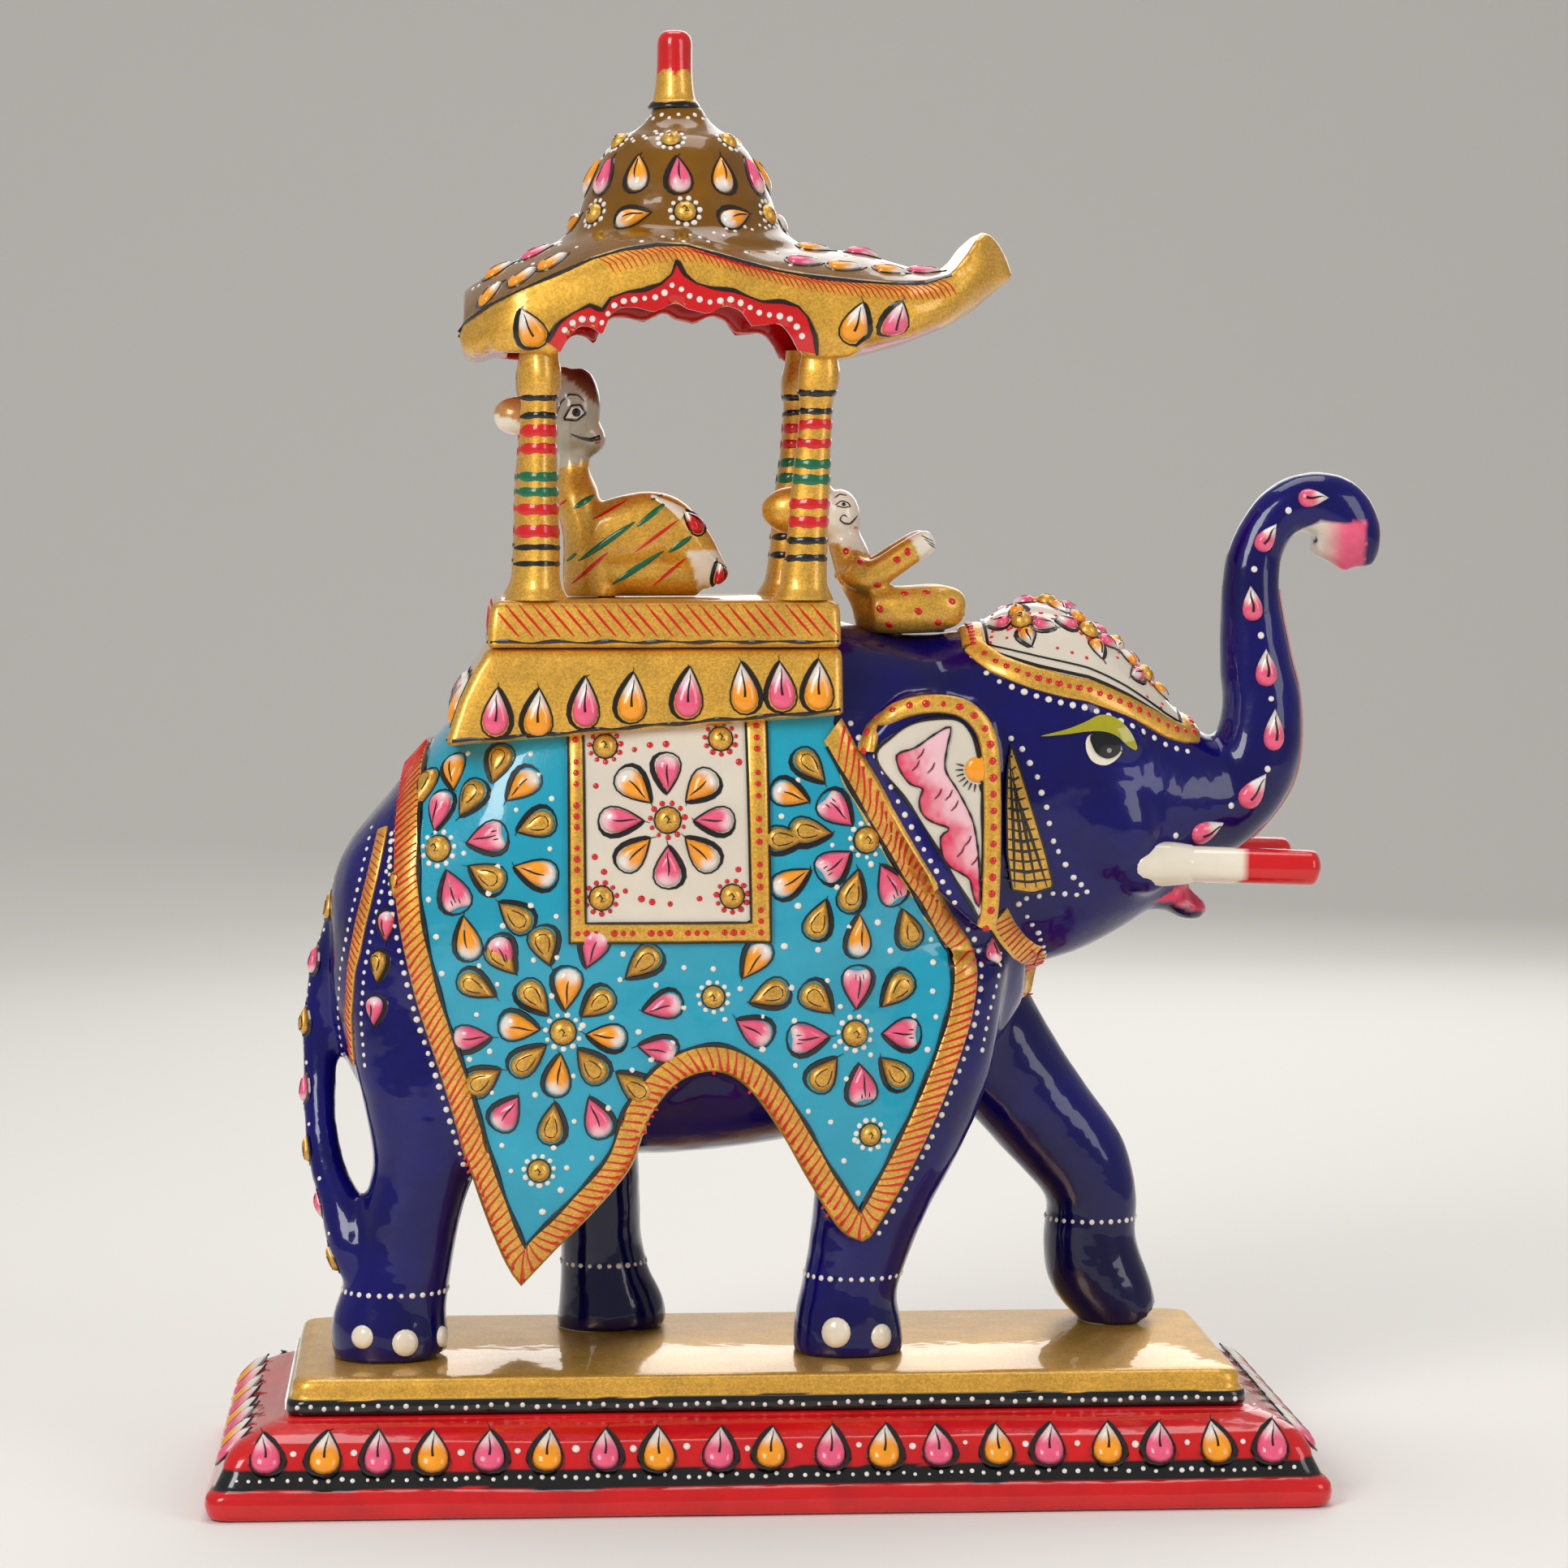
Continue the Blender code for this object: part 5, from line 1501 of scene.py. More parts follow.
def build_body_marks(side, tag):
    """Drops and dots down the trunk, a pale stripe up its front, dots along the jaw and chest, and the band over the
    rump.
    """
    drops = Piece()
    lines = Piece()
    dots = Piece()
    gilt = Piece()
    for x, z, angle, kind, size in TRUNK_MARKS:
        put_drop((drops, lines, dots, gilt), x, z, angle, kind, side, lift=0.0, width=3.7 * size, length=6.4 * size)
    if side == RIGHT:
        stripe = []
        for k in range(30):
            hit = BODY.ray(Vector((130.0, 0.0, 109.0 + 1.5 * k)), Vector((-1, 0, 0)))
            if hit:
                stripe.append(hit)
        add_band(gilt, stripe, 3.4, 0.25, mix(PINK, CREAM, 0.45))
    for x, z in TRUNK_DOTS:
        point, normal = BODY.side(x, z, side)
        add_dot(dots, point, normal, 0.6, WHITE)
    for x, z in JAW_DOTS:
        point, normal = BODY.side(x, z, side)
        add_dot(dots, point, normal, 0.52, WHITE)
    rump = [(-64.6, 112.0), (-66.4, 104.0), (-68.4, 96.0), (-70.0, 88.0), (-70.6, 80.0), (-70.0, 72.0)]
    band = along_body(rump, side, 1.2)
    add_band(gilt, band, 2.6, 0.5, GOLD)
    for k, (point, normal) in enumerate(band[1:-1]):
        ahead = (band[k + 2][0] - band[k][0]).normalized()
        across = normal.cross(ahead)
        stroke = [(point + across * w + ahead * w * 0.6 + normal * 0.5, normal) for w in (-1.1, 0.0, 1.1)]
        add_ribbon(lines, stroke, [0.1, 0.18, 0.1], 0.12, RED)
    for offset in (-2.1, 2.1):
        for spot, normal in along_body([(x + offset, z) for x, z in rump], side, 1.8):
            add_dot(dots, spot, normal, 0.42, WHITE)
    for k, z in enumerate((103.0, 96.0, 89.0, 81.5)):
        x = interpolate([(-z0, x0) for x0, z0 in rump], -z) + 4.4
        put_drop((drops, lines, dots, gilt), x, z, 180, ("gold", "pink")[k % 2], side, lift=0.0, width=3.0,
                 length=5.2)
    chest = [(41.6, 92.0), (40.6, 86.0), (38.8, 80.0), (37.6, 74.0)]
    for k, spot in enumerate(even_path(chest, 1.9)):
        point, normal = BODY.side(spot.x, spot.y, side)
        add_dot(dots, point, normal, 0.45, WHITE)
    put_drop((drops, lines, dots, gilt), 39.6, 90.6, 0, "pink", side, lift=0.0, width=3.0, length=5.0)
    drops.finish("body_drops_" + tag, ENAMEL["drops"], "pink_paint", angle=60)
    gilt.finish("rump_band_" + tag, ENAMEL["gold"], "gold_paint")
    lines.finish("body_brushwork_" + tag, ENAMEL["lines"], "black_paint")
    dots.finish("body_dots_" + tag, ENAMEL["dots"], "ivory_lacquer", angle=60)


TOENAILS = [
    # x, z, radius, side
    (-68.5, 26.1, 2.1, RIGHT), (-61.1, 25.1, 2.4, RIGHT), (-54.9, 25.3, 1.9, RIGHT), (12.2, 26.0, 2.7, RIGHT),
    (20.2, 25.1, 2.2, RIGHT), (-37.0, 26.0, 2.1, LEFT), (-30.2, 25.2, 2.4, LEFT), (-24.6, 25.6, 1.8, LEFT),
    (56.0, 26.0, 2.4, LEFT), (62.6, 25.4, 2.2, LEFT),
]


def build_feet():
    nails = Piece()
    dots = Piece()
    ankles = {"rear_right": 33.0, "rear_left": 33.0, "front_right": 35.0, "front_left": 40.0}
    for name, stations in LEGS.items():
        fine = spline(stations, 10)
        height = ankles[name]
        x, y, z, rx, ry = min(fine, key=lambda s: abs(s[2] - height))
        for k in range(30):
            angle = 2 * math.pi * k / 30
            out = Vector((math.cos(angle), math.sin(angle), 0))
            hit = BODY.ray(Vector((x, y, height)) + out * 13, -out)
            if hit and (hit[0] - Vector((x, y, height))).length < 12:
                add_dot(dots, hit[0], hit[1], 0.48, WHITE)
    for x, z, radius, side in TOENAILS:
        point, normal = BODY.side(x, z, side)
        add_dome(nails, Spot(BODY, point, normal), radius, 0.75, IVORY, sides=18)
    nails.finish("toenails", ENAMEL["cream"], "ivory_lacquer", angle=60)
    dots.finish("anklet_dots", ENAMEL["dots"], "ivory_lacquer", angle=60)


def build_tail_marks():
    """Gold and pink drops down the outside of the tail."""
    drops = Piece()
    lines = Piece()
    dots = Piece()
    gilt = Piece()
    for k, (x, y, z) in enumerate(((-72.6, 0.0, 98.0), (-75.6, 0.0, 88.6), (-77.6, -0.5, 78.0), (-78.0, -2.5, 66.5),
                                   (-77.2, -6.0, 56.0), (-75.0, -11.0, 46.6), (-72.4, -15.5, 38.0))):
        point, normal = BODY.near(Vector((x - 2.5, y - 1.2, z)))
        kind = ("gold", "pink")[k % 2]
        spot = Spot(BODY, point, normal, 0.0)
        add_drop(gilt if kind == "gold" else drops, lines, spot, kind, 2.6, 4.8, 0.9)
        for offset in (-4.4, 4.4):
            place, face = BODY.near(point + Vector((0, 0, offset)))
            add_dot(dots, place, face, 0.4, WHITE)
    drops.finish("tail_drops", ENAMEL["drops"], "pink_paint", angle=60)
    gilt.finish("tail_gilt_drops", ENAMEL["gold"], "gold_paint", angle=60)
    lines.finish("tail_brushwork", ENAMEL["lines"], "black_paint")
    dots.finish("tail_dots", ENAMEL["dots"], "ivory_lacquer", angle=60)


TUSK_COLLAR = (
    # distance along the tusk, radius
    (-0.8, 1.2), (-0.2, 2.3), (0.8, 3.2), (2.4, 3.75), (4.4, 3.9), (6.6, 3.8), (8.8, 3.6), (10.6, 3.35), (11.4, 3.0),
)


def build_tusks():
    """Ivory pegs with red ends, and the ragged white paint round their sockets."""
    for side, tag in ((RIGHT, "right"), (LEFT, "left")):
        low, high = (Vector(c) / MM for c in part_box("tusk_" + tag))
        radius = 3.1
        tip = Vector((high.x - radius, side * (max(abs(low.y), abs(high.y)) - radius - 0.2), low.z + radius + 0.2))
        root = Vector((low.x + 1.0, side * (min(abs(low.y), abs(high.y)) + radius), high.z - radius - 0.2))
        along = (tip - root).normalized()
        across = along.cross(Vector((0, 0, 1))).normalized()
        upward = across.cross(along)
        length = (tip - root).length
        red_from = 0.655 * length
        tusk = Piece()
        rings = []
        tints = []
        stops = [(0.0, 1.06), (0.1, 1.05)] + [(0.1 + 0.85 * k / 22, 1.05 - 0.07 * k / 22) for k in range(1, 23)]
        stops += [(1.0 - 0.05 * (1 - math.sin(a)) + 0.0, 0.98 * math.cos(a)) for a in
                  [math.radians(15 * k) for k in range(1, 6)]]
        stops.append((1.0, 0.1))
        for share, size in stops:
            centre = root + along * (length + radius * 0.8) * share
            ring = []
            for k in range(32):
                angle = 2 * math.pi * k / 32
                wobble = 1.0 + 0.015 * math.sin(3 * angle + share * 5)
                ring.append(centre + (across * math.cos(angle) + upward * math.sin(angle)) * radius * size * wobble)
                edge = red_from + 0.35 * math.sin(2 * angle + 1)
                red = (length + radius * 0.8) * share > edge
                tints.append(RED if red else IVORY)
            rings.append(ring)
        verts, faces = loft(rings)
        tusk.add(verts, faces, tints)
        tusk.finish("tusk_peg_" + tag, ENAMEL["cream"], "ivory_lacquer", ("tusk_" + tag,))
        collar = Piece()
        rings = []
        for reach, size in TUSK_COLLAR:
            ring = []
            for k in range(28):
                angle = 2 * math.pi * k / 28
                ragged = 1.0 + 0.03 * math.sin(5 * angle + 1.3) + 0.02 * math.sin(9 * angle)
                spot = root + along * (reach + 1.4) + Vector((0, side * 0.9 * max(1 - reach / 9.0, 0.0), 0))
                ring.append(spot + (across * math.cos(angle) + upward * math.sin(angle)) * size * ragged)
            rings.append(ring)
        verts, faces = loft(rings)
        collar.add(verts, faces, IVORY)
        collar.finish("tusk_collar_" + tag, ENAMEL["cream"], "ivory_lacquer")


for flank, flank_tag in ((RIGHT, "right"), (LEFT, "left")):
    build_ear(flank, flank_tag)
    build_tassel(flank, flank_tag)
    build_eye(flank, flank_tag)
    build_body_marks(flank, flank_tag)
build_crown()
build_feet()
build_tail_marks()
build_tusks()


# ---------------------------------------------------------------- base

def node_box(name):
    low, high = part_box(name)
    return Vector(low) / MM, Vector(high) / MM


PLINTH_LOW, PLINTH_HIGH = node_box("base_plinth")
BOARD_LOW, BOARD_HIGH = node_box("base_top_board")
BASE_Y = (PLINTH_LOW.y + PLINTH_HIGH.y) / 2
OUT_X = PLINTH_HIGH.x
OUT_Y = (PLINTH_HIGH.y - PLINTH_LOW.y) / 2
OVERHANG_X = 14.5
OVERHANG_Y = 13.3
PLINTH_TOP = PLINTH_HIGH.z
# share of the overhang, height
PLINTH_PROFILE = [
    (0.90, 0.0), (0.955, 0.35), (0.985, 1.1), (1.0, 2.4), (0.985, 3.7), (0.94, 4.5), (0.895, 4.9), (0.885, 5.1),
    (0.84, 6.4), (0.80, 7.6), (0.795, 7.9), (0.79, 8.4), (0.755, 9.6), (0.70, 10.8), (0.62, 12.0), (0.50, 13.0),
    (0.36, 13.9), (0.24, 14.5), (0.16, 14.9), (0.13, PLINTH_TOP),
]
BOARD_PROFILE = [
    (0.09, 15.5), (0.105, 16.0), (0.105, 17.0), (0.09, 17.8), (0.055, 18.1), (0.045, 18.8), (0.04, 19.8),
    (0.02, 20.7), (-0.03, 21.25), (-0.12, BOARD_HIGH.z),
]


def base_half(share):
    return OUT_X - OVERHANG_X * (1 - share), OUT_Y - OVERHANG_Y * (1 - share)


def outline_points(share, corner=3.2, spacing=2.0):
    """Rounded rectangle round the base, as (x, y, outward direction)."""
    half_x, half_y = base_half(share)
    out = []
    turns = ((1, -1, -90), (1, 1, 0), (-1, 1, 90), (-1, -1, 180))
    for k, (sx, sy, start) in enumerate(turns):
        cx, cy = sx * (half_x - corner), BASE_Y + sy * (half_y - corner)
        for j in range(7):
            angle = math.radians(start + 15 * j)
            out.append((cx + corner * math.cos(angle), cy + corner * math.sin(angle), math.cos(angle),
                        math.sin(angle)))
        nx, ny, nstart = turns[(k + 1) % 4]
        ex, ey = nx * (half_x - corner), BASE_Y + ny * (half_y - corner)
        angle = math.radians(start + 90)
        start_point = Vector((cx + corner * math.cos(angle), cy + corner * math.sin(angle)))
        end_point = Vector((ex + corner * math.cos(angle), ey + corner * math.sin(angle)))
        count = int((OUT_X if k % 2 else OUT_Y) * 2 / spacing)
        for j in range(1, count):
            spot = start_point.lerp(end_point, j / count)
            out.append((spot.x, spot.y, math.cos(angle), math.sin(angle)))
    return out


def moulded(profile, step, wobble, choose):
    """Lofts a base moulding from its profile, with a hand-finished waviness and paint chosen by height."""
    fine = [tuple(p) for p in even_path([(s * 14.0, z) for s, z in profile], step)]
    rings = []
    tints = []
    for reach, z in fine:
        ring = []
        for x, y, nx, ny in outline_points(reach / 14.0):
            wave = noise.noise(Vector((x, y, z * 2.0)) * 0.05) * wobble
            dip = noise.noise(Vector((x, y, 40.0)) * 0.03) * 0.45 if 1.0 < z < PLINTH_TOP - 0.6 else 0.0
            ring.append(Vector((x + nx * wave, y + ny * wave, z + dip)))
            tints.append(choose(x, y, z))
        rings.append(ring)
    return rings, tints


def plinth_tint(x, y, z):
    edge = noise.noise(Vector((x, y, 0)) * 0.09) * 0.35
    if 4.85 + edge < z < 7.85 - edge:
        return BLACK
    return RED if noise.noise(Vector((x, y, z)) * 0.14) < 0.42 else mix(RED, BLACK, 0.12)


def board_tint(x, y, z):
    edge = noise.noise(Vector((x, y, 9)) * 0.12) * 0.2
    return BLACK if z < 18.0 + edge else GOLD


def base_face(face, along, z):
    """Point and normal on the plinth's moulding: face is right, left, front or rear."""
    share = interpolate([(h, s) for s, h in PLINTH_PROFILE[3:]], z)
    ahead = interpolate([(h, s) for s, h in PLINTH_PROFILE[3:]], z + 0.4)
    half_x, half_y = base_half(share)
    if face in ("right", "left"):
        sign = RIGHT if face == "right" else LEFT
        slope = (share - ahead) * OVERHANG_Y / 0.4
        return Vector((along, BASE_Y + sign * half_y, z)), Vector((0, sign, slope)).normalized()
    sign = 1 if face == "front" else -1
    slope = (share - ahead) * OVERHANG_X / 0.4
    return Vector((sign * half_x, BASE_Y + along, z)), Vector((sign, 0, slope)).normalized()


def build_base():
    plinth = Piece()
    rings, tints = moulded(PLINTH_PROFILE, 0.42, 0.22, plinth_tint)
    verts, faces = loft(rings)
    plinth.add(verts, faces, tints)
    plinth.finish("base_moulding", ENAMEL["red"], "red_lacquer", ("base_plinth",))
    board = Piece()
    rings, tints = moulded(BOARD_PROFILE, 0.32, 0.16, board_tint)
    verts, faces = loft(rings)
    board.add(verts, faces, tints)
    board.finish("top_board", ENAMEL["gold"], "gold_paint", ("base_top_board",))

    drops = Piece()
    lines = Piece()
    dots = Piece()
    for face in ("right", "left", "front", "rear"):
        long_side = face in ("right", "left")
        count = 19 if long_side else 8
        reach = 83.8 if long_side else 34.0
        for k in range(count):
            along = -reach + 2 * reach * k / (count - 1) + RNG.uniform(-0.5, 0.5)
            kind = ("rose", "amber")[k % 2]
            point, normal = base_face(face, along, 10.9)
            spot = Spot(None, point, normal, RNG.uniform(-7, 7), Vector((0, 0, 1)), 0.0)
            add_drop(drops, lines, spot, kind, RNG.uniform(4.5, 5.1), RNG.uniform(7.4, 8.2), 1.2)
            between = along + reach / (count - 1)
            if k < count - 1:
                point, normal = base_face(face, between, 10.8 + RNG.uniform(-0.3, 0.3))
                add_dot(dots, point, normal, 0.62, WHITE)
        row = 88.6 if long_side else 38.6
        upper_row = 79.0 if long_side else 29.0
        along = -row
        while along < row:
            point, normal = base_face(face, along, 6.5 + RNG.uniform(-0.25, 0.25))
            add_dot(dots, point, normal, 0.42, WHITE)
            along += RNG.uniform(1.6, 2.6)
        along = -upper_row
        half_x, half_y = base_half(0.105)
        while along < upper_row:
            if long_side:
                sign = RIGHT if face == "right" else LEFT
                point = Vector((along, BASE_Y + sign * half_y, 16.7 + RNG.uniform(-0.3, 0.3)))
                normal = Vector((0, sign, 0))
            else:
                sign = 1 if face == "front" else -1
                point = Vector((sign * half_x, BASE_Y + along, 16.7))
                normal = Vector((sign, 0, 0))
            if long_side:
                add_dot(dots, point, normal, 0.42, WHITE)
                along += RNG.uniform(1.8, 2.8)
            else:
                stroke = [(point + Vector((0, 0.35 * j, 0.75 * j)), normal) for j in (-1, 0, 1)]
                add_ribbon(lines, stroke, [0.08, 0.2, 0.1], 0.16, WHITE)
                along += 1.5
    drops.finish("base_drops", ENAMEL["drops"], "pink_paint", angle=60)
    lines.finish("base_brushwork", ENAMEL["lines"], "black_paint")
    dots.finish("base_dots", ENAMEL["dots"], "ivory_lacquer", angle=60)


# ---------------------------------------------------------------- saddle and howdah

def block_rings(levels, corner, spacing=2.0):
    """Rings of a rounded block; a level is (rear x, front x, half width, height at the rear, height at the front)."""
    rings = []
    wide = max(level[2] for level in levels)
    counts = (int(2 * wide / spacing), int((levels[1][1] - levels[1][0]) / spacing)) * 2
    for rear, front, half, z_rear, z_front in levels:
        ring = []
        turns = ((front, -half, -90), (front, half, 0), (rear, half, 90), (rear, -half, 180))
        for k, (ex, ey, start) in enumerate(turns):
            sx = -1 if ex == front else 1
            sy = 1 if ey < 0 else -1
            cx, cy = ex + sx * corner, ey + sy * corner
            arc = [(cx + corner * math.cos(math.radians(start + 22.5 * j)),
                    cy + corner * math.sin(math.radians(start + 22.5 * j))) for j in range(5)]
            nx, ny, _ = turns[(k + 1) % 4]
            count = counts[k]
            angle = math.radians(start + 90)
            tx = nx + (-1 if nx == front else 1) * corner + corner * math.cos(angle)
            ty = ny + (1 if ny < 0 else -1) * corner + corner * math.sin(angle)
            last = arc[-1]
            for x, y in arc + [(last[0] + (tx - last[0]) * j / count, last[1] + (ty - last[1]) * j / count)
                               for j in range(1, count)]:
                z = z_rear + (z_front - z_rear) * (x - rear) / (front - rear)
                wave = noise.noise(Vector((x, y, z)) * 0.08) * 0.25
                ring.append(Vector((x, y + math.copysign(wave, y), z + wave * 0.4)))
        rings.append(ring)
    return rings


def surface_of(item):
    return Surface(item.data)


def side_strokes(piece, surface, side, starts, lean, z_low, z_high, half_width, tint, lift=0.0):
    """Slanting brush strokes on a flat side."""
    for x in starts:
        path = []
        for k in range(5):
            t = k / 4
            hit = surface.ray(Vector((x + lean * t, side * 90.0, z_high + (z_low - z_high) * t)), Vector((0, -side, 0)))
            if hit:
                path.append((hit[0] + hit[1] * lift, hit[1]))
        if len(path) > 2:
            add_ribbon(piece, path, brush(len(path), half_width), 0.14, tint)


def build_saddle():
    low, high = node_box("saddle_block")
    rear, front = low.x, high.x
    top = high.z
    z_rear = low.z
    z_front = z_rear + 5.0
    half = high.y
    block = Piece()
    block.add(*loft(block_rings([
        (rear + 0.5, front - 0.4, half - 0.9, z_rear, z_front), (rear, front, half, z_rear + 0.6, z_front + 0.5),
        (rear + 0.7, front, half - 0.3, z_rear + 3.0, z_front + 2.0),
        (rear + 2.2, front, half - 0.9, z_rear + 7.5, z_front + 4.6),
        (rear + 4.4, front, half - 1.6, z_rear + 12.0, z_front + 7.6),
        (rear + 6.0, front, half - 2.2, top - 1.6, top - 1.6), (rear + 6.5, front - 0.2, half - 2.6, top - 0.5, top - 0.5),
        (rear + 7.3, front - 0.8, half - 3.4, top, top),
    ], 1.6)), GOLD)
    item = block.finish("saddle_carving", ENAMEL["gold"], "gold_paint", ("saddle_block",))
    surface = surface_of(item)
    drops = Piece()
    lines = Piece()
    marks = ((-45.4, 132.6, "rose"), (-38.3, 132.4, "amber"), (-30.4, 134.2, "rose"), (-22.5, 135.0, "amber"),
             (-13.0, 135.8, "rose"), (-3.7, 136.6, "amber"), (2.7, 136.8, "rose"), (9.0, 137.0, "amber"))
    for side in (RIGHT, LEFT):
        for x, z, kind in marks:
            point, normal = surface.side(x, z, side)
            spot = Spot(surface, point, normal, RNG.uniform(-6, 6))
            add_drop(drops, lines, spot, kind, RNG.uniform(4.3, 4.9), RNG.uniform(7.8, 8.8), 1.25)
        hem = []
        for k in range(45):
            x = rear + 1.0 + (front - rear - 1.6) * k / 44
            z = z_rear + (z_front - z_rear) * k / 44 + 0.75 + 0.15 * math.sin(k * 0.9)
            hem.append(surface.side(x, z, side))
        add_ribbon(lines, hem, [0.3 + 0.12 * math.sin(k * 1.3) for k in range(45)], 0.18, BLACK)
    for y, kind in ((-21.0, "amber"), (-13.0, "rose"), (-4.5, "amber"), (4.5, "rose"), (13.0, "amber"), (21.0, "rose")):
        hit = surface.ray(Vector((-95.0, y, 134.0)), Vector((1, 0, 0)))
        spot = Spot(surface, hit[0], hit[1], RNG.uniform(-6, 6))
        add_drop(drops, lines, spot, kind, 4.6, 8.4, 1.25)
    hem = [surface.ray(Vector((-95.0, -half + 2.0 + (2 * half - 4.0) * k / 20, z_rear + 0.9)), Vector((1, 0, 0)))
           for k in range(21)]
    add_ribbon(lines, [h for h in hem if h], 0.3, 0.18, BLACK)
    drops.finish("saddle_drops", ENAMEL["drops"], "pink_paint", angle=60)
    lines.finish("saddle_brushwork", ENAMEL["lines"], "black_paint")


def build_platform():
    low, high = node_box("howdah_platform")
    z0, z1 = low.z, high.z
    slab = Piece()
    slab.add(*loft(block_rings([
        (low.x + 0.5, high.x - 0.4, high.y - 0.6, z0, z0), (low.x, high.x, high.y, z0 + 0.5, z0 + 0.5),
        (low.x + 0.1, high.x, high.y - 0.1, z0 + 3.0, z0 + 3.0), (low.x + 0.5, high.x - 0.2, high.y - 0.5, z1 - 1.4, z1 - 1.4),
        (low.x + 1.1, high.x - 0.7, high.y - 1.0, z1 - 0.5, z1 - 0.5), (low.x + 2.2, high.x - 1.6, high.y - 2.0, z1, z1),
    ], 1.5)), GOLD)
    item = slab.finish("platform_carving", ENAMEL["gold"], "gold_paint", ("howdah_platform",))
    surface = surface_of(item)
    lines = Piece()
    for side in (RIGHT, LEFT):
        starts = [low.x + 0.6 + 2.35 * k + RNG.uniform(-0.25, 0.25) for k in range(24)]
        side_strokes(lines, surface, side, starts, 4.6, z0 + 1.9, z1 - 0.7, 0.3, RED)
        hem = [surface.side(low.x + 0.5 + (high.x - low.x - 1.0) * k / 40, z0 + 0.9 + 0.14 * math.sin(k), side)
               for k in range(41)]
        add_ribbon(lines, hem, [0.26 + 0.14 * math.sin(k * 1.1) for k in range(41)], 0.17, BLACK)
    for end, direction in ((-95.0, 1), (95.0, -1)):
        for k in range(20):
            y = -24.5 + 2.4 * k
            path = [surface.ray(Vector((end, y + 3.6 * j / 3, z1 - 0.8 - (z1 - z0 - 2.8) * j / 3)),
                                Vector((direction, 0, 0))) for j in range(4)]
            path = [p for p in path if p]
            if len(path) > 2:
                add_ribbon(lines, path, brush(len(path), 0.28), 0.14, RED)
        hem = [surface.ray(Vector((end, -25.5 + 51.0 * k / 30, z0 + 0.9)), Vector((direction, 0, 0))) for k in range(31)]
        add_ribbon(lines, [h for h in hem if h], 0.28, 0.17, BLACK)
    lines.finish("platform_brushwork", ENAMEL["lines"], "red_lacquer")


PILLAR_FOOT_Z = 151.2
PILLAR_PROFILE = [
    (PILLAR_FOOT_Z, 5.3), (152.0, 4.9), (153.4, 4.2), (155.4, 3.85), (158.0, 3.7), (161.0, 3.65), (164.0, 3.5),
    (168.0, 3.45), (172.0, 3.3), (176.0, 3.05), (180.0, 2.95), (183.4, 2.9), (185.0, 3.0), (186.6, 3.4),
    (188.2, 3.6), (190.0, 3.6), (191.6, 3.3), (193.0, 3.2), (194.5, 3.2),
]
PILLAR_BANDS = {
    "rear": ((185.3, BLACK, 0.7), (182.1, BLACK, 0.75), (179.6, RED, 1.35), (176.6, RED, 1.2), (172.1, GREEN, 1.05),
             (169.5, GREEN, 1.0), (166.6, RED, 1.2), (162.7, RED, 1.45), (160.0, BLACK, 0.65), (157.3, BLACK, 0.6)),
    "front": ((186.2, BLACK, 0.75), (183.2, BLACK, 0.7), (180.6, RED, 1.15), (177.9, RED, 1.05), (174.4, GREEN, 1.05),
              (171.7, GREEN, 1.15), (167.5, RED, 1.15), (164.5, RED, 1.3), (161.3, BLACK, 0.8), (158.2, BLACK, 0.8)),
}


def build_pillar(end, side, lean):
    tag = "right" if side == RIGHT else "left"
    low, high = node_box(f"pillar_{end}_{tag}")
    centre = Vector(((low.x + high.x) / 2, (low.y + high.y) / 2, 0))
    post = Piece()
    rings = []
    fine = spline(PILLAR_PROFILE, 4)
    phase = RNG.uniform(0, 6)

    def axis(z):
        return centre + Vector((lean * (z - 170.0) / 20.0, 0, z))

    for z, radius in fine:
        ring = []
        for k in range(36):
            angle = 2 * math.pi * k / 36
            lump = 1 + 0.035 * math.cos(4 * angle + phase) + 0.05 * noise.noise(Vector((angle * 0.8, z * 0.22, phase)))
            ring.append(axis(z) + Vector((math.cos(angle), math.sin(angle), 0)) * radius * lump)
        rings.append(ring)
    post.add(*loft(rings), GOLD)
    item = post.finish(f"pillar_{end}_{tag}_carving", ENAMEL["gold"], "gold_paint", (f"pillar_{end}_{tag}",))
    surface = surface_of(item)
    bands = Piece()
    for z, tint, half in PILLAR_BANDS[end]:
        for start in (-165, 15):
            path = []
            sag = RNG.uniform(-0.35, 0.35)
            gap = 8 if tint == BLACK and end == "front" and z < 162 else 0
            for k in range(13):
                t = k / 12
                angle = math.radians(start + gap + (168 - 2 * gap) * t)
                out = Vector((math.cos(angle), math.sin(angle), 0))
                hit = surface.ray(axis(z + sag * math.sin(math.pi * t)) + out * 9, -out)
                if hit:
                    path.append(hit)
            widths = [half * (0.78 + 0.3 * abs(math.sin(k * 0.8 + phase))) for k in range(len(path))]
            widths[0] *= 0.5
            widths[-1] *= 0.5
            add_ribbon(bands, path, widths, 0.13, tint)
    bands.finish(f"pillar_{end}_{tag}_bands", ENAMEL["lines"], "red_lacquer")


# ---------------------------------------------------------------- canopy

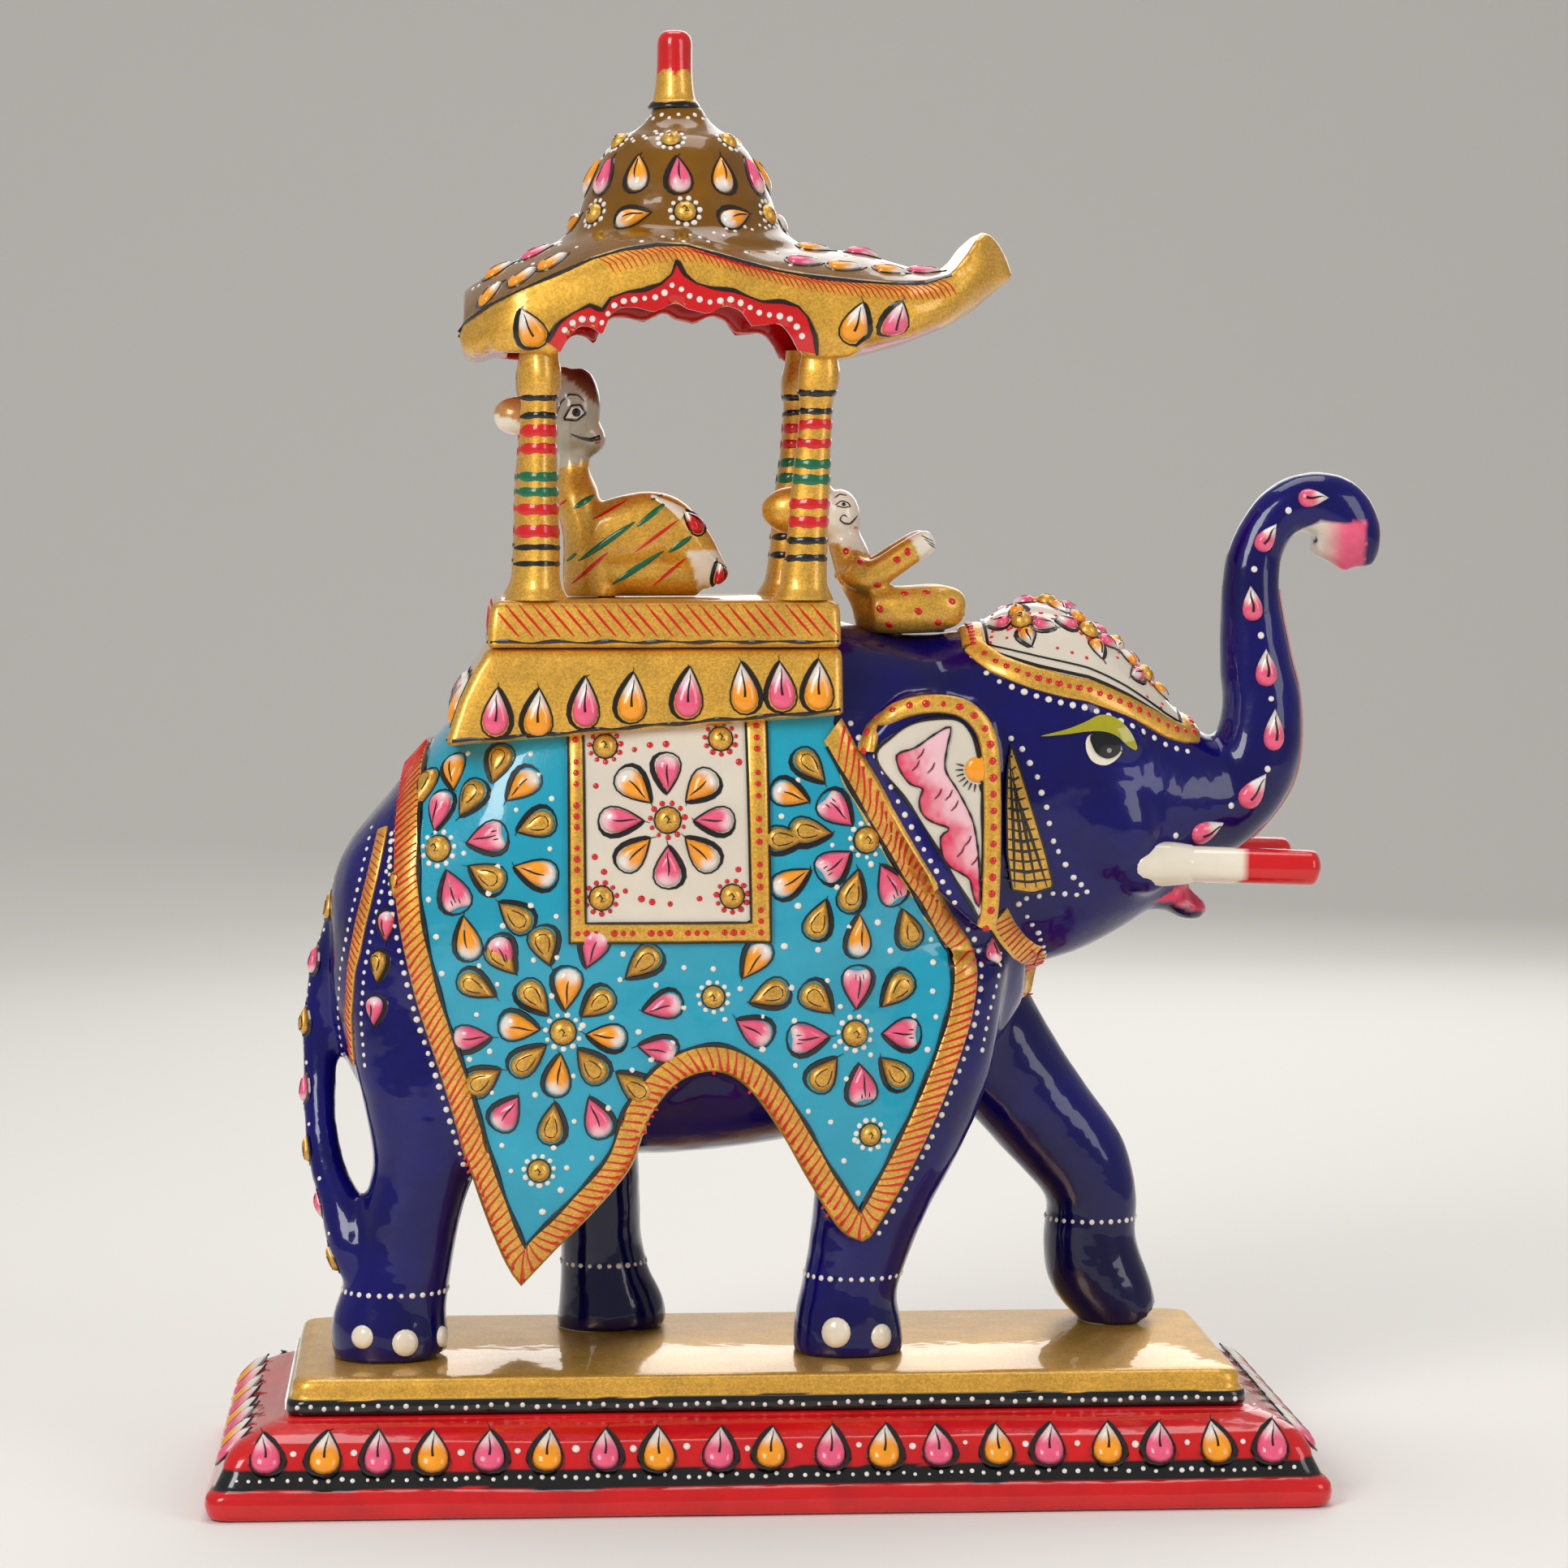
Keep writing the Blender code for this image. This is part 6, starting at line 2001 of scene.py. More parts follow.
ROOF_EDGE = [
    (-51.4, 196.6), (-50.3, 198.2), (-46.0, 201.0), (-40.0, 203.8), (-33.9, 206.5), (-29.0, 208.6), (-23.6, 210.2),
    (-18.1, 211.0), (-13.2, 210.9), (-8.3, 209.5), (-3.5, 208.1), (2.6, 206.6), (8.7, 205.6), (14.8, 205.0),
    (21.0, 204.6), (27.1, 204.8), (32.0, 206.2), (34.5, 209.0), (36.5, 212.2), (38.4, 214.0), (40.6, 212.4),
    (42.6, 209.4), (43.6, 206.4),
]
EAVES_LOW = [
    (-51.4, 195.4), (-50.6, 192.6), (-48.2, 191.6), (-45.5, 192.8), (-41.5, 192.6), (-36.2, 192.7), (7.4, 191.9),
    (12.9, 191.8), (18.4, 193.0), (25.2, 194.8), (32.0, 197.5), (36.9, 200.6), (40.6, 203.6), (43.6, 206.0),
]
ARCH_EDGE = [
    (-36.4, 190.0), (-34.4, 192.9), (-32.8, 195.7), (-31.2, 197.4), (-29.1, 197.1), (-27.4, 195.7), (-26.0, 199.2),
    (-24.2, 200.4), (-21.8, 200.4), (-18.7, 199.6), (-16.0, 200.8), (-15.0, 201.5), (-13.3, 200.2), (-9.6, 199.3),
    (-6.6, 200.8), (-4.1, 199.9), (-2.3, 197.3), (0.2, 197.5), (2.6, 197.8), (4.4, 195.6), (5.6, 193.2), (7.2, 190.0),
]
ARCH_BAND_TOP = [
    (-36.6, 194.6), (-34.8, 197.7), (-32.1, 199.5), (-29.5, 200.7), (-27.5, 199.8), (-26.0, 201.9), (-23.3, 202.9),
    (-20.5, 203.2), (-17.5, 204.3), (-15.7, 205.9), (-14.8, 208.4), (-13.6, 205.9), (-11.7, 204.4), (-9.0, 203.6),
    (-5.3, 203.2), (-2.9, 202.2), (-0.5, 201.3), (2.9, 201.4), (5.6, 200.5), (7.2, 198.7), (8.4, 195.7), (8.8, 192.6),
]
DOME_PROFILE = [
    (0.5, 236.2), (4.2, 236.0), (4.7, 234.6), (5.6, 233.2), (7.6, 231.6), (10.4, 230.2), (12.6, 227.8), (14.0, 225.2),
    (15.3, 222.6), (16.3, 220.0), (17.2, 217.0), (18.6, 214.2), (21.2, 212.2), (22.4, 209.0), (22.0, 205.6), (0.5, 205.4),
]


def plan_half(x):
    """Half width of the roof in plan, drawn in to a blunt prow at both ends."""
    if x > 20.0:
        return 27.0 * (1.0 - 0.60 * ((x - 20.0) / 24.0) ** 2)
    if x < -40.0:
        return 27.0 * (1.0 - 0.40 * ((-40.0 - x) / 11.5) ** 2)
    return 27.0


def wall_half(x, z):
    """Half width of the bowed outer wall at a height."""
    top = interpolate(ROOF_EDGE, x)
    low = interpolate(EAVES_LOW, x)
    t = min(max((z - low) / max(top - low, 1.0), 0.0), 1.0)
    return plan_half(x) - 1.7 * (2 * t - 0.9) ** 2


def roof_crown(x):
    return 6.2 if x < 18.0 else max(6.2 - 0.33 * (x - 18.0), 0.3)


def roof_solid():
    sections = []
    for k in range(61):
        x = -50.6 + 93.4 * k / 60
        half = plan_half(x) - 1.2
        top = interpolate(ROOF_EDGE, x)
        crown = roof_crown(x)
        ring = [Vector((x, half * j / 8, top + crown * (1 - (j / 8) ** 2))) for j in range(-8, 9)]
        ring += [Vector((x, half * j / 8, top - 2.8 + crown * (1 - (j / 8) ** 2))) for j in range(8, -9, -1)]
        sections.append(ring)
    return loft(sections)


def prow_solid(start, end, steps):
    """Solid end of the roof, from its lower to its upper edge."""
    sections = []
    for k in range(steps + 1):
        x = start + (end - start) * k / steps
        top = interpolate(ROOF_EDGE, x) - 0.1
        low = interpolate(EAVES_LOW, x) + 0.1
        ring = []
        for j in range(40):
            angle = 2 * math.pi * j / 40
            c, s = math.cos(angle), math.sin(angle)
            z = (top + low) / 2 + (top - low) / 2 * math.copysign(abs(s) ** 0.55, s)
            y = (wall_half(x, z)) * math.copysign(abs(c) ** 0.35, c)
            ring.append(Vector((x, y, z)))
        sections.append(ring)
    return loft(sections)


def wall_solid(side):
    top = [(x, z - 0.1) for x, z in ROOF_EDGE if -47.0 < x < 20.0]
    low = [(12.9, 191.8), (7.4, 191.9)] + [(x, max(z, 192.0)) for x, z in reversed(ARCH_EDGE)] + \
          [(-36.4, 192.7), (-41.5, 192.7), (-45.5, 193.0)]
    outline = [tuple(p) for p in even_path(top + [(16.0, 192.6)] + low + [top[0]], 0.9)[:-1]]

    def place(x, z):
        return Vector((x, side * wall_half(x, z), z)), Vector((0, side, 0))

    return sheet(outline, 1.4, place, 0.0, 3.2)


def canopy_tint(position, normal):
    x, y, z = position
    edge = interpolate(ROOF_EDGE, x)
    half = plan_half(x)
    if (x - 32.5) + (z - 208.0) * 0.5 > 0 and z > 205.5:
        return GOLD
    if abs(y) > half - 3.3 and z < edge + 0.1 and (normal.y * y > 0 or normal.z > 0.2):
        return GOLD
    if x < -48.5 and z < edge + 0.3 and normal.x < -0.3:
        return GOLD
    if x > 30.0 and z < edge and normal.x > 0.2 and abs(y) > half - 9:
        return GOLD
    if normal.z < 0.25 and z < edge + roof_crown(x) - 1.4:
        return mix(RED, BLACK, 0.15)
    return BROWN


def build_canopy():
    solids = [roof_solid(), prow_solid(11.5, 43.4, 30), prow_solid(-51.2, -43.0, 10), wall_solid(RIGHT), wall_solid(LEFT),
              turned(DOME_PROFILE, (DOME_X, 0, 0), 48)]
    mesh = melt("canopy", solids, 0.72, 5, 0.15)
    tint_mesh(mesh, canopy_tint)
    item = register("canopy_carving", mesh, ENAMEL["ochre"], ("canopy",))
    return Surface(mesh)


def wall_path(points, side, spacing, height):
    out = []
    for spot in even_path(points, spacing):
        point = Vector((spot.x, side * wall_half(spot.x, spot.y), spot.y))
        hit = CANOPY.ray(point + Vector((0, side * 6, 0)), Vector((0, -side, 0)))
        if hit and abs(hit[0].y - point.y) < 2.5:
            out.append((hit[0] + hit[1] * height, hit[1]))
        else:
            out.append((point + Vector((0, side * height, 0)), Vector((0, side, 0))))
    return out


def build_canopy_walls(side, tag):
    """Red cusped band, black and red brush lines, and the drops on one long wall."""
    band = Piece()
    outline = [tuple(p) for p in even_path(ARCH_EDGE[1:-1] + ARCH_BAND_TOP[::-1] + [ARCH_EDGE[1]], 0.8)[:-1]]

    def place(x, z):
        hit = CANOPY.ray(Vector((x, side * 40.0, z)), Vector((0, -side, 0)))
        want = wall_half(x, z)
        if hit and abs(abs(hit[0].y) - want) < 1.2:
            return hit[0], Vector((0, side, 0))
        return Vector((x, side * want, z)), Vector((0, side, 0))

    verts, faces = sheet(outline, 1.0, place, 0.32, 1.2)
    band.add(verts, faces, RED)
    band.finish("arch_band_" + tag, ENAMEL["red"], "red_lacquer")

    lines = Piece()
    dots = Piece()
    drops = Piece()
    upper = wall_path(ARCH_BAND_TOP, side, 0.8, 0.25)
    add_ribbon(lines, upper, [0.36 + 0.16 * math.sin(k * 0.55) for k in range(len(upper))], 0.3, BLACK)
    edge = [(x, z - 0.1) for x, z in ROOF_EDGE if x < 33.0]
    fringe_line = wall_path(edge, side, 1.0, 0.0)
    add_ribbon(lines, fringe_line, [0.34 + 0.14 * math.sin(k * 0.4) for k in range(len(fringe_line))], 0.2, BLACK)
    for point, _ in fringe_line[2:-2]:
        if point.x > -28.0:
            x, z = point.x, point.z
            stroke = wall_path([(x, z - 0.3), (x + 1.6, z - 1.1), (x + 2.6, z - 2.8)], side, 0.9, 0.0)
            add_ribbon(lines, stroke, brush(len(stroke), 0.16, 0.15), 0.13, RED)
    middle = []
    for k in range(len(ARCH_EDGE) * 3):
        t = k / (len(ARCH_EDGE) * 3 - 1)
        low = even_path(ARCH_EDGE[2:-2], 0.5)
        high = even_path(ARCH_BAND_TOP[1:-1], 0.5)
        a = Vector(low[int(t * (len(low) - 1))])
        b = Vector(high[int(t * (len(high) - 1))])
        middle.append(tuple(a.lerp(b, 0.45)))
    for point, normal in wall_path(middle, side, 1.75, 0.3):
        add_dot(dots, point, normal, 0.56, WHITE)
    for x, z, kind, angle in ((-39.6, 197.0, "amber", -25), (15.4, 198.0, "amber", 18), (22.3, 198.3, "rose", 14)):
        angle = angle if side == RIGHT else -angle
        path = wall_path([(x, z), (x + 0.5, z)], side, 0.5, 0.0)
        spot = Spot(CANOPY, path[0][0], path[0][1], angle)
        add_drop(drops, lines, spot, kind, 4.4, 7.4, 1.1)
    lines.finish("canopy_wall_brushwork_" + tag, ENAMEL["lines"], "black_paint")
    dots.finish("arch_dots_" + tag, ENAMEL["dots"], "ivory_lacquer", angle=60)
    drops.finish("canopy_wall_drops_" + tag, ENAMEL["drops"], "pink_paint", angle=60)


def on_dome(angle, z):
    """Point on the dome at an angle (0 faces the right-hand side, 90 faces the rear)."""
    turn = math.radians(angle)
    out = Vector((-math.sin(turn), -math.cos(turn), 0))
    centre = Vector((DOME_X, 0, z))
    return CANOPY.ray(centre + out * 40, -out) or CANOPY.near(centre + out * 17)


def build_dome_ornament():
    drops = Piece()
    lines = Piece()
    dots = Piece()
    gilt = Piece()
    for k in range(12):
        kind = ("pink", "orange")[k % 2]
        point, normal = on_dome(30.0 * k + RNG.uniform(-2, 2), 223.8 + RNG.uniform(-0.4, 0.4))
        spot = Spot(CANOPY, point, normal, RNG.uniform(-8, 8))
        add_drop(drops, lines, spot, kind, 3.8, 6.8, 1.1)
    for k in range(6):
        point, normal = on_dome(60.0 * k + 8, 229.6)
        add_button(gilt, dots, lines, Spot(CANOPY, point, normal), radius=1.7, height=1.1)
        point, normal = on_dome(60.0 * k - 2, 216.9)
        add_button(gilt, dots, lines, Spot(CANOPY, point, normal), radius=1.9, height=1.3)
        point, normal = on_dome(60.0 * k + 28, 216.0)
        add_drop(drops, lines, Spot(CANOPY, point, normal, 75), "orange", 3.6, 6.4, 1.1)
    for k in range(20):
        point, normal = on_dome(18.0 * k, 233.6 if k % 2 else 234.2)
        add_dot(dots, point, normal, 0.42, WHITE)
    for k in range(70):
        angle = 360.0 * ((k * 0.618) % 1.0)
        z = 211.5 + 20.0 * ((k * 0.383) % 1.0)
        point, normal = on_dome(angle, z)
        add_dot(dots, point, normal, 0.4, WHITE)
    for side in (RIGHT, LEFT):
        for x, y, kind, angle in ((-35.5, 20.0, "amber", 70), (-40.6, 20.5, "amber", 65), (-46.0, 18.5, "amber", 60),
                                  (7.0, 20.0, "rose", 85), (14.0, 20.0, "amber", 88), (22.0, 18.5, "amber", 92),
                                  (28.0, 14.0, "rose", 92), (-38.0, 8.0, "rose", 70), (-44.5, 8.0, "amber", 62),
                                  (9.5, 8.0, "amber", 85), (18.0, 7.0, "rose", 90)):
            hit = CANOPY.ray(Vector((x, side * y, 250.0)), Vector((0, 0, -1)))
            spot = Spot(CANOPY, hit[0], hit[1], angle if side == RIGHT else -angle, up=Vector((0, -side, 0.2)))
            add_drop(drops, lines, spot, kind, 3.4, 6.0, 1.0)
        for k in range(40):
            x = -49.0 + 82.0 * ((k * 0.618) % 1.0)
            y = 4.0 + 19.0 * ((k * 0.414 + 0.2) % 1.0)
            if y > plan_half(x) - 4 or (x - DOME_X) ** 2 + y * y < 22.0 ** 2:
                continue
            hit = CANOPY.ray(Vector((x, side * y, 250.0)), Vector((0, 0, -1)))
            if hit:
                add_dot(dots, hit[0], hit[1], 0.42, WHITE)
    drops.finish("roof_drops", ENAMEL["drops"], "pink_paint", angle=60)
    lines.finish("roof_brushwork", ENAMEL["lines"], "black_paint")
    dots.finish("roof_dots", ENAMEL["dots"], "ivory_lacquer", angle=60)
    gilt.finish("roof_bosses", ENAMEL["gold"], "gold_paint", angle=60)


def build_finial():
    low, high = node_box("finial")
    centre = Vector(((low.x + high.x) / 2, 0, 0))
    profile = [(235.4, 4.35), (235.8, 4.55), (236.5, 4.2), (237.2, 3.7), (238.6, 3.35), (240.6, 3.15), (242.6, 3.02),
               (245.0, 3.0), (247.0, 2.95), (248.2, 2.5), (248.8, 1.7), (high.z, 0.5)]
    spike = Piece()
    rings = []
    tints = []
    for z, radius in spline(profile, 6):
        ring = []
        for k in range(32):
            angle = 2 * math.pi * k / 32
            lump = 1 + 0.02 * math.cos(3 * angle + z * 0.2)
            ring.append(centre + Vector((math.cos(angle) * radius * lump, math.sin(angle) * radius * lump, z)))
            edge = 241.8 + 0.35 * math.sin(5 * angle) + 0.2 * math.sin(9 * angle)
            tints.append(RED if z > edge else BLACK if z < 236.5 + 0.15 * math.sin(4 * angle) else GOLD)
        rings.append(ring)
    spike.add(*loft(rings), tints)
    spike.finish("finial_carving", ENAMEL["gold"], "gold_paint", ("finial",))


# ---------------------------------------------------------------- figures

RIDER_FACE = (-31.0, 175.2)


def rider_tint(position, normal):
    x, y, z = position
    if z > 174.6 + 0.25 * (x + 30.0):
        if x < -37.5:
            return paint(206, 150, 84, 0.5) if z > 181.8 - 0.3 * (x + 42.0) else IVORY
        hair = z - 187.4 + 0.9 * (x + 31.0)
        if hair > 0 and x > -36.5:
            return mix(paint(132, 84, 50), paint(72, 42, 24), min(hair / 3, 1.0))
        if x < -34.8:
            return paint(52, 30, 20)
        return mix(paint(206, 196, 176), paint(128, 124, 100), max(0.0, 0.6 - normal.z * 0.8) * 0.7)
    if x > -10.2 - 0.3 * (z - 152.0) and z < 159.6:
        return IVORY
    return GOLD


def build_rider():
    low, high = node_box("rider_figure")
    floor = low.z
    solids = [
        ball((-31.4, 0.0, 183.0), (4.4, 4.9, 8.0), tilt=0.12),
        ball((-33.4, 0.0, 187.0), (2.6, 4.0, 4.2)),
        ball((-28.6, 0.0, 178.6), (2.6, 3.6, 3.0)),
        ball((-41.4, 0.0, 182.6), (4.3, 4.0, 3.4)),
        ball((-37.0, 0.0, 183.4), (3.6, 4.6, 5.0)),
        loft(limb_rings([
            (-31.2, 0.0, 178.0, 2.6, 2.9), (-31.6, 0.0, 173.4, 2.7, 3.2), (-31.2, 0.0, 169.0, 3.9, 6.2),
            (-30.2, 0.0, 164.0, 3.6, 7.6), (-28.8, 0.0, 159.0, 4.8, 8.2), (-28.4, 0.0, 154.0, 5.2, 8.6),
            (-28.4, 0.0, 151.0, 4.6, 8.4),
        ])),
        loft(limb_rings([
            (-26.0, 0.0, 155.0, 3.6, 8.2), (-18.0, 0.0, 155.0, 3.8, 8.0), (-10.0, 0.0, 154.2, 3.0, 6.6),
        ])),
    ]
    for side in (RIGHT, LEFT):
        solids.append(loft(limb_rings([
            (-28.0, side * 3.6, 160.5, 6.6, 4.8), (-22.0, side * 3.9, 161.6, 7.4, 4.9),
            (-17.0, side * 4.0, 162.4, 6.9, 4.6), (-13.0, side * 4.0, 160.4, 5.2, 4.2),
            (-9.6, side * 4.0, 157.0, 3.8, 3.6), (-6.8, side * 4.0, 154.4, 2.5, 3.0),
        ])))
    mesh = melt("rider", solids, 0.62, 4, 0.14, floor=floor)
    tint_mesh(mesh, rider_tint)
    register("rider_carving", mesh, ENAMEL["figures"], ("rider_figure",))
    surface = Surface(mesh)

    lines = Piece()
    for side in (RIGHT, LEFT):
        def path(points, spacing=0.7, lift=0.0, side=side):
            out = []
            for spot in even_path(points, spacing):
                point, normal = surface.side(spot.x, spot.y, side)
                out.append((point + normal * lift, normal))
            return out

        for a, b, tint, half in (
                ((-31.8, 166.6), (-28.3, 168.9), GREEN, 0.5), ((-28.5, 164.7), (-22.6, 168.0), RED, 0.3),
                ((-31.0, 157.6), (-21.4, 164.3), GREEN, 0.55), ((-21.0, 163.5), (-15.9, 167.7), GREEN, 0.5),
                ((-25.2, 153.6), (-16.4, 159.3), GREEN, 0.55), ((-15.5, 159.1), (-11.6, 161.8), GREEN, 0.5),
                ((-32.9, 157.6), (-31.4, 158.9), GREEN, 0.35), ((-21.4, 159.1), (-13.8, 164.7), RED, 0.3),
                ((-32.1, 153.7), (-26.0, 159.1), RED, 0.35), ((-18.2, 153.4), (-12.4, 158.2), RED, 0.28),
                ((-34.0, 167.3), (-33.0, 168.1), RED, 0.25), ((-18.5, 168.0), (-16.6, 168.9), GREEN, 0.25)):
            stroke = path([a, b])
            add_ribbon(lines, stroke, brush(len(stroke), half * 1.3, 0.2), 0.15, tint)
        eye = [(-33.4, 182.1), (-32.2, 184.3), (-30.6, 184.4), (-29.6, 183.0), (-31.2, 181.7), (-33.4, 181.9)]
        white = [(-33.0, 182.2), (-32.1, 183.9), (-30.7, 184.0), (-30.0, 183.0), (-31.2, 182.1)]
        verts, faces = sheet(white, 0.5, lambda x, z, side=side: surface.side(x, z, side), 0.12, 0.3)
        lines.add(verts, faces, IVORY)
        point, normal = surface.side(-31.3, 183.1, side)
        add_dome(lines, Spot(surface, point, normal, lift=0.1), 0.8, 0.22, BLACK, sides=12)
        stroke = path(eye, 0.4, 0.05)
        add_ribbon(lines, stroke, 0.22, 0.16, BLACK)
        stroke = path([(-34.6, 182.9), (-33.9, 184.9), (-32.5, 186.2), (-31.0, 186.1), (-29.9, 185.0)], 0.5)
        add_ribbon(lines, stroke, brush(len(stroke), 0.2), 0.15, BLACK)
        stroke = path([(-32.2, 179.4), (-30.5, 178.7), (-28.8, 178.4), (-27.2, 178.8)], 0.5)
        add_ribbon(lines, stroke, [0.12 + 0.45 * k / max(len(stroke) - 1, 1) for k in range(len(stroke))], 0.15, BLACK)
        lip = path([(-28.0, 177.9), (-27.2, 178.0)], 0.4)
        add_ribbon(lines, lip, 0.25, 0.14, RED)
        for bx, bz, tilt in ((-11.2, 164.4, -38), (-6.4, 155.4, -20)):
            point, normal = surface.side(bx, bz, side)
            spot = Spot(surface, point, normal, tilt if side == RIGHT else -tilt)
            add_drop(lines, lines, spot, "cherry", 3.6, 4.8, 1.0)
        cuff = path([(-18.4, 168.8), (-15.4, 167.3), (-12.9, 165.6)], 0.6)
        add_ribbon(lines, cuff, [0.4 + 0.9 * k / max(len(cuff) - 1, 1) for k in range(len(cuff))], 0.16, IVORY)
    lines.finish("rider_paintwork", ENAMEL["dots"], "red_lacquer", angle=60)


def mahout_tint(position, normal):
    x, y, z = position
    if z > 160.6 - 0.3 * (x - 13.0) and x < 19.0:
        return IVORY if x > 11.4 + 0.3 * (z - 165.0) else GOLD
    if x > 27.0 - 0.45 * (z - 160.0) and z > 156.6:
        return IVORY
    return GOLD


def build_mahout():
    low, high = node_box("mahout_figure")
    solids = [
        ball((14.6, 0.0, 165.0), (3.6, 4.4, 5.0)),
        loft(limb_rings([
            (13.0, 0.0, 166.4, 4.8, 4.6), (8.0, 0.0, 166.3, 4.5, 4.4), (4.4, 0.0, 166.2, 3.9, 3.8),
            (2.2, 0.0, 166.1, 2.6, 2.6), (1.0, 0.0, 166.0, 1.2, 1.2),
        ])),
        loft(limb_rings([
            (15.0, 0.0, 162.4, 2.7, 2.9), (16.2, 0.0, 159.0, 3.2, 5.6), (17.6, 0.0, 155.0, 3.4, 6.2),
            (19.6, 0.0, 150.6, 3.2, 5.8), (20.8, 0.0, 147.0, 3.6, 5.6), (21.0, 0.0, 145.4, 3.4, 5.4),
        ])),
        loft(limb_rings([(21.0, 0.0, 147.4, 2.6, 6.0), (27.0, 0.0, 147.4, 2.6, 6.4), (33.0, 0.0, 147.2, 2.2, 5.6)])),
    ]
    for side in (RIGHT, LEFT):
        solids.append(loft(limb_rings([
            (15.4, side * 5.4, 156.8, 2.7, 2.5), (18.4, side * 6.0, 154.8, 2.7, 2.5), (21.6, side * 6.2, 156.0, 2.4, 2.4),
            (25.6, side * 6.0, 158.6, 2.3, 2.3), (29.2, side * 5.6, 160.8, 2.2, 2.2), (30.4, side * 5.5, 161.5, 1.6, 1.6),
        ])))
        solids.append(loft(limb_rings([
            (19.6, side * 4.6, 149.0, 4.0, 4.2), (26.0, side * 5.8, 149.0, 4.1, 3.9), (31.6, side * 5.6, 149.4, 4.0, 3.7),
            (34.6, side * 5.2, 149.6, 3.2, 3.0), (36.0, side * 5.0, 149.6, 1.8, 1.8),
        ])))
    mesh = melt("mahout", solids, 0.62, 4, 0.14, floor=low.z)
    tint_mesh(mesh, mahout_tint)
    register("mahout_carving", mesh, ENAMEL["figures"], ("mahout_figure",))
    surface = Surface(mesh)
    lines = Piece()
    for side in (RIGHT, LEFT):
        def path(points, spacing=0.5, side=side):
            return [surface.side(p.x, p.y, side) for p in even_path(points, spacing)]

        for x, z in ((15.3, 159.2), (17.7, 157.3), (24.0, 160.4), (25.6, 162.0), (20.9, 149.3), (27.5, 148.9),
                     (25.2, 152.0), (29.0, 152.2), (33.4, 150.6), (31.0, 146.9), (22.5, 146.6), (20.6, 153.4)):
            point, normal = surface.side(x, z, side)
            add_dome(lines, Spot(surface, point, normal, RNG.uniform(0, 90)), 0.62, 0.2, RED, sides=10, squash=1.25)
        moustache = path([(14.6, 165.3), (14.3, 164.6), (15.0, 164.0), (16.1, 163.9), (16.8, 164.6), (17.4, 165.3)], 0.35)
        add_ribbon(lines, moustache, brush(len(moustache), 0.24), 0.16, BLACK)
        curl = path([(14.5, 165.2), (15.0, 165.5), (15.6, 165.1)], 0.3)
        add_ribbon(lines, curl, brush(len(curl), 0.16), 0.14, BLACK)
        add_ribbon(lines, path([(16.9, 163.3), (17.4, 163.2)], 0.3), 0.28, 0.15, PINK)
        eye = path([(13.6, 167.2), (14.6, 167.9), (15.7, 167.6), (16.2, 166.9), (15.0, 166.7), (13.8, 167.0)], 0.35)
        add_ribbon(lines, eye, 0.12, 0.14, BLACK)
        point, normal = surface.side(15.0, 167.3, side)
        add_dome(lines, Spot(surface, point, normal), 0.38, 0.18, BLACK, sides=10)
        brow = path([(13.4, 168.4), (14.4, 169.0), (15.6, 168.8)], 0.4)
        add_ribbon(lines, brow, brush(len(brow), 0.14), 0.14, BLACK)
        for k in range(3):
            finger = path([(28.2 + 0.5 * k, 161.9 - 0.6 * k), (30.2 + 0.25 * k, 160.9 - 0.6 * k)], 0.5)
            add_ribbon(lines, finger, brush(len(finger), 0.12), 0.12, BLACK)
    lines.finish("mahout_paintwork", ENAMEL["dots"], "red_lacquer", angle=60)


def build_wood():
    """Procedural beech for the hidden dowels and pegs."""
    material = bpy.data.materials.new("beech")
    material.use_nodes = True
    tree = material.node_tree
    shader = tree.nodes["Principled BSDF"]
    place = node(tree, "ShaderNodeTexCoord")
    stretch = node(tree, "ShaderNodeMapping")
    stretch.inputs["Scale"].default_value = (1400.0, 1400.0, 60.0)
    grain = node(tree, "ShaderNodeTexNoise")
    grain.inputs["Scale"].default_value = 1.0
    grain.inputs["Detail"].default_value = 4.0
    ramp = node(tree, "ShaderNodeValToRGB")
    ramp.color_ramp.elements[0].color = (0.36, 0.20, 0.09, 1.0)
    ramp.color_ramp.elements[1].color = (0.62, 0.42, 0.24, 1.0)
    bump = node(tree, "ShaderNodeBump")
    bump.inputs["Distance"].default_value = 0.0002
    tree.links.new(place.outputs["Object"], stretch.inputs["Vector"])
    tree.links.new(stretch.outputs["Vector"], grain.inputs["Vector"])
    tree.links.new(grain.outputs["Fac"], ramp.inputs["Fac"])
    tree.links.new(ramp.outputs["Color"], shader.inputs["Base Color"])
    tree.links.new(grain.outputs["Fac"], bump.inputs["Height"])
    tree.links.new(bump.outputs["Normal"], shader.inputs["Normal"])
    shader.inputs["Roughness"].default_value = 0.62
    for name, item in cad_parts.items():
        if "dowel" in name or "peg" in name:
            for slot in item.material_slots:
                slot.material = material


DOME_X = -13.6

build_base()
build_saddle()
build_platform()
for pillar_end, pillar_lean in (("rear", 0.3), ("front", 1.4)):
    for flank in (RIGHT, LEFT):
        build_pillar(pillar_end, flank, pillar_lean)
CANOPY = build_canopy()
for flank, flank_tag in ((RIGHT, "right"), (LEFT, "left")):
    build_canopy_walls(flank, flank_tag)
build_dome_ornament()
build_finial()
build_rider()
build_mahout()
build_wood()


# ---------------------------------------------------------------- stage

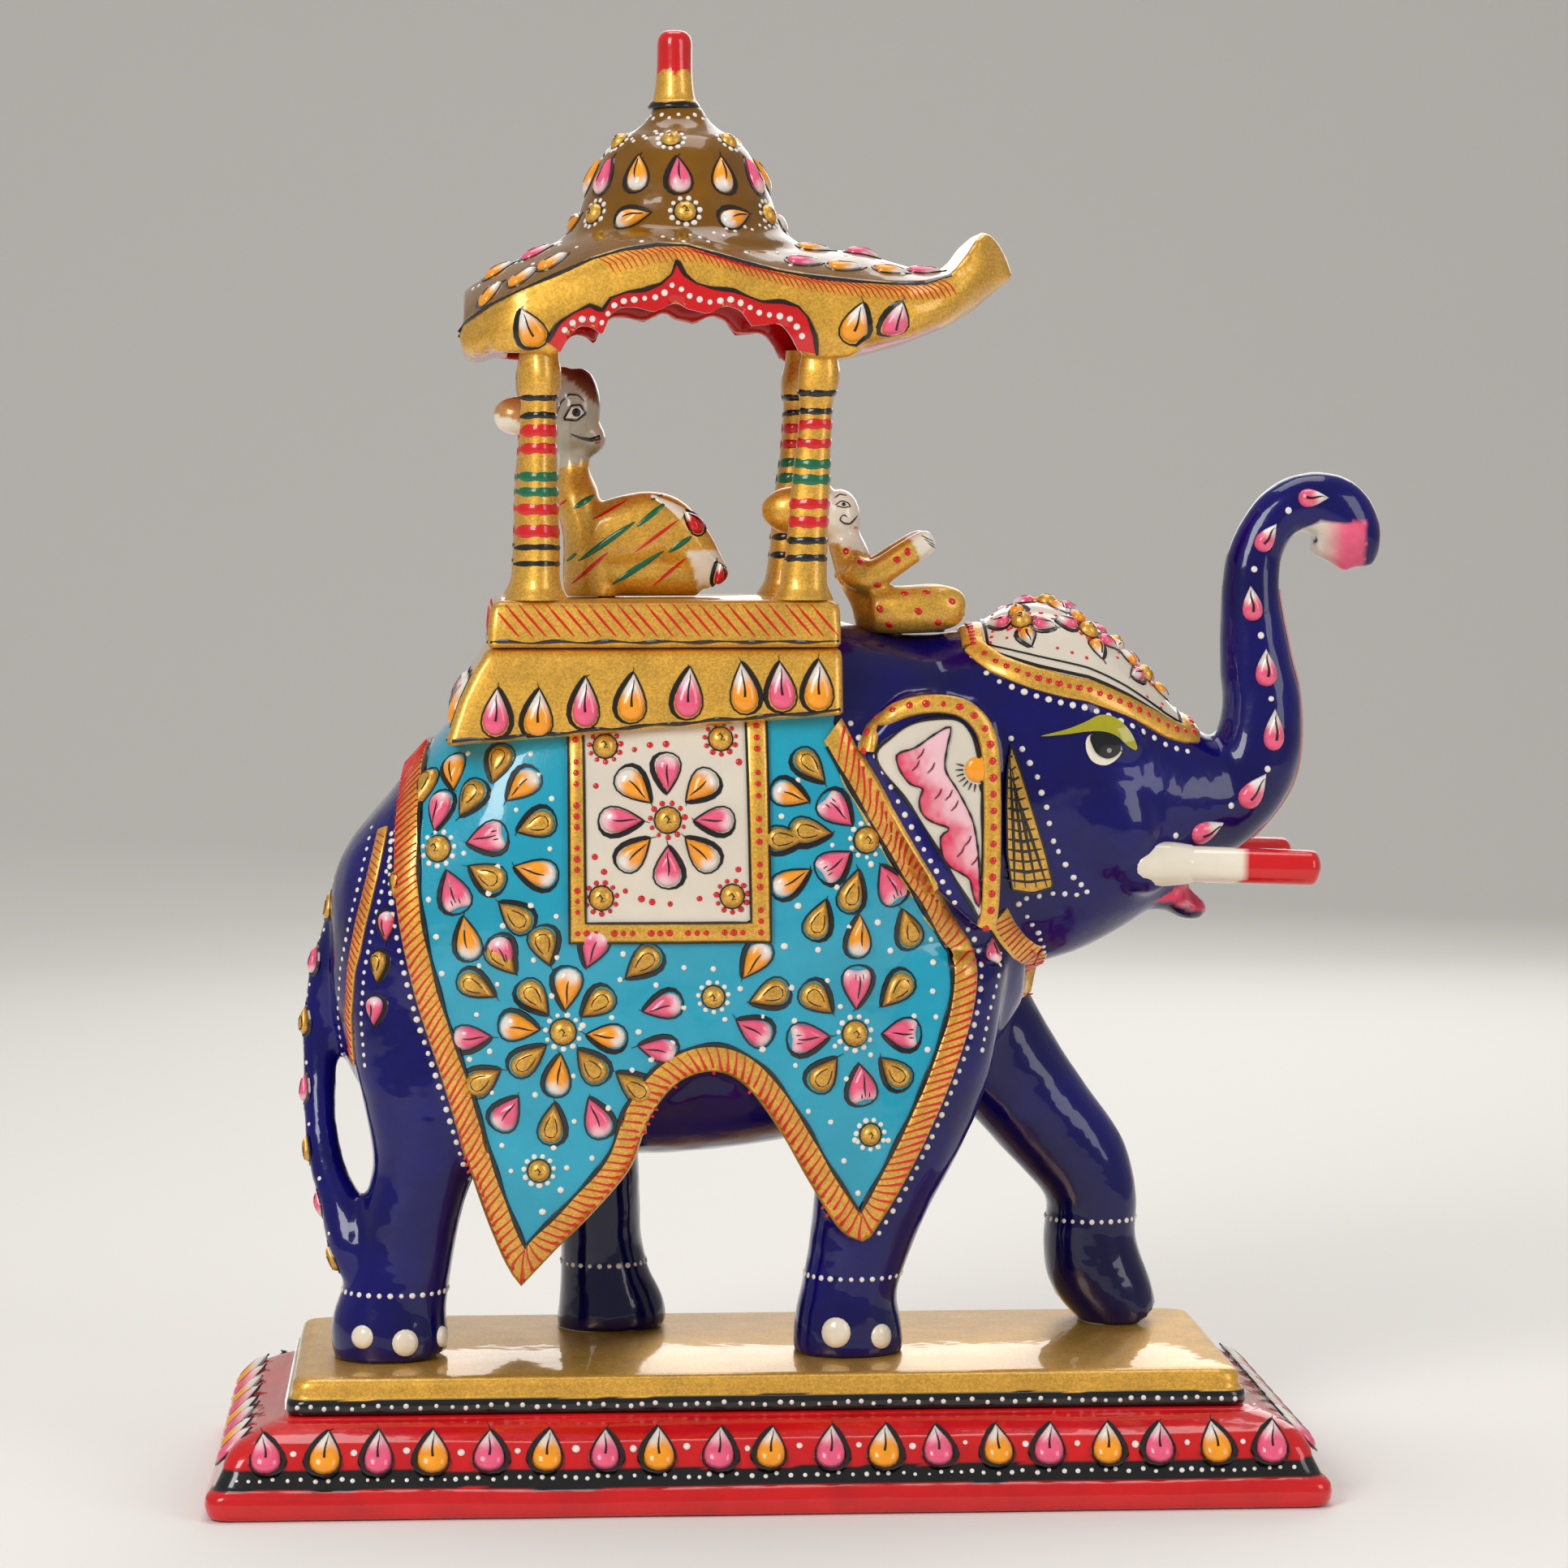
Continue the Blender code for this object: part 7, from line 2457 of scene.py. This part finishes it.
def build_stage():
    """Pale paper that sweeps up behind the object."""
    bm = bmesh.new()
    profile = [(-3.0, 0.0), (0.9, 0.0)]
    for k in range(1, 13):
        angle = math.pi / 2 * k / 12
        profile.append((0.9 + 0.8 * math.sin(angle), 0.8 - 0.8 * math.cos(angle)))
    profile.append((1.7, 3.0))
    rows = [[bm.verts.new((x, y, z - 0.0001)) for x in (-4.0, 4.0)] for y, z in profile]
    for low, high in zip(rows, rows[1:]):
        bm.faces.new((low[0], low[1], high[1], high[0]))
    mesh = bpy.data.meshes.new("floor")
    bm.to_mesh(mesh)
    bm.free()
    mesh.shade_smooth()
    floor = bpy.data.objects.new("floor", mesh)
    bpy.context.collection.objects.link(floor)
    material = bpy.data.materials.new("floor_paper")
    material.use_nodes = True
    shader = material.node_tree.nodes["Principled BSDF"]
    shader.inputs["Base Color"].default_value = (0.86, 0.83, 0.79, 1.0)
    shader.inputs["Roughness"].default_value = 0.8
    floor.data.materials.append(material)

    world = bpy.data.worlds.new("studio")
    bpy.context.scene.world = world
    world.use_nodes = True
    back = world.node_tree.nodes["Background"]
    back.inputs["Color"].default_value = (0.86, 0.85, 0.84, 1.0)
    back.inputs["Strength"].default_value = 0.4

    def softbox(name, location, size, power, target=(0.0, 0.0, 0.12)):
        data = bpy.data.lights.new(name, "AREA")
        data.shape = "RECTANGLE"
        data.size = size[0]
        data.size_y = size[1]
        data.energy = power
        item = bpy.data.objects.new(name, data)
        item.location = location
        aim = Vector(target) - Vector(location)
        item.rotation_euler = aim.to_track_quat("-Z", "Y").to_euler()
        bpy.context.collection.objects.link(item)

    softbox("key_softbox", (-0.55, -0.75, 0.62), (0.35, 0.5), 5.2)
    softbox("fill_softbox", (0.75, -0.65, 0.45), (0.4, 0.6), 2.3)
    softbox("top_softbox", (0.0, 0.15, 0.95), (0.6, 0.5), 3.0)
    softbox("back_softbox", (0.2, 0.8, 0.5), (0.6, 0.6), 2.0)


def build_camera():
    yaw = math.radians(3.66)
    pitch = math.radians(3.477)
    data = bpy.data.cameras.new("view")
    data.sensor_width = 36.0
    data.lens = 36.0 * 6024.0 / 1932.0
    data.clip_start = 0.01
    camera = bpy.data.objects.new("view", data)
    camera.location = (-0.0495, -0.850, 0.1703)
    camera.rotation_euler = (math.pi / 2 - pitch, 0.0, -yaw)
    bpy.context.collection.objects.link(camera)
    bpy.context.scene.camera = camera


build_stage()
build_camera()
bpy.context.scene.view_settings.view_transform = "Standard"
